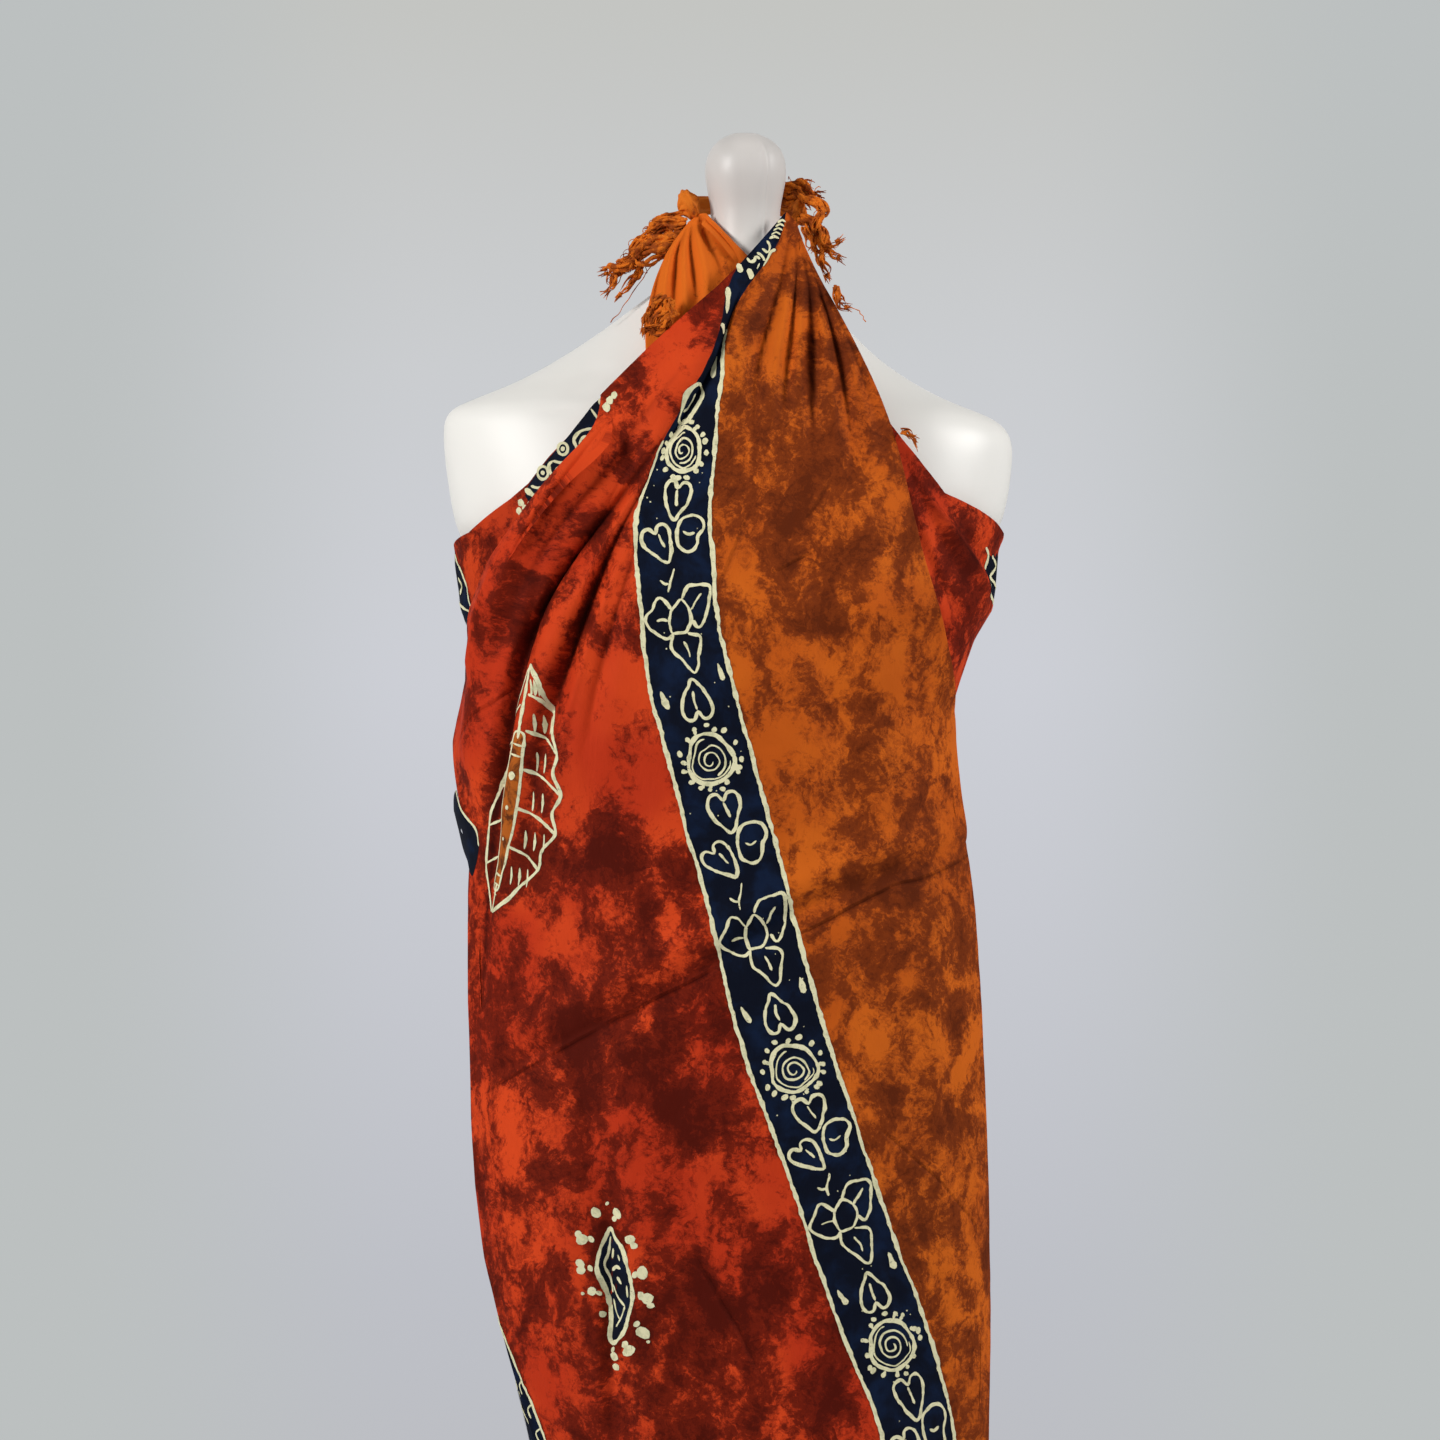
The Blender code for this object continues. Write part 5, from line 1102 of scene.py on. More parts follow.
def wax_material():
    """Undyed cloth where the wax resisted, faintly stained at its borders."""
    n = Nodes("wax_lines")
    where = n.node("ShaderNodeTexCoord").outputs["Object"]
    stain = n.noise(where, 190.0, 4.0, 0.65)
    specks = n.noise(where, 620.0, 2.0, 0.5)
    cream = n.mix(n.step(stain, 0.45, 0.70), (0.760, 0.720, 0.470), (0.560, 0.540, 0.330))
    cream = n.mix(n.math("MULTIPLY", n.step(specks, 0.64, 0.74), 0.6), cream, (0.150, 0.130, 0.085))
    n.put(n.shader.inputs["Base Color"], cream)
    n.shader.inputs["Roughness"].default_value = 0.82
    n.shader.inputs["Specular IOR Level"].default_value = 0.15
    n.put(n.shader.inputs["Normal"], n.bump(stain, 0.25, 0.0004))
    return n.mat


def dark_patch_material():
    n = Nodes("dark_ground")
    where = n.node("ShaderNodeTexCoord").outputs["Object"]
    ink = n.noise(where, 45.0, 4.0, 0.6)
    n.put(n.shader.inputs["Base Color"], n.mix(n.step(ink, 0.45, 0.75), (0.0034, 0.0052, 0.0130), (0.0052, 0.0125, 0.0380)))
    n.shader.inputs["Roughness"].default_value = 0.78
    n.shader.inputs["Specular IOR Level"].default_value = 0.10
    n.put(n.shader.inputs["Normal"], n.bump(n.noise(where, 300.0, 3.0), 0.2, 0.0004))
    return n.mat


def stem_material():
    n = Nodes("rust_ground")
    where = n.node("ShaderNodeTexCoord").outputs["Object"]
    ink = n.noise(where, 120.0, 5.0, 0.62, 0.5)
    n.put(n.shader.inputs["Base Color"], n.mix(n.step(ink, 0.42, 0.62), (0.430, 0.105, 0.0120), (0.110, 0.0260, 0.0065)))
    n.shader.inputs["Roughness"].default_value = 0.78
    n.shader.inputs["Specular IOR Level"].default_value = 0.10
    n.put(n.shader.inputs["Normal"], n.bump(n.noise(where, 300.0, 3.0), 0.2, 0.0004))
    return n.mat


def fringe_material():
    n = Nodes("twisted_fringe")
    where = n.node("ShaderNodeTexCoord").outputs["Object"]
    patch = n.noise(where, 110.0, 4.0, 0.6)
    fibre = n.noise(n.scaled(where, (1.0, 1.0, 0.35)), 900.0, 3.0, 0.6)
    c = n.mix(n.step(patch, 0.42, 0.60), (0.700, 0.165, 0.0110), (0.300, 0.0580, 0.0070))
    c = n.mix(n.math("MULTIPLY", n.step(fibre, 0.54, 0.72), 0.35), c, (0.110, 0.0220, 0.0050))
    n.put(n.shader.inputs["Base Color"], c)
    n.shader.inputs["Roughness"].default_value = 0.80
    n.shader.inputs["Specular IOR Level"].default_value = 0.12
    n.put(n.shader.inputs["Normal"], n.bump(fibre, 0.6, 0.0006))
    return n.mat


def knot_material():
    n = Nodes("knotted_cloth")
    where = n.node("ShaderNodeTexCoord").outputs["Object"]
    wander = n.noise(where, 60.0, 3.0, 0.6, colour=True)
    blot = n.noise(n.warp(where, wander, 0.012), 70.0, 5.0, 0.62)
    c = n.mix(n.step(blot, 0.50, 0.64), (0.680, 0.165, 0.0120), (0.240, 0.0460, 0.0065))
    n.put(n.shader.inputs["Base Color"], c)
    n.shader.inputs["Roughness"].default_value = 0.75
    n.shader.inputs["Specular IOR Level"].default_value = 0.12
    n.put(n.shader.inputs["Normal"], n.bump(n.noise(where, 260.0, 4.0, 0.6), 0.4, 0.0008))
    return n.mat


def form_material():
    n = Nodes("form_white")
    where = n.node("ShaderNodeTexCoord").outputs["Object"]
    cloud = n.noise(where, 6.0, 3.0, 0.5)
    grain = n.noise(where, 420.0, 3.0, 0.55)
    c = n.mix(n.step(cloud, 0.35, 0.70), (0.870, 0.850, 0.815), (0.845, 0.825, 0.790))
    tall = n.node("ShaderNodeSeparateXYZ")
    n.put(tall.inputs[0], where)
    c = n.mix(n.step(tall.outputs[2], 1.375, 1.440), c, (0.620, 0.585, 0.565))
    n.put(n.shader.inputs["Base Color"], c)
    n.put(n.shader.inputs["Roughness"], n.math("ADD", 0.36, n.math("MULTIPLY", cloud, 0.12)))
    n.shader.inputs["Specular IOR Level"].default_value = 0.45
    n.put(n.shader.inputs["Normal"], n.bump(grain, 0.05, 0.0004))
    return n.mat


def stand_material():
    n = Nodes("stand_paint")
    where = n.node("ShaderNodeTexCoord").outputs["Object"]
    peel = n.noise(where, 900.0, 2.0, 0.5)
    scuff = n.noise(where, 35.0, 4.0, 0.6)
    n.put(n.shader.inputs["Base Color"], n.mix(n.step(scuff, 0.55, 0.72), (0.800, 0.800, 0.795), (0.700, 0.700, 0.690)))
    n.put(n.shader.inputs["Roughness"], n.math("ADD", 0.34, n.math("MULTIPLY", scuff, 0.2)))
    n.put(n.shader.inputs["Normal"], n.bump(peel, 0.10, 0.0003))
    return n.mat


def floor_material():
    n = Nodes("pale_floor")
    where = n.node("ShaderNodeTexCoord").outputs["Object"]
    c = n.mix(n.noise(where, 2.0, 3.0, 0.5), (0.560, 0.570, 0.590), (0.600, 0.610, 0.625))
    n.put(n.shader.inputs["Base Color"], c)
    n.shader.inputs["Roughness"].default_value = 0.85
    return n.mat


CLOTH = cloth_material("batik_cloth")
WAX = wax_material()
DARK = dark_patch_material()
RUST = stem_material()
FRINGE_MAT = fringe_material()
KNOT_MAT = knot_material()
FORM_MAT = form_material()
STAND_MAT = stand_material()


# ---------------------------------------------------------------- the three stretches


def edge_in_q(*stations):
    q, z = from_station(*np.array(stations, float).T)
    return smoothed(resampled(np.stack([q, z], 1), 120)[0], 4)


LEFT_EDGE = OVER_Q[3]
RIGHT_EDGE = OVER_Q[2]
TURN = (0.0021, 8, [0.004, 0.010, 0.020])
over_g, over_u = over_grid(202, 400)
left_side, right_side = signed_side(LEFT_EDGE, *np.moveaxis(over_g, -1, 0)), signed_side(RIGHT_EDGE, *np.moveaxis(over_g, -1, 0))
over_uu = np.repeat(over_u[:, None], over_g.shape[1], 1)
# the flat distance decides which side of a band edge a point is on
left_side = np.where(over_uu > 0.215, -np.abs(left_side), np.abs(left_side))
right_side = np.where(over_uu > 0.160, -np.abs(right_side), np.abs(right_side))
over_folds = fold_sum(OVER_LINES, over_g[..., 0], over_g[..., 1])
LIPS = [
    # lines of painted shade under fold lips: strength, crisp and easing widths (m), stations
    (1.00, 0.0016, 0.0046, [(676, 404), (656, 442), (626, 486), (604, 513), (583, 538), (562, 567), (546, 595), (528, 642), (515, 700), (507, 764), (500, 810)]),
    (0.95, 0.0014, 0.0040, [(656, 462), (640, 498), (622, 530), (607, 560), (593, 592), (578, 630), (564, 674), (554, 712)]),
    (0.55, 0.0012, 0.0034, [(645, 522), (630, 574), (612, 634), (600, 684)]),
    (0.50, 0.0014, 0.0040, [(681, 372), (644, 418), (615, 461), (583, 501), (554, 542), (528, 590), (508, 650)]),
    (0.70, 0.0013, 0.0036, [(742, 290), (728, 326), (713, 362), (694, 398), (671, 438), (656, 470)]),
    (0.80, 0.0010, 0.0026, [(791, 238), (786, 264), (778, 296), (766, 336), (757, 372)]),
    (0.60, 0.0010, 0.0024, [(796, 240), (797, 276), (793, 318), (788, 360)]),
    (0.95, 0.0011, 0.0030, [(799, 242), (806, 276), (810, 312), (811, 350), (812, 396), (811, 440)]),
    (0.80, 0.0010, 0.0026, [(802, 250), (817, 284), (829, 322), (840, 366), (848, 414)]),
    (0.50, 0.0009, 0.0022, [(806, 256), (830, 302), (852, 352), (866, 392)]),
    (0.40, 0.0012, 0.0040, [(611, 1120), (611, 1190), (613, 1260), (611, 1340), (613, 1440), (613, 1500)]),
]


def border_past_fold(z):
    """Where the dark border starts near the swathe's fold edge, low at the wearer's right."""
    return over_edge_q(z) + np.interp(-z, [-0.668, -0.644, -0.6216, -0.595, -0.567, -0.50], [-0.003, 0.003, 0.0085, 0.0125, 0.0165, 0.020])


low_left = np.where((over_g[..., 1] < 0.668) & (over_uu > 0.30), over_g[..., 0] - border_past_fold(over_g[..., 1]), 0.05)
# painted shade and light: the per-point shift is raised in fold troughs and lowered on fold ridges, so troughs come out
# darker and ridges lighter; the shade grid darkens fold troughs and the cloth under fold lips as painted shade
over = shell("over_wrap_cloth", over_g, over_offset_and_lean, np.minimum(np.maximum(-left_side, right_side), low_left), (over_uu < 0.1875).astype(float),
             dye_bias(over_g[..., 0], over_g[..., 1]) + 0.026 - 5.0 * np.clip(over_folds, -0.012, 0.008),
             np.maximum(0.80 * soft_step((-over_folds - 0.0030) / 0.0100), lip_shade(LIPS, over_g[..., 0], over_g[..., 1])), CLOTH,
             [("first", 0.0011, 6, [0.004, 0.010, 0.018]), ("last", *TURN), ("top", 0.0008, 5, [0.002, 0.004]), ("hem", 0.0009, 5, [0.004, 0.012])])

under_g, under_u = under_grid(170, 300)
under_uu = np.repeat(under_u[:, None], under_g.shape[1], 1)
under_navy = np.maximum(0.160 - under_uu, under_uu - 0.215)
RIGHT_BIT = edge_in_q((987.5, 546), (990, 556), (989, 575), (990, 592), (994, 606))
bit = signed_side(RIGHT_BIT, *np.moveaxis(under_g, -1, 0))
bit = np.where((under_uu > 0.40) & (under_g[..., 1] > 1.150) & (under_g[..., 1] < 1.1865), -bit, 0.05)
under_navy = np.minimum(under_navy, bit)
UNDER_LIPS = [
    (0.70, 0.0009, 0.0022, [(691, 224), (690, 246), (694, 276), (698, 312)]), (0.55, 0.0009, 0.0022, [(687, 226), (677, 250), (674, 286), (673, 320)]),
    (0.65, 0.0009, 0.0020, [(697, 220), (708, 240), (718, 262), (724, 280)]), (0.60, 0.0008, 0.0018, [(699, 218), (712, 234), (726, 250), (737, 263)]),
    (0.75, 0.0016, 0.0040, [(926, 496), (944, 522), (962, 548), (984, 580)]), (0.45, 0.0012, 0.0036, [(922, 575), (936, 610), (948, 640)]),
]
# painted light: the orange near the tie end at the top of the under wrap is made lighter; the shade grid passed below
# darkens fold troughs and the cloth under fold lips as painted shade
under_dye_and_painted_light = dye_bias(under_g[..., 0], under_g[..., 1]) - 0.15 * np.exp(-((under_g[..., 0] + 0.030) / 0.04) ** 2) * (under_g[..., 1] > 1.30)
under = shell("under_wrap_cloth", under_g, under_offset_and_lean, under_navy, (under_uu < 0.1875).astype(float), under_dye_and_painted_light,
              np.maximum(soft_step((-fold_sum(UNDER_LINES, under_g[..., 0], under_g[..., 1]) - 0.0016) / 0.0080) * (0.42 + 0.5 * (under_g[..., 0] > 0.05)),
                         lip_shade(UNDER_LIPS, under_g[..., 0], under_g[..., 1])), CLOTH,
              [("first", 0.0010, 5, [0.004, 0.010]), ("top", 0.0011, 6, [0.004, 0.010]), ("hem", 0.0009, 5, [0.004, 0.012])])

back_g = back_grid(230, 260, under_g[-1])
back_g = np.concatenate([back_g, back_g[-1:] - [0.0018, 0.0], back_g[-1:] - [0.0048, 0.0]])
BACK_BAND_EDGE = np.array([(1.1900, -0.330), (1.1850, -0.300), (1.1760, -0.272)], float)


def band_inner_q(z):
    """The wearer's front side of the band on the back wrap: close to the swathe's fold, slanting back at the top."""
    low = over_edge_q(np.clip(z, 0, 1.130)) + 0.006
    q, zz = from_station(*np.array([(456.5, 556), (461, 570), (466, 586), (468, 600), (472, 613), (482, 621)], float).T)
    high = np.interp(-z, -zz, q)
    high = np.where(z > zz[0], q[0] - (z - zz[0]) * 1.7, high)
    mix = soft_step((z - 1.128) / 0.010)
    return low * (1 - mix) + high * mix


BAND_WIDE = 0.055
inner = band_inner_q(back_g[..., 1])
back_navy = np.abs(back_g[..., 0] - (inner - BAND_WIDE / 2)) - BAND_WIDE / 2
# shade on the stretch under the arm, beside the swathe's edge
beside_swathe = 0.85 * np.exp(-np.maximum(over_edge_q(back_g[..., 1]) - back_g[..., 0], 0) / 0.0085) * soft_step((back_g[..., 1] - 1.105) / 0.02)
# painted shade: the back wrap is darkened where it sinks or tucks under, and beside the swathe's edge
back = shell("back_wrap_cloth", back_g, back_offset_and_lean, back_navy, np.zeros(back_g.shape[:2]), dye_bias(back_g[..., 0], back_g[..., 1]) * 0.6,
             np.maximum(soft_step((0.0016 - back_offset(back_g[..., 0], back_g[..., 1])) / 0.004) * 0.5, beside_swathe), CLOTH,
             [("first", 0.0010, 5, [0.004, 0.010]), ("top", 0.0012, 6, [0.004, 0.010]), ("hem", 0.0009, 5, [0.004, 0.012])])

# ---------------------------------------------------------------- the wax-resist drawing
STROKES = {"over": [], "under": [], "back": []}
PATCHES = {"over": [], "under": [], "back": []}
HOW = {"over": over_offset_and_lean, "under": under_offset_and_lean, "back": back_offset_and_lean}
pen = np.random.default_rng(5)


def smooth_path(points, closed, spacing=0.0012):
    """An even line through given points, in metres."""
    p = np.array(points, float)
    if closed:
        ext = np.vstack([p[-1:], p, p[:2]])
    else:
        ext = np.vstack([2 * p[0] - p[1], p, 2 * p[-1] - p[-2]])
    out = []
    for k in range(1, len(ext) - 2):
        a, b, c, d = ext[k - 1], ext[k], ext[k + 1], ext[k + 2]
        for t in np.linspace(0, 1, 12, endpoint=False):
            out.append(0.5 * (2 * b + (c - a) * t + (2 * a - 5 * b + 4 * c - d) * t ** 2 + (3 * b - a - 3 * c + d) * t ** 3))
    if not closed:
        out.append(ext[-2])
    else:
        out.append(out[0])
    out = np.array(out)
    length = np.hypot(*np.diff(out, axis=0).T).sum()
    return resampled(out, max(4, int(length / spacing) + 1))[0]


def stroke(where, path, width, closed=False, taper=True, drawn=None):
    """A line of wax: path in (q, z), width in metres."""
    path = np.array(path, float)
    count = len(path)
    t = np.linspace(0, 1, count)
    phase = pen.random() * 50
    run = np.arange(count) * 0.0012
    unsteady = 1 + 0.62 * (value_noise(run / 0.0060 + phase, run * 0 + phase, 4) - 0.5) + 0.40 * (value_noise(run / 0.0022 + phase, run * 0, 3) - 0.5)
    w = width * unsteady
    if drawn is not None:
        w = w * np.interp(t, np.linspace(0, 1, len(drawn)), drawn)
    if not closed and taper:
        w = w * np.clip(np.minimum(t, 1 - t) * count / 1.6 + 0.35, 0, 1)
    d = np.gradient(path, axis=0)
    if closed:
        d[0] = d[-1] = path[1] - path[-2]
    d /= np.maximum(np.hypot(*d.T)[:, None], 1e-9)
    side = np.stack([-d[:, 1], d[:, 0]], 1)
    STROKES[where].append((path + side * w[:, None] / 2, path - side * w[:, None] / 2))


def blob(where, centre, radius, squash=1.0, turn=0.0):
    """A dot of wax with an uneven rim."""
    a = np.linspace(0, 2 * math.pi, 11)[:-1]
    r = radius * (1 + 0.22 * (pen.random(10) - 0.5))
    x, y = r * np.cos(a), r * np.sin(a) * squash
    c, s = math.cos(turn), math.sin(turn)
    ring_ = np.stack([centre[0] + x * c - y * s, centre[1] + x * s + y * c], 1)
    PATCHES[where].append(("wax", np.array(centre), ring_))


def anticlockwise(outline):
    x, y = outline[:, 0], outline[:, 1]
    return outline if np.sum(x * np.roll(y, -1) - np.roll(x, -1) * y) > 0 else outline[::-1]


def filled(where, kind, outline):
    """A dyed area inside a closed outline, as rings towards its middle."""
    outline = anticlockwise(np.array(outline, float))
    PATCHES[where].append((kind, outline.mean(0), outline))


def flush_drawing():
    made = []
    for where in STROKES:
        points, faces, start = [], [], 0
        for left, right in STROKES[where]:
            m = len(left)
            points += [left, right]
            k = np.arange(m - 1)
            faces.append(np.stack([start + k, start + m + k, start + m + k + 1, start + k + 1], 1))
            start += 2 * m
        wax_points, wax_faces = points, faces
        groups = {"dark": ([], [], 0), "rust": ([], [], 0)}
        dots, dot_faces, dstart = [], [], 0
        for kind, centre, outline in PATCHES[where]:
            m = len(outline)
            if kind == "wax":
                dots += [centre[None], outline]
                k = np.arange(m)
                dot_faces.append(np.stack([np.full(m, dstart), dstart + 1 + k, dstart + 1 + (k + 1) % m], 1))
                dstart += m + 1
            else:
                pts, fcs, st = groups[kind]
                rings = np.linspace(1, 0.06, 16)
                pts += [centre + (outline - centre) * f for f in rings]
                for r in range(len(rings) - 1):
                    k = np.arange(m)
                    a, b = st + r * m + k, st + r * m + (k + 1) % m
                    fcs.append(np.stack([a, b, b + m, a + m], 1))
                groups[kind] = (pts, fcs, st + m * len(rings))

        def lifted(pts, lift):
            qz = np.concatenate(pts)
            return surface(HOW[where], qz[:, 0], qz[:, 1], lift)

        if wax_points:
            made.append((where, add(f"{where}_wax_lines", lifted(wax_points, 0.00038), np.concatenate(wax_faces), WAX)))
        if dots:
            made.append((where, add(f"{where}_wax_dots", lifted(dots, 0.00042), np.concatenate(dot_faces), WAX)))
        for kind, mat in (("dark", DARK), ("rust", RUST)):
            pts, fcs, _ = groups[kind]
            if pts:
                made.append((where, add(f"{where}_{kind}_ground", lifted(pts, 0.00020 if kind == "dark" else 0.00026), np.concatenate(fcs), mat)))
    return made


HEART = [(0, -8.5), (3.6, -13.4), (8.6, -13.0), (11.2, -7.2), (9.2, 2.2), (4.8, 11), (0.2, 17), (-4.6, 11), (-9.4, 2), (-11.4, -7), (-8.8, -12.8), (-3.8, -13.6)]
LOBED = [(-9.5, -3), (-6.5, -12), (1.5, -16), (9, -13.5), (11.5, -6), (7.5, 1.5), (6, 10), (-0.5, 15.5), (-8, 11), (-9.5, 3.5)]
LEAF = [(5.5, -5), (11, -9.5), (18.5, -8.5), (24, -4), (28, 0), (23, 4.5), (17, 8.8), (10.5, 8.6), (5.5, 4.8)]


def turned(points, degrees, scale=1.0, shift=(0, 0)):
    c, s = math.cos(math.radians(degrees)), math.sin(math.radians(degrees))
    p = np.array(points, float) * scale
    return np.stack([p[:, 0] * c - p[:, 1] * s + shift[0], p[:, 0] * s + p[:, 1] * c + shift[1]], 1)


def draw_band(where, place, first, last, line=0.00225):
    """Repeats of the border drawing. place maps (x, y) in mm, y down the band from a sun, to (q, z)."""
    def curve(points, closed=False, width=1.0, **more):
        path = smooth_path(points, closed, 1.2)
        run = np.arange(len(path)) * 1.2
        ph = pen.random() * 40
        fade = np.sin(np.linspace(0, math.pi, len(path))) if closed else np.ones(len(path))
        path = path + (np.stack([value_noise(run / 5 + ph, run * 0, 1), value_noise(run / 5 + ph, run * 0 + 3, 2)], 1) - 0.5) * 1.5 * fade[:, None]
        stroke(where, place(path), line * width, closed, **more)

    for k in range(first, last + 1):
        y0 = 225.0 * k
        jig = pen.normal(0, 1, 12)

        def at(p):
            p = np.array(p, float)
            return p + np.array([0, y0])

        # the sun: a ring with rays and dots, a thin ring and a spiral
        a = np.linspace(0, 2 * math.pi, 29)[:-1]
        wob = 1 + 0.035 * np.sin(3 * a + jig[0]) + 0.02 * np.sin(5 * a + jig[1])
        curve(at(np.stack([15.4 * wob * np.cos(a), 16.4 * wob * np.sin(a)], 1)), True, 1.20)
        curve(at(np.stack([12.4 * wob * np.cos(a + 0.2), 13.2 * wob * np.sin(a + 0.2)], 1))[:21], False, 0.50)
        t = np.linspace(0.15, 2.30, 30)
        r = 1.2 + 3.9 * t
        curve(at(np.stack([r * np.cos(2 * math.pi * t + jig[2]), 1.06 * r * np.sin(2 * math.pi * t + jig[2])], 1)), False, 0.58)
        for j in range(17):
            b = 2 * math.pi * j / 17 + 0.09 * pen.normal()
            inner, outer = 16.4, 19.4 + 0.8 * pen.normal()
            if pen.random() < 0.55:
                curve(at([(inner * math.cos(b), inner * 1.05 * math.sin(b)), (outer * math.cos(b + 0.06), outer * 1.05 * math.sin(b + 0.06))]), False, 1.10)
                blob(where, place(at([(outer * math.cos(b + 0.06), outer * 1.05 * math.sin(b + 0.06))]))[0], 0.0015 + 0.0004 * pen.random())
            else:
                blob(where, place(at([(20.6 * math.cos(b), 21.6 * math.sin(b))]))[0], 0.0015 + 0.0005 * pen.random(), 1.3, b)
        # heart, point down, under the sun
        curve(at(turned(HEART, 2 + 3 * jig[3], 0.98, (1.0, 37.5))), True)
        curve(at([(0.8, 31), (1.6, 37), (2.4, 43)]), False, 0.8)
        # a heart leaf at the left, a lobed leaf at the right
        curve(at(turned(HEART, -24 + 3 * jig[4], 0.92, (-10.5, 71.5))), True)
        curve(at([(-11.5, 65), (-8.5, 71), (-6.5, 75)][::-1]), False, 0.75)
        curve(at(turned(LOBED, 4 + 3 * jig[5], 0.95, (12.0, 64.5))), True)
        curve(at([(7.5, 63), (11, 65.5), (15.5, 64)]), False, 0.8)
        # a twig
        curve(at([(-1, 91), (-3, 97), (-5.5, 103), (-6.5, 109)]), False, 0.75)
        curve(at([(-12, 99.5), (-9, 102.5), (-5.5, 103)]), False, 0.7)
        # three pointed leaves round a middle cell
        cell = [(-5.5, 122.5), (-1.5, 118), (1.5, 115), (4.5, 118), (7.0, 122.5), (8.2, 127), (8.0, 132), (5.5, 136), (3.0, 138.5), (-2.0, 138.8), (-6.0, 138.5), (-7.0, 134), (-7.6, 130), (-6.6, 126)]
        curve(at(cell), True, 0.85)
        curve(at([(-5.5, 122), (-13, 113 + jig[6]), (-19.5, 121), (-25.0, 130 + jig[7]), (-19, 138), (-11.5, 142.5), (-6.0, 139.5)]), False, 0.9)
        curve(at([(2.0, 114), (8.5, 104.5 + jig[8]), (16.5, 105), (23.5, 105.5 + jig[9]), (23.0, 117), (18.5, 131), (13.5, 137), (9.0, 132)]), False, 0.9)
        curve(at([(-6.0, 139.5), (-7.5, 149), (-2.0, 158), (5.0, 168 + jig[10]), (10.5, 156), (13.5, 144), (4.0, 139.5)]), False, 0.9)
        curve(at([(-17, 129.5), (-12.5, 129), (-8.5, 130)]), False, 0.7)
        curve(at([(8.5, 123), (13, 117.5), (17.5, 112)]), False, 0.7)
        curve(at([(1.5, 146), (3.0, 151), (3.8, 157)]), False, 0.7)
        # drops of wax at each side
        curve(at([(20.5, 166), (21.0, 172), (21.5, 178.5)]), False, 1.55, drawn=[0.35, 0.8, 1.2, 1.0])
        curve(at([(-20.5, 176), (-19.5, 182), (-17.8, 188.5)]), False, 1.55, drawn=[0.35, 0.8, 1.2, 1.0])
        # an inverted heart above the next sun
        curve(at(turned(HEART, 180 + 3 * jig[9], 0.88, (0.8, 187.5))), True)
        curve(at([(0.6, 193), (0.2, 187), (0.8, 181)]), False, 0.8)
        for _ in range(14):
            blob(where, place(at([(pen.uniform(-23, 23), pen.uniform(-5, 215))]))[0], 0.00028 + 0.0003 * pen.random())


def along_line(line, samples=900):
    dense, length = resampled(smoothed(resampled(line, samples)[0], 10), samples)
    return dense, length


# the band of the over wrap, from its two edge lines
left_edge, left_len = along_line(OVER_Q[3])
right_edge, right_len = along_line(OVER_Q[2])
mid = smoothed(0.5 * (left_edge + right_edge), 60)
mid, mid_len = resampled(mid, 900)
mid_run = np.linspace(0, mid_len, len(mid))
tan = np.gradient(mid, axis=0)
tan /= np.hypot(*tan.T)[:, None]
nor = np.stack([-tan[:, 1], tan[:, 0]], 1)
if nor[450, 0] < 0:
    nor = -nor


def half_width_of(edge):
    return np.array([np.min(np.hypot(edge[:, 0] - m[0], edge[:, 1] - m[1])) for m in mid])


half_l, half_r = half_width_of(left_edge), half_width_of(right_edge)


def nearest_run(station):
    q, z = from_station(np.array([float(station[0])]), np.array([float(station[1])]))
    return mid_run[np.argmin(np.hypot(mid[:, 0] - q[0], mid[:, 1] - z[0]))]


suns = [nearest_run(s) for s in ((684, 452), (713, 762), (797, 1070), (888, 1345))]
steps = np.diff(suns)
marks_y = np.array([-450, -225, 0, 131, 192, 225, 356, 417, 450, 581, 642, 675, 900, 1125, 1350], float)
marks_s = np.array([suns[0] - 2 * steps[0], suns[0] - steps[0], suns[0], nearest_run((680, 621)), nearest_run((695, 708)), suns[1],
                    nearest_run((748, 938)), nearest_run((776, 1020)), suns[2], nearest_run((842, 1216)), nearest_run((868, 1298)), suns[3],
                    suns[3] + 0.225, suns[3] + 0.45, suns[3] + 0.675])


def on_over_band(p):
    """(x, y) in mm on the band to (q, z)."""
    p = np.asarray(p, float)
    s = np.interp(p[:, 1], marks_y, marks_s)
    x = p[:, 0] / 27.5
    c = np.stack([np.interp(s, mid_run, mid[:, 0]), np.interp(s, mid_run, mid[:, 1])], 1)
    n = np.stack([np.interp(s, mid_run, nor[:, 0]), np.interp(s, mid_run, nor[:, 1])], 1)
    h = np.where(x < 0, np.interp(s, mid_run, half_l), np.interp(s, mid_run, half_r))
    h = np.minimum(h, 0.0290)
    # past either end of the band the drawing is dropped onto its last point, and cut there
    return c + n * (x * h)[:, None]


def clip_strokes(where, count_before, low, high):
    """Keeps only the strokes that lie between two heights."""
    keep = []
    for left, right in STROKES[where][count_before:]:
        if min(left[:, 1].min(), right[:, 1].min()) > low and max(left[:, 1].max(), right[:, 1].max()) < high:
            keep.append((left, right))
    STROKES[where][count_before:] = keep


before = len(STROKES["over"])
draw_band("over", on_over_band, 0, 5)
hem_z = HEM_FRONT + 0.004
clip_strokes("over", before, hem_z, 1.331)
PATCHES["over"] = [p for p in PATCHES["over"] if p[2][:, 1].min() > hem_z and p[2][:, 1].max() < 1.331]


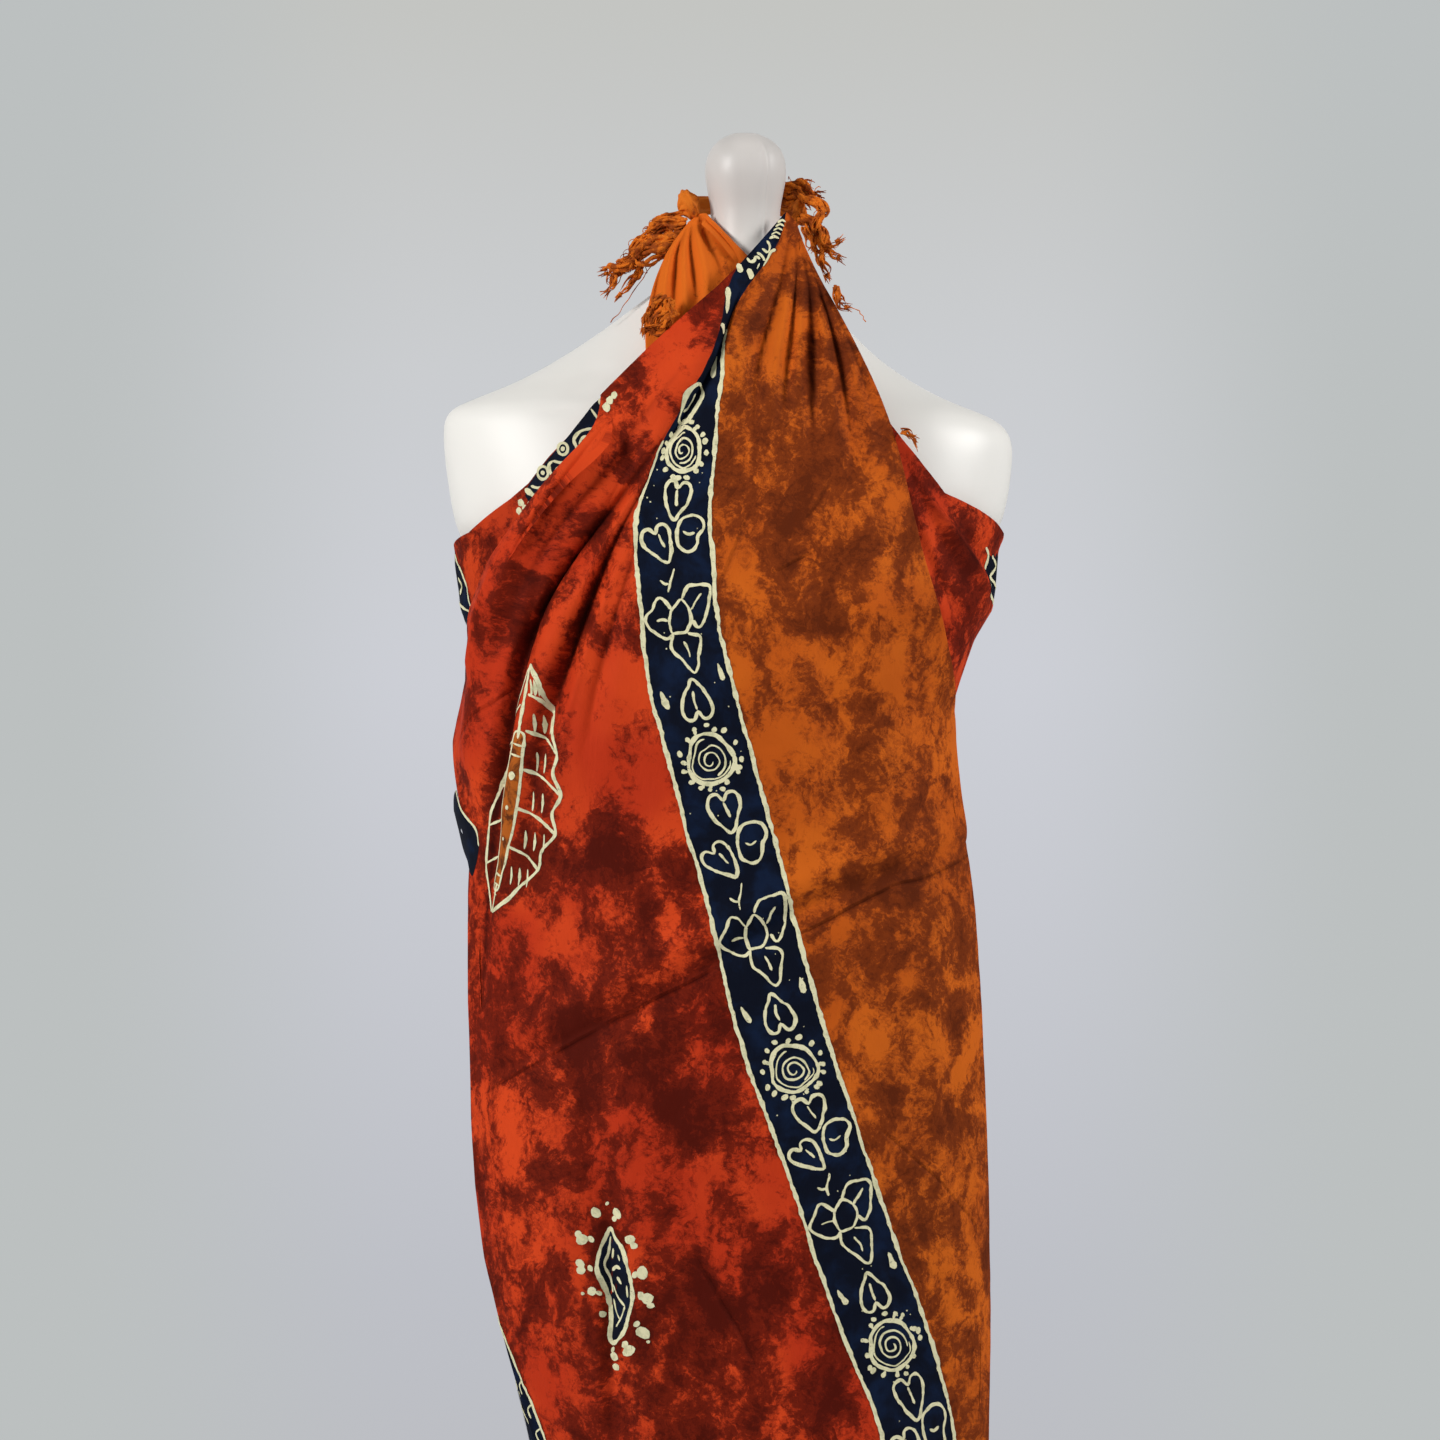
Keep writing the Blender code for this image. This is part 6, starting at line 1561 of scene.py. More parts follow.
def edge_line(where, line, width, low=0.0, high=9.0):
    dense, length = resampled(line, 400)
    keep = (dense[:, 1] > low) & (dense[:, 1] < high)
    dense = dense[keep]
    n = max(8, int(np.hypot(*np.diff(dense, axis=0).T).sum() / 0.0012))
    path, _ = resampled(dense, n)
    run = np.arange(n) * 0.0012
    wander = 0.0011 * (value_noise(run / 0.011, run * 0 + width * 1000, 1) - 0.5) + 0.0007 * (value_noise(run / 0.003, run * 0, 2) - 0.5)
    path = path + np.stack([wander, 0 * wander], 1)
    stroke(where, path, width)


visible_left = from_station(np.array([655.0]), np.array([441.0]))[1][0]
edge_line("over", OVER_Q[3], 0.0026, hem_z, visible_left)
edge_line("over", OVER_Q[2], 0.0027, hem_z, from_station(np.array([727.0]), np.array([327.0]))[1][0])


def line_st(where, stations, width, closed=False, **more):
    stroke(where, smooth_path(st(*stations), closed, 0.0012), width, closed, **more)


# the gathered start of the band at the neck: a heart under the ridge and short strokes across the pleats
line_st("over", [(692, 385), (700, 388), (703, 396), (697, 408), (688, 421), (681, 424), (676, 418), (677, 404), (683, 392)], 0.0026, True)
line_st("over", [(692, 394), (690, 402), (686, 409), (680, 412)], 0.0018)
line_st("over", [(716, 357), (714, 367), (713, 379)], 0.0034, drawn=[0.4, 0.9, 1.2, 0.9])
line_st("over", [(727, 289), (726, 301), (724, 315)], 0.0034, drawn=[0.9, 1.2, 1.0, 0.5])
line_st("over", [(718, 325), (720, 330), (721, 335)], 0.0034)
line_st("over", [(738, 265), (741, 274)], 0.0034)
line_st("over", [(748, 270), (751, 275), (754, 280)], 0.0034)
line_st("over", [(747, 259), (750, 263), (754, 262), (756, 258), (760, 260)], 0.0021)
line_st("over", [(757, 254), (762, 257), (766, 262)], 0.0018)
line_st("over", [(762, 250), (768, 253), (770, 248), (767, 242)], 0.0018)
line_st("over", [(765, 268), (769, 260), (772, 253), (777, 251)], 0.0030, drawn=[0.3, 0.7, 1.1, 1.1])
line_st("over", [(758, 270), (760, 264)], 0.0016)
for k in range(5):
    line_st("over", [(769.5 + 2.0 * k, 240 - 4.1 * k), (774 + 2.0 * k, 237.5 - 4.1 * k), (779.5 + 1.4 * k, 239.5 - 4.1 * k)], 0.0016)

# the folded medallion low on the front: a lens of dark ground with a pale rim, inner strokes and dots round it
lens = [(611, 1228), (617, 1238), (625, 1248), (630, 1264), (634, 1278), (636, 1296), (632, 1314), (627, 1330), (616, 1342), (611, 1337), (612, 1320), (610, 1300),
        (605, 1283), (600, 1268), (602, 1250), (606, 1238)]
filled("over", "dark", smooth_path(st(*lens), True, 0.003)[:-1])
line_st("over", lens, 0.0030, True)
for marks, wide in (([(611, 1236), (609, 1252), (606, 1264), (611, 1278), (614, 1292)], 0.0014), ([(614, 1248), (613, 1258)], 0.0016), ([(620, 1254), (622, 1260)], 0.0012),
                    ([(613, 1270), (618, 1266), (623, 1268)], 0.0026), ([(619, 1276), (624, 1283)], 0.0018), ([(614, 1284), (620, 1296), (628, 1305)], 0.0015),
                    ([(628, 1305), (624, 1316), (618, 1326)], 0.0013), ([(615, 1298), (618, 1310), (622, 1318)], 0.0012), ([(613, 1304), (614, 1318), (613, 1330)], 0.0011),
                    ([(630, 1284), (631, 1296)], 0.0012)):
    line_st("over", marks, wide)
for x, y, r in ((608, 1203, 1.6), (598, 1212, 4.4), (619, 1213, 4.2), (616, 1218, 2.8), (586, 1238, 5.0), (583, 1233, 3.2), (594, 1238, 2.4), (585, 1262, 3.6), (586, 1269, 4.0),
                (594, 1267, 2.4), (596, 1290, 4.2), (588, 1292, 1.6), (602, 1292, 2.0), (605, 1313, 2.8), (633, 1238, 4.4), (637, 1244, 3.4), (645, 1271, 5.0),
                (638, 1273, 2.6), (650, 1297, 5.0), (644, 1294, 3.0), (653, 1304, 2.6), (640, 1322, 2.6), (646, 1331, 5.0), (651, 1340, 1.6), (632, 1349, 4.8), (628, 1343, 3.0),
                (616, 1356, 4.2), (618, 1366, 3.4), (614, 1349, 2.0)):
    blob("over", st((x, y))[0], r * STATION * 1.05, 1.0 + 0.5 * pen.random(), pen.random() * 3)

# a broad pointed leaf with a rust rib at the wearer's right hip: a plain plant ornament of the print's own colours
rib = np.array([(541, 664), (536, 700), (529, 742), (522, 786), (515, 830), (507, 872), (498, 912)], float)
half = np.array([0.6, 2.0, 4.5, 7.0, 7.0, 4.5, 1.0])
rim_reach = np.array([1.0, 17.0, 32.0, 42.0, 43.0, 31.0, 2.0])


def on_leaf(f, across):
    """A station on the leaf: f down the rib from 0 to 1, across in stations, + to the viewer's right."""
    k = np.linspace(0, 1, 7)
    return float(np.interp(f, k, rib[:, 0])) + across, float(np.interp(f, k, rib[:, 1])) + 0.22 * across


def spread_at(values, f):
    return float(np.interp(f, np.linspace(0, 1, 7), values))


rust = [on_leaf(f, spread_at(half, f)) for f in np.linspace(0.30, 0.90, 9)] + [on_leaf(f, -spread_at(half, f)) for f in np.linspace(0.90, 0.30, 9)]
filled("over", "rust", smooth_path(st(*rust), True, 0.003)[:-1])
line_st("over", rust, 0.0017, True)
line_st("over", [on_leaf(f, 0.0) for f in np.linspace(0.0, 0.32, 5)], 0.0022)
line_st("over", [on_leaf(f, 0.0) for f in np.linspace(0.88, 1.0, 4)], 0.0022)
tips = np.linspace(0.06, 0.94, 7)
rim = [on_leaf(0.0, 0.0)]
for k, f in enumerate(tips):
    rim.append(on_leaf(f, spread_at(rim_reach, f)))
    if k < 6:
        mid_f = f + 0.5 * (tips[1] - tips[0])
        rim.append(on_leaf(mid_f, spread_at(rim_reach, mid_f) * 0.86))
rim.append(on_leaf(1.0, 0.0))
line_st("over", rim, 0.0024)
line_st("over", [on_leaf(f, -0.50 * spread_at(rim_reach, f)) for f in np.linspace(0.02, 1.0, 12)], 0.0020)
for k, f in enumerate(tips[1:-1]):
    h, far = spread_at(half, f), spread_at(rim_reach, f)
    line_st("over", [on_leaf(f - 0.07, h), on_leaf(f - 0.045, 0.5 * (h + far)), on_leaf(f, far)], 0.0021)
    line_st("over", [on_leaf(f - 0.02, -h), on_leaf(f + 0.02, -0.50 * far)], 0.0016)
for k, f in enumerate(tips[:-1]):
    mid_f = f + 0.5 * (tips[1] - tips[0]) - 0.03
    h, far = spread_at(half, mid_f), spread_at(rim_reach, mid_f)
    for share in (0.30, 0.55, 0.80):
        across = h + share * (far - h)
        if far > 9 and pen.random() < 0.9:
            line_st("over", [on_leaf(mid_f - 0.036, across - 1.5), on_leaf(mid_f, across), on_leaf(mid_f + 0.036, across + 0.6)], 0.0016, drawn=[0.5, 1.1, 0.6])
for f in (0.34, 0.38, 0.84, 0.88, 0.92):
    line_st("over", [on_leaf(f, -spread_at(half, f) + 0.5), on_leaf(f + 0.006, spread_at(half, f) - 0.5)], 0.0015)
for f, r in ((0.46, 3.2), (0.58, 1.8), (0.70, 1.4)):
    blob("over", st(on_leaf(f, 0.0))[0], r * STATION, 1.3)

# the border past the fold's edge, low at the wearer's right
zl = np.linspace(0.660, HEM_FRONT + 0.006, 120)
edge_line("over", np.stack([border_past_fold(zl), zl], 1), 0.0022)
for zc in (0.612, 0.596, 0.580, 0.566, 0.548, 0.520, 0.495, 0.470, 0.440, 0.410, 0.380, 0.350, 0.320, 0.295):
    inner_q, reach = float(border_past_fold(np.array([zc]))[0]), float(border_past_fold(np.array([zc]))[0] - over_edge_q(np.array([zc]))[0])
    stroke("over", smooth_path([(inner_q - 0.25 * reach, zc + 0.005), (inner_q - 0.62 * reach, zc + 0.001), (inner_q - 0.40 * reach, zc - 0.005)], False), 0.0015)
sliver = [(465, 790), (468, 804), (474, 817), (482, 830), (485, 846), (484, 861), (481, 876), (477, 861), (471, 844), (466, 826), (462, 808)]
filled("over", "dark", smooth_path(st(*sliver), True, 0.002)[:-1])
line_st("over", sliver[:5], 0.0018)

# the dark medallion on the deeper strip at the wearer's right shoulder, with rings of wax
strip = [(597, 401), (612, 396), (616, 424), (602, 446), (586, 466), (570, 486), (552, 508), (540, 508), (525, 494), (543, 466), (566, 439), (582, 419)]
filled("back", "dark", smooth_path(st(*strip), True, 0.003)[:-1])
line_st("back", [(599, 399), (604, 408), (609, 420)], 0.0036)
line_st("back", [(525, 489), (534, 496), (544, 504)], 0.0036)
line_st("back", [(591, 409), (597, 418), (601, 428)], 0.0015)
for x, y, r in ((586, 444, 6.2), (563, 449, 5.2), (561, 474, 6.0), (543, 473, 5.6), (600, 436, 3.4)):
    a = np.linspace(0, 2 * math.pi, 13)[:-1]
    line_st("back", [(x + r * math.cos(b) * 0.95, y + 1.15 * r * math.sin(b)) for b in a], 0.0019, True)
    blob("back", st((x, y))[0], 0.0016)
line_st("back", [(601, 428), (590, 429), (580, 432), (574, 440), (577, 450), (571, 461), (562, 463), (553, 461)], 0.0024)
line_st("back", [(553, 461), (549, 466), (552, 478), (548, 486), (538, 488), (531, 486)], 0.0022)
line_st("back", [(571, 461), (570, 470), (573, 478)], 0.0020)
for x, y in ((614, 402), (618, 397), (611, 409), (521, 503), (525, 508), (530, 505), (519, 511)):
    blob("back" if x < 600 else "over", st((x, y))[0], 0.0021 + 0.0008 * pen.random(), 1.25, pen.random())


# the band down the wearer's right side, seen edge on from the front
def on_side_band(p):
    p = np.asarray(p, float)
    z = 1.120 - p[:, 1] / 1000.0
    return np.stack([band_inner_q(z) - BAND_WIDE / 2 + p[:, 0] / 1000.0, z], 1)


before, patches_before = len(STROKES["back"]), len(PATCHES["back"])
draw_band("back", on_side_band, 0, 4)
clip_strokes("back", before, 0.250, 1.122)
PATCHES["back"][patches_before:] = [p for p in PATCHES["back"][patches_before:] if 0.250 < p[2][:, 1].min() and p[2][:, 1].max() < 1.122]
zz = np.linspace(1.186, 0.238, 340)
edge_line("back", np.stack([band_inner_q(zz), zz], 1), 0.0026)
edge_line("back", np.stack([band_inner_q(zz) - BAND_WIDE, zz], 1), 0.0028)
line_st("back", [(459, 578), (462, 586), (461, 594)], 0.0030)
line_st("back", [(458, 600), (463, 607), (470, 612)], 0.0022)
line_st("under", [(987.5, 547), (990, 556), (989, 575), (990, 592), (993, 603)], 0.0026)
line_st("under", [(993, 556), (996, 566), (993, 578), (996, 590)], 0.0026)


def medallion(where, angle, height, radius, seed):
    """A round medallion on the field: dark ground, pale rim, petals and a ring of dots."""
    q0 = float(angle_to_q(angle, height))
    a = np.linspace(0, 2 * math.pi, 37)[:-1]
    wob = 1 + 0.03 * np.sin(4 * a + seed)
    filled(where, "dark", np.stack([q0 + radius * wob * np.cos(a), height + radius * wob * np.sin(a)], 1))

    def circle(r, width, squash=1.0, cx=0.0, cy=0.0, n=25):
        b = np.linspace(0, 2 * math.pi, n)[:-1]
        stroke(where, smooth_path(np.stack([q0 + cx + r * np.cos(b), height + cy + r * squash * np.sin(b)], 1), True), width, True)

    circle(radius, 0.0028)
    circle(radius * 0.30, 0.0022)
    blob(where, (q0, height), 0.0026)
    for k in range(7):
        b = 2 * math.pi * k / 7 + seed
        c, s = math.cos(b), math.sin(b)
        petal = [(0.34, 0.0), (0.52, 0.15), (0.74, 0.14), (0.90, 0.0), (0.74, -0.14), (0.52, -0.15)]
        pts = [(q0 + radius * (x * c - y * s), height + radius * (x * s + y * c)) for x, y in petal]
        stroke(where, smooth_path(pts, True), 0.0020, True)
        stroke(where, smooth_path([(q0 + radius * x * c, height + radius * x * s) for x in (0.46, 0.6, 0.78)], False), 0.0016)
    for k in range(20):
        b = 2 * math.pi * k / 20
        r = radius * (1.20 + 0.05 * (k % 2))
        blob(where, (q0 + r * math.cos(b), height + r * math.sin(b)), 0.0022, 1.2, b)


for angle, height, seed in ((-205, 1.02, 0.3), (-160, 0.80, 1.1), (-215, 0.62, 2.0), (-158, 0.44, 0.7), (-228, 0.36, 1.7)):
    medallion("back", angle, height, 0.045, seed)

DRAWING = flush_drawing()


# ---------------------------------------------------------------- the tie behind the neck, knots and fringe
def at_station(x, y, depth):
    """World point seen at a station, at a given depth Y."""
    scale = STATION * (EYE_DISTANCE + depth) / EYE_DISTANCE
    return np.array([EYE_X + (x - CENTRE_STATION[0]) * scale, depth, EYE_Z - (y - CENTRE_STATION[1]) * scale])


def curve_through(points, count):
    p = np.array(points, float)
    p = np.vstack([2 * p[0] - p[1], p, 2 * p[-1] - p[-2]])
    out = []
    for k in range(1, len(p) - 2):
        for t in np.linspace(0, 1, 20, endpoint=False):
            a, b, c, d = p[k - 1], p[k], p[k + 1], p[k + 2]
            out.append(0.5 * (2 * b + (c - a) * t + (2 * a - 5 * b + 4 * c - d) * t ** 2 + (3 * b - a - 3 * c + d) * t ** 3))
    out.append(p[-2])
    out = np.array(out)
    run = np.concatenate([[0], np.cumsum(np.linalg.norm(np.diff(out, axis=0), axis=1))])
    at = np.linspace(0, run[-1], count)
    return np.stack([np.interp(at, run, out[:, c]) for c in range(3)], axis=1)


def frames(path):
    """Tangent, side and over directions carried along a path without twist."""
    tangent = np.gradient(path, axis=0)
    tangent /= np.maximum(np.linalg.norm(tangent, axis=1)[:, None], 1e-9)
    side = np.zeros_like(path)
    guess = np.cross(tangent[0], (0.0, 0.0, 1.0))
    if np.linalg.norm(guess) < 0.1:
        guess = np.cross(tangent[0], (0.0, 1.0, 0.0))
    side[0] = guess / np.linalg.norm(guess)
    for k in range(1, len(path)):
        s = side[k - 1] - tangent[k] * (side[k - 1] @ tangent[k])
        side[k] = s / max(np.linalg.norm(s), 1e-9)
    return tangent, side, np.cross(tangent, side)


class Bundle:
    """Collects closed tubes into one mesh."""

    def __init__(self):
        self.points, self.faces, self.start = [], [], 0

    def tube(self, path, radii, sides_count=6, lumps=None):
        path = np.asarray(path, float)
        n, m = len(path), sides_count
        _, side, over_ = frames(path)
        a = 2 * math.pi * np.arange(m) / m
        r = np.broadcast_to(np.asarray(radii, float).reshape(-1, 1), (n, 1)) * (np.ones((n, m)) if lumps is None else lumps)
        ring_ = path[:, None] + r[..., None] * (np.cos(a)[None, :, None] * side[:, None] + np.sin(a)[None, :, None] * over_[:, None])
        self.points += [ring_.reshape(-1, 3), path[:1], path[-1:]]
        k, j = np.meshgrid(np.arange(n - 1), np.arange(m), indexing="ij")
        q0, q1 = k * m + j, k * m + (j + 1) % m
        quads = np.stack([q0, q1, q1 + m, q0 + m], -1).reshape(-1, 4) + self.start
        j = np.arange(m)
        head = np.stack([np.full(m, n * m), (j + 1) % m, j], 1) + self.start
        tail = np.stack([np.full(m, n * m + 1), (n - 1) * m + j, (n - 1) * m + (j + 1) % m], 1) + self.start
        self.faces += [quads, head, tail]
        self.start += n * m + 2

    def build(self, name, mat):
        quads = [f for f in self.faces]
        return add(name, np.concatenate(self.points), [row for f in quads for row in f], mat)


yarn = np.random.default_rng(23)


def tassel(bundle, stations, radius, strands=10, pitch=0.060, fuzz=7):
    """A lock of warp ends: crinkled yarns lying loosely together and ending at uneven lengths."""
    path = curve_through([at_station(*p) for p in stations], 12)
    length = np.linalg.norm(np.diff(path, axis=0), axis=1).sum()
    n = max(18, int(length / 0.0009))
    path = curve_through(path, n)
    run = np.linspace(0, length, n)
    t = run / length
    seed = yarn.random(3) * 90
    kink = np.stack([value_noise(run / 0.009 + seed[i], run * 0 + i, i) - 0.5 for i in range(3)], 1)
    path = path + kink * 0.0040 * np.clip(t * 4, 0, 1)[:, None]
    _, side, over_ = frames(path)
    body = radius * (0.72 + 0.60 * value_noise(run / 0.008 + seed[0], run * 0, 2)) * np.interp(t, [0, 0.10, 0.75, 1], [0.65, 1.0, 1.05, 0.85])
    for p in range(strands):
        stop = n if p < 2 else int(n * yarn.uniform(0.62, 1.0))
        stop = max(stop, 12)
        away = yarn.uniform(0.05, 0.92) ** 0.7
        phase = yarn.random() * 2 * math.pi
        turn = phase + 2 * math.pi * run / (pitch * yarn.uniform(0.7, 1.8))
        wob = np.stack([value_noise(run / 0.0050 + yarn.random() * 60, run * 0 + i, (i + p) % 6) - 0.5 for i in range(3)], 1) * 0.0034
        centre = path + (away * body)[:, None] * (np.cos(turn)[:, None] * side + np.sin(turn)[:, None] * over_) + wob
        thick = radius * yarn.uniform(0.24, 0.42) * (0.70 + 0.60 * value_noise(run / 0.0045 + p, run * 0, 1))
        thick = thick[:stop] * np.clip((stop - 1 - np.arange(stop)) / 11.0, 0.12, 1)
        a = 2 * math.pi * np.arange(7) / 7
        twist = 2 * math.pi * run[:stop, None] / 0.0060
        lumps = 1 + 0.16 * np.cos(2 * a[None] + twist) + 0.26 * (value_noise(a[None] * 1.1 + seed[1], run[:stop, None] / 0.0016, 3) - 0.5)
        bundle.tube(centre[:stop], thick, 7, lumps)
    for _ in range(fuzz):
        lo = yarn.uniform(0, 0.8)
        keep = (t >= lo) & (t <= min(1.0, lo + yarn.uniform(0.08, 0.20)))
        if keep.sum() < 6:
            continue
        s = run[keep]
        swing = 2 * math.pi * s / yarn.uniform(0.008, 0.020) + yarn.random() * 6
        away = body[keep] * yarn.uniform(0.95, 1.10) + 0.0012 * np.sin(math.pi * (s - s[0]) / (s[-1] - s[0] + 1e-9)) * yarn.uniform(0.2, 1.0)
        fibre = path[keep] + away[:, None] * (np.cos(swing)[:, None] * side[keep] + np.sin(swing)[:, None] * over_[keep])
        bundle.tube(fibre, yarn.uniform(0.00018, 0.00034), 4)
    tip, along = path[-1], path[-1] - path[-4]
    along /= max(np.linalg.norm(along), 1e-9)
    for _ in range(fuzz + 3):
        spread = yarn.normal(size=3)
        spread -= along * (spread @ along)
        spread /= max(np.linalg.norm(spread), 1e-9)
        reach = yarn.uniform(0.0015, 0.0042)
        s = np.linspace(0, 1, 9)[:, None]
        bend = yarn.normal(size=3) * 0.0009
        fibre = tip - along * 0.005 + along * reach * s * 1.7 + spread * (radius * 0.55 + reach * 0.22 * s ** 1.5) * 0.8 + bend * s ** 2
        bundle.tube(fibre, np.linspace(0.00075, 0.00018, 9), 5)


def thread(bundle, stations, radius=0.00032):
    path = curve_through([at_station(*p) for p in stations], 40)
    run = np.linspace(0, 1, 40)
    seed = yarn.random() * 50
    path = path + 0.0012 * np.stack([value_noise(run * 9 + seed, run * 0 + i, i) - 0.5 for i in range(3)], 1) * np.clip(run * 6, 0, 1)[:, None]
    bundle.tube(path, radius * (0.8 + 0.5 * value_noise(run * 20, run * 0, 1)), 5)


FRINGES = {
    "fringe_right_side": [
        ([(684, 221, -0.010), (668, 224, -0.013), (652, 231, -0.016), (640, 242, -0.018)], 0.0050, 13),
        ([(646, 236, -0.017), (634, 248, -0.020), (626, 261, -0.021), (613, 268, -0.022), (598, 272, -0.022)], 0.0040, 11),
        ([(688, 234, -0.011), (668, 246, -0.016), (652, 258, -0.019), (640, 264, -0.021), (630, 268, -0.021)], 0.0052, 13),
        ([(632, 258, -0.019), (622, 269, -0.021), (613, 284, -0.022), (606, 297, -0.022)], 0.0028, 8),
        ([(642, 262, -0.020), (636, 274, -0.022), (628, 286, -0.023), (619, 298, -0.023)], 0.0030, 8),
        ([(686, 227, -0.010), (668, 234, -0.014), (654, 244, -0.017), (642, 253, -0.019), (632, 262, -0.021)], 0.0048, 12),
        ([(652, 238, -0.017), (640, 250, -0.019), (628, 262, -0.021), (616, 268, -0.022)], 0.0040, 10),
        ([(684, 214, -0.006), (672, 216, -0.009), (661, 221, -0.012), (648, 231, -0.014)], 0.0028, 8)],
    "fringe_left_side": [
        ([(800, 198, 0.006), (811, 201, 0.004), (819, 209, 0.002), (817, 222, -0.001), (808, 236, -0.002)], 0.0040, 11),
        ([(799, 219, 0.004), (811, 224, 0.002), (821, 233, -0.002), (828, 244, -0.005), (842, 241, -0.006)], 0.0038, 11),
        ([(812, 228, 0.002), (822, 240, -0.002), (831, 252, -0.005), (845, 258, -0.006)], 0.0038, 10),
        ([(814, 236, -0.001), (819, 250, -0.004), (823, 264, -0.007), (829, 279, -0.008)], 0.0034, 9),
        ([(806, 226, 0.002), (810, 240, -0.001), (813, 252, -0.004)], 0.0026, 7)],
    "fringe_left_top": [
        ([(779, 192, 0.030), (789, 187, 0.025), (800, 187, 0.022), (811, 190, 0.019), (822, 198, 0.016)], 0.0052, 14),
        ([(781, 198, 0.028), (792, 197, 0.022), (804, 200, 0.017), (813, 206, 0.012)], 0.0046, 12)],
    "fringe_under_edge": [
        ([(664, 296, -0.077), (656, 302, -0.079), (650, 312, -0.082), (648, 326, -0.086)], 0.0034, 10),
        ([(668, 303, -0.079), (662, 314, -0.083), (656, 324, -0.086), (650, 332, -0.088)], 0.0038, 11),
        ([(671, 300, -0.079), (670, 312, -0.083), (668, 324, -0.087)], 0.0030, 9),
        ([(676, 312, -0.084), (666, 321, -0.086), (656, 327, -0.087), (644, 330, -0.087)], 0.0034, 10),
        ([(657, 300, -0.077), (649, 312, -0.081), (643, 322, -0.085), (641, 333, -0.087)], 0.0026, 8)],
    "fringe_over_edge": [
        ([(836, 288, -0.069), (839, 298, -0.071), (842, 306, -0.071), (852, 308, -0.070)], 0.0030, 9)],
    "fringe_over_fold": [
        ([(902, 431, -0.095), (908, 436, -0.094), (913, 444, -0.091)], 0.0022, 7),
        ([(905, 430, -0.094), (912, 435, -0.092), (917, 441, -0.090)], 0.0018, 6)],
}
FRINGE_PIECES = {}
for name, locks in FRINGES.items():
    bundle = Bundle()
    for stations, radius, strands in locks:
        tassel(bundle, stations, radius, strands)
    if name == "fringe_right_side":
        thread(bundle, [(655, 262, -0.018), (641, 280, -0.022), (626, 302, -0.024), (611, 323, -0.025)])
        thread(bundle, [(640, 262, -0.019), (622, 276, -0.022), (613, 290, -0.023), (600, 292, -0.022)])
    if name == "fringe_over_edge":
        thread(bundle, [(845, 306, -0.071), (858, 311, -0.069), (866, 322, -0.068)])
    FRINGE_PIECES[name] = bundle.build(name + "_yarn", FRINGE_MAT)
    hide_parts(name)

KNOT_RIGHT_SIDE = at_station(689, 205, -0.006)
KNOT_LEFT_SIDE = at_station(797, 213, 0.014)


def knot(name, centre, size, tilt, seed):
    """A small cloth knot: one turn of pleated cloth drawn over a gathered core."""
    turns, rings = 72, 56
    t = np.linspace(0.0, math.pi, rings)[:, None]
    a = np.linspace(0, 2 * math.pi, turns, endpoint=False)[None]
    x, y, z = np.sin(t) * np.cos(a), np.sin(t) * np.sin(a), np.cos(t) + 0 * a
    d = np.stack([x, y, z], -1)
    c, s = math.cos(tilt), math.sin(tilt)
    axis = np.array([c, 0.0, s])
    lat = d @ axis                                   # distance from the turn's middle
    round_ = np.arctan2(d @ np.array([-s, 0, c]), -d[..., 1])
    band = np.exp(-(lat / 0.46) ** 4)
    pleats = np.cos(lat * 15 + 1.2 * np.sin(round_ * 2 + seed) + seed)
    gathers = np.cos(round_ * 7 + 2.0 * lat + seed * 2)
    r = 0.80 + 0.30 * band + 0.060 * band * pleats + 0.075 * (1 - band) * gathers
    r = r + 0.10 * (value_noise(d[..., 0] * 2.2 + 5 + seed, d[..., 2] * 2.2 + 7 + d[..., 1], 2) - 0.5)
    p = np.array(centre) + d * r[..., None] * np.array(size)
    points = p.reshape(-1, 3)
    i, j = np.meshgrid(np.arange(rings - 1), np.arange(turns), indexing="ij")
    q0, q1 = i * turns + j, i * turns + (j + 1) % turns
    obj = add(name, points, np.stack([q0, q0 + turns, q1 + turns, q1], -1).reshape(-1, 4), KNOT_MAT)
    return obj


knot_r = knot("knot_right_side_cloth", KNOT_RIGHT_SIDE, (0.0092, 0.0088, 0.0102), 0.5, 1.0)
knot_l = knot("knot_left_side_cloth", KNOT_LEFT_SIDE, (0.0082, 0.0088, 0.0096), -0.4, 2.3)
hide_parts("knot_right_side")
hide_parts("knot_left_side")

tie_path = curve_through([(0.0505, 0.0262, 1.4318), (0.0400, 0.0385, 1.4340), (0.0240, 0.0465, 1.4355), (0.0050, 0.0470, 1.4355),
                          (-0.0120, 0.0395, 1.4350), (-0.0235, 0.0260, 1.4345), (-0.0290, 0.0125, 1.4338), (-0.0298, 0.0060, 1.4330)], 150)
tie = Bundle()
s_ = np.linspace(0, 0.115, 150)[:, None]
a_ = 2 * math.pi * np.arange(48)[None] / 48
pleat = 1 + 0.10 * np.cos(6 * a_ + 2 * math.pi * s_ / 0.060) + 0.05 * np.cos(11 * a_ - 2 * math.pi * s_ / 0.05) \
    + 0.10 * (value_noise(a_ * 1.2 + 3, s_ / 0.011, 4) - 0.5)
tie.tube(tie_path, np.interp(np.linspace(0, 1, 150), [0, 0.25, 0.5, 0.75, 1], [0.0056, 0.0066, 0.0068, 0.0060, 0.0044]), 48, pleat)
neck_tie = tie.build("neck_tie_cloth", KNOT_MAT)
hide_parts("neck_tie")

# ---------------------------------------------------------------- the form and its stand


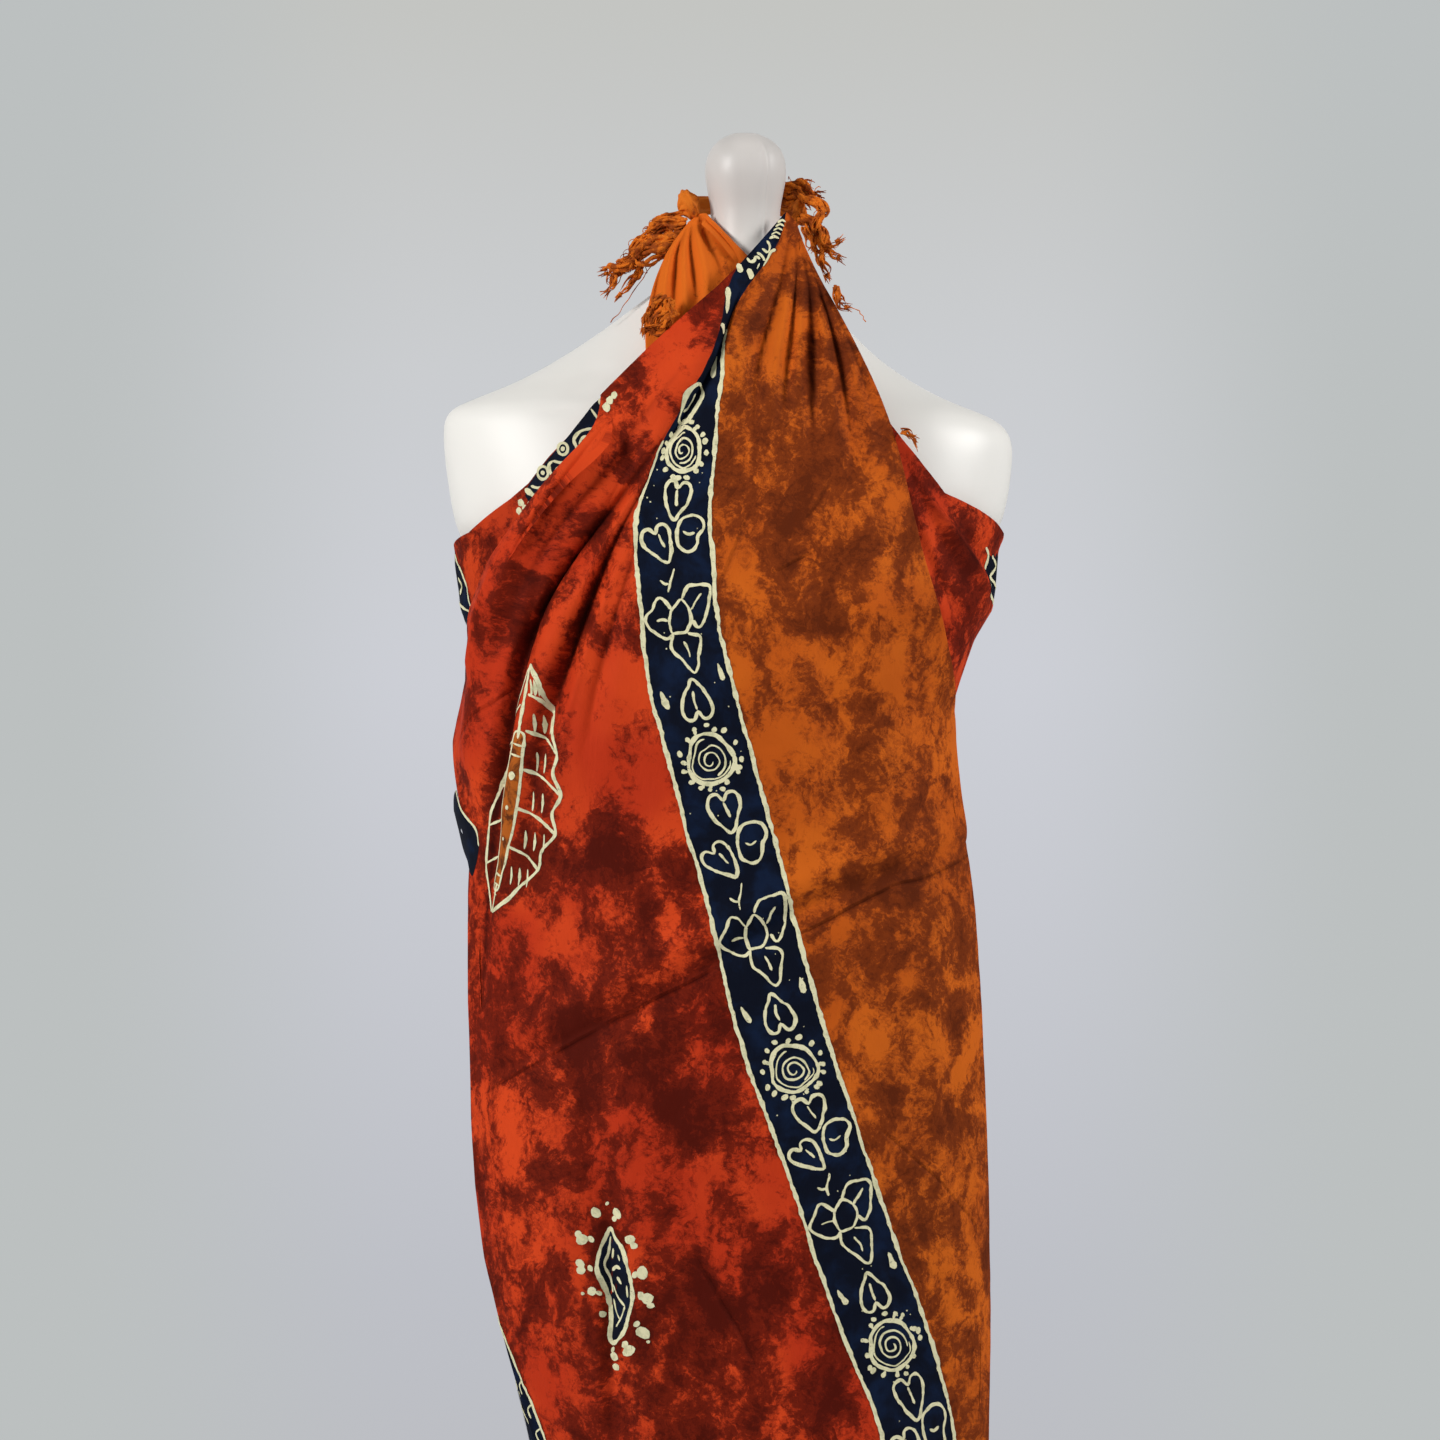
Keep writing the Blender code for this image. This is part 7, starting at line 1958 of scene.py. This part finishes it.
def monotone(x, y, at):
    """Smooth interpolation that never overshoots."""
    h, d = np.diff(x), np.diff(y) / np.diff(x)
    m = np.zeros(len(x))
    for k in range(1, len(x) - 1):
        if d[k - 1] * d[k] > 0:
            w1, w2 = 2 * h[k] + h[k - 1], h[k] + 2 * h[k - 1]
            m[k] = (w1 + w2) / (w1 / d[k - 1] + w2 / d[k])
    m[0], m[-1] = d[0], d[-1]
    k = np.clip(np.searchsorted(x, at, side="right") - 1, 0, len(x) - 2)
    t = (at - x[k]) / h[k]
    return (y[k] * (1 + 2 * t) * (1 - t) ** 2 + m[k] * h[k] * t * (1 - t) ** 2 + y[k + 1] * t * t * (3 - 2 * t) - m[k + 1] * h[k] * t * t * (1 - t))


arc = np.concatenate([[0], np.cumsum(np.hypot(np.diff(FORM[:, 0]), np.diff(FORM[:, 1])))])
fine_arc = np.linspace(0, arc[-1], 300)
rows_ = np.stack([monotone(arc, FORM[:, c], fine_arc) for c in range(7)], 1)
for _ in range(3):
    rows_[1:-1] = 0.25 * rows_[:-2] + 0.5 * rows_[1:-1] + 0.25 * rows_[2:]
turn_a = np.concatenate([np.linspace(0, 26, 16, endpoint=False), np.linspace(26, 34, 16, endpoint=False), np.linspace(34, 360, 128, endpoint=False)])
turn_a = np.radians(turn_a)
s_, c_ = signed_power(np.sin(turn_a), 2 / FORM_POWER), signed_power(np.cos(turn_a), 2 / FORM_POWER)
zf = rows_[:, 0][:, None]
wx = np.where(s_[None] > 0, rows_[:, 2:3], rows_[:, 1:2])
wy = np.where(c_[None] > 0, rows_[:, 3:4], rows_[:, 4:5])
seam = 0.00075 * np.exp(-((np.degrees(turn_a)[None] - 31) / 3.6) ** 2) * np.clip((zf - 1.392) / 0.006, 0, 1) * np.clip((1.474 - zf) / 0.004, 0, 1)
for x0, y0, x1, y1, deep_, wide in ((538, 419, 584, 412, 0.0012, 0.0042), (573, 387, 616, 369, 0.0012, 0.0046), (560, 402, 600, 392, 0.0007, 0.0060)):
    a0, a1 = (at_station(x_, y_, 0.0)[[0, 2]] for x_, y_ in ((x0, y0), (x1, y1)))
    fx_ = rows_[:, 5:6] + wx * s_[None]
    d_ = a1 - a0
    t_ = np.clip(((fx_ - a0[0]) * d_[0] + (zf - a0[1]) * d_[1]) / (d_ @ d_), 0, 1)
    away = np.hypot(fx_ - a0[0] - t_ * d_[0], zf - a0[1] - t_ * d_[1])
    seam = seam - deep_ * np.sin(math.pi * np.clip(t_, 0.02, 0.98)) * np.exp(-(away / wide) ** 2) * (c_[None] > 0.1)
px, py = rows_[:, 5:6] + (wx + seam) * s_[None], rows_[:, 6:7] - (wy + seam) * c_[None]
form_pts = np.stack([px, py, zf + 0 * px], -1)
m_ = len(turn_a)
quads = []
i, j = np.meshgrid(np.arange(len(rows_) - 1), np.arange(m_), indexing="ij")
q0, q1 = i * m_ + j, i * m_ + (j + 1) % m_
quads = np.stack([q0, q1, q1 + m_, q0 + m_], -1).reshape(-1, 4)
allp = np.concatenate([form_pts.reshape(-1, 3), form_pts[0].mean(0)[None], form_pts[-1].mean(0)[None] + [[0, 0, 0.0004]]])
nn = len(rows_) * m_
j = np.arange(m_)
low = np.stack([np.full(m_, nn), (j + 1) % m_, j], 1)
high = np.stack([np.full(m_, nn + 1), (len(rows_) - 1) * m_ + j, (len(rows_) - 1) * m_ + (j + 1) % m_], 1)
form = add("dress_form_body", allp, [r for f in (quads, low, high) for r in f], FORM_MAT)
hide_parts("dress_form")


def lathe(name, profile, mat, turns=128):
    profile = np.array(profile, float)
    a = 2 * math.pi * np.arange(turns) / turns
    pts = np.stack([profile[:, :1] * np.cos(a), profile[:, :1] * np.sin(a), np.repeat(profile[:, 1:], turns, 1)], -1)
    i, j = np.meshgrid(np.arange(len(profile) - 1), np.arange(turns), indexing="ij")
    q0, q1 = i * turns + j, i * turns + (j + 1) % turns
    quads = np.stack([q0, q1, q1 + turns, q0 + turns], -1).reshape(-1, 4)
    n = len(profile) * turns
    pts = np.concatenate([pts.reshape(-1, 3), [[0, 0, profile[0, 1]], [0, 0, profile[-1, 1]]]])
    j = np.arange(turns)
    low = np.stack([np.full(turns, n), (j + 1) % turns, j], 1)
    high = np.stack([np.full(turns, n + 1), (len(profile) - 1) * turns + j, (len(profile) - 1) * turns + (j + 1) % turns], 1)
    return add(name, pts, [r for f in (quads, low, high) for r in f], mat)


def eased(cx, cz, r, a0, a1, n=8):
    return [(cx + r * math.cos(math.radians(a)), cz + r * math.sin(math.radians(a))) for a in np.linspace(a0, a1, n)]


plate = lathe("stand_plate_body", [(PLATE_R - 0.001, 0.0)] + eased(PLATE_R - 0.001, 0.001, 0.001, -90, 0, 4)
              + eased(PLATE_R - 0.005, PLATE_T - 0.005, 0.005, 0, 90) + [(0.040, PLATE_T), (0.038, PLATE_T)], STAND_MAT)
pole = lathe("stand_pole_body", [(0.0215, PLATE_T + GAP)] + eased(0.0215, PLATE_T + GAP + 0.0005, 0.0005, -90, 0, 3)
             + eased(0.0205, PLATE_T + 0.0145, 0.0015, 0, 90, 6) + [(0.0150, PLATE_T + 0.0165), (0.0134, PLATE_T + 0.0182), (POLE_R, PLATE_T + 0.022),
                                                             (POLE_R, 0.420), (POLE_R + 0.0018, 0.4206), (POLE_R + 0.0024, 0.4214), (POLE_R + 0.0024, 0.4440),
                                                             (POLE_R + 0.0018, 0.4448), (POLE_R, 0.4454), (POLE_R, FORM_FOOT - GAP - 0.0006),
                                                             (POLE_R - 0.0006, FORM_FOOT - GAP)], STAND_MAT)
for corner in (plate, pole):
    bevel = corner.modifiers.new("edges", "EDGE_SPLIT")
    bevel.split_angle = math.radians(35)
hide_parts("stand_plate")
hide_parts("stand_pole")
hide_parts("over_wrap")
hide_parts("under_wrap")
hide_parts("back_wrap")

# ---------------------------------------------------------------- what rides on the root body
for obj in (over, under, back, knot_r, knot_l, neck_tie, form, plate, pole, *FRINGE_PIECES.values(), *(o for _, o in DRAWING)):
    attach(obj, "root")


# ---------------------------------------------------------------- stage, light and camera
floor_pts = np.concatenate([[[0, 0, -0.0005]], [[2.9 * math.cos(a), 2.9 * math.sin(a), -0.0005] for a in np.linspace(0, 2 * math.pi, 96, endpoint=False)]])
k_ = np.arange(96)
floor = add("floor", floor_pts, np.stack([np.zeros(96, int), 1 + k_, 1 + (k_ + 1) % 96], 1), floor_material(), smooth=False)

scene = bpy.context.scene
world = bpy.data.worlds.new("studio")
scene.world = world
world.use_nodes = True
wt = world.node_tree
wt.nodes.clear()
out = wt.nodes.new("ShaderNodeOutputWorld")
bg = wt.nodes.new("ShaderNodeBackground")
coord = wt.nodes.new("ShaderNodeTexCoord")
split = wt.nodes.new("ShaderNodeSeparateXYZ")
wt.links.new(coord.outputs["Generated"], split.inputs[0])


def linear(*rgb):
    """Display values from 0 to 255 as a linear colour."""
    v = np.array(rgb, float) / 255
    return tuple(float(x) for x in np.where(v <= 0.04045, v / 12.92, ((v + 0.055) / 1.055) ** 2.4)) + (1.0,)


ramp = wt.nodes.new("ShaderNodeValToRGB")
while len(ramp.color_ramp.elements) < 6:
    ramp.color_ramp.elements.new(0.5)
for element, (rise, shade) in zip(ramp.color_ramp.elements, ((-0.20, (186, 187, 190)), (-0.11, (190, 192, 199)), (-0.05, (198, 200, 207)),
                                                            (0.01, (205, 207, 214)), (0.07, (203, 205, 208)), (0.14, (196, 197, 194)))):
    element.position, element.color = 0.5 + 0.5 * rise, linear(*shade)
level = wt.nodes.new("ShaderNodeMath")
level.operation = "MULTIPLY_ADD"
level.inputs[1].default_value, level.inputs[2].default_value = 0.5, 0.5
wt.links.new(split.outputs["Z"], level.inputs[0])
wt.links.new(level.outputs[0], ramp.inputs[0])
wide = wt.nodes.new("ShaderNodeMath")
wide.operation = "ABSOLUTE"
wt.links.new(split.outputs["X"], wide.inputs[0])
spread = wt.nodes.new("ShaderNodeMapRange")
spread.interpolation_type = "SMOOTHSTEP"
spread.inputs["From Min"].default_value, spread.inputs["From Max"].default_value = 0.056, 0.132
wt.links.new(wide.outputs[0], spread.inputs["Value"])
both = wt.nodes.new("ShaderNodeMix")
both.data_type = "RGBA"
wt.links.new(spread.outputs["Result"], both.inputs[0])
wt.links.new(ramp.outputs[0], both.inputs[6])
both.inputs[7].default_value = linear(188, 192, 192)
wt.links.new(both.outputs[2], bg.inputs["Color"])
path = wt.nodes.new("ShaderNodeLightPath")
power = wt.nodes.new("ShaderNodeMapRange")
power.inputs["To Min"].default_value, power.inputs["To Max"].default_value = 0.46, 1.0
wt.links.new(path.outputs["Is Camera Ray"], power.inputs["Value"])
wt.links.new(power.outputs["Result"], bg.inputs["Strength"])
wt.links.new(bg.outputs[0], out.inputs["Surface"])


def light(name, where, aim, size, power, colour=(1, 1, 1)):
    data = bpy.data.lights.new(name, "AREA")
    data.shape, data.size, data.energy, data.color = "SQUARE", size, power, colour
    obj = bpy.data.objects.new(name, data)
    scene.collection.objects.link(obj)
    obj.location = where
    way = np.array(aim, float) - np.array(where, float)
    way /= np.linalg.norm(way)
    yaw, pitch = math.atan2(way[0], way[1]), math.asin(way[2])
    obj.rotation_euler = (math.pi / 2 + pitch, 0, -yaw)
    return obj


light("key", (-2.7, -2.1, 2.4), (0, 0, 1.05), 0.9, 98, (1.0, 0.985, 0.96))
light("fill", (3.0, -1.0, 2.7), (0, 0, 1.0), 1.2, 84, (1.0, 0.985, 0.965))
light("behind", (-0.6, 2.8, 2.2), (0, 0, 0.9), 3.0, 14)

camera_data = bpy.data.cameras.new("camera")
camera_data.sensor_width, camera_data.lens = 36.0, 125.0
camera = bpy.data.objects.new("camera", camera_data)
camera.location = (EYE_X, -EYE_DISTANCE, EYE_Z)
camera.rotation_euler = (math.pi / 2, 0, 0)
scene.collection.objects.link(camera)
scene.camera = camera
scene.view_settings.view_transform = "Standard"
scene.view_settings.look = "None"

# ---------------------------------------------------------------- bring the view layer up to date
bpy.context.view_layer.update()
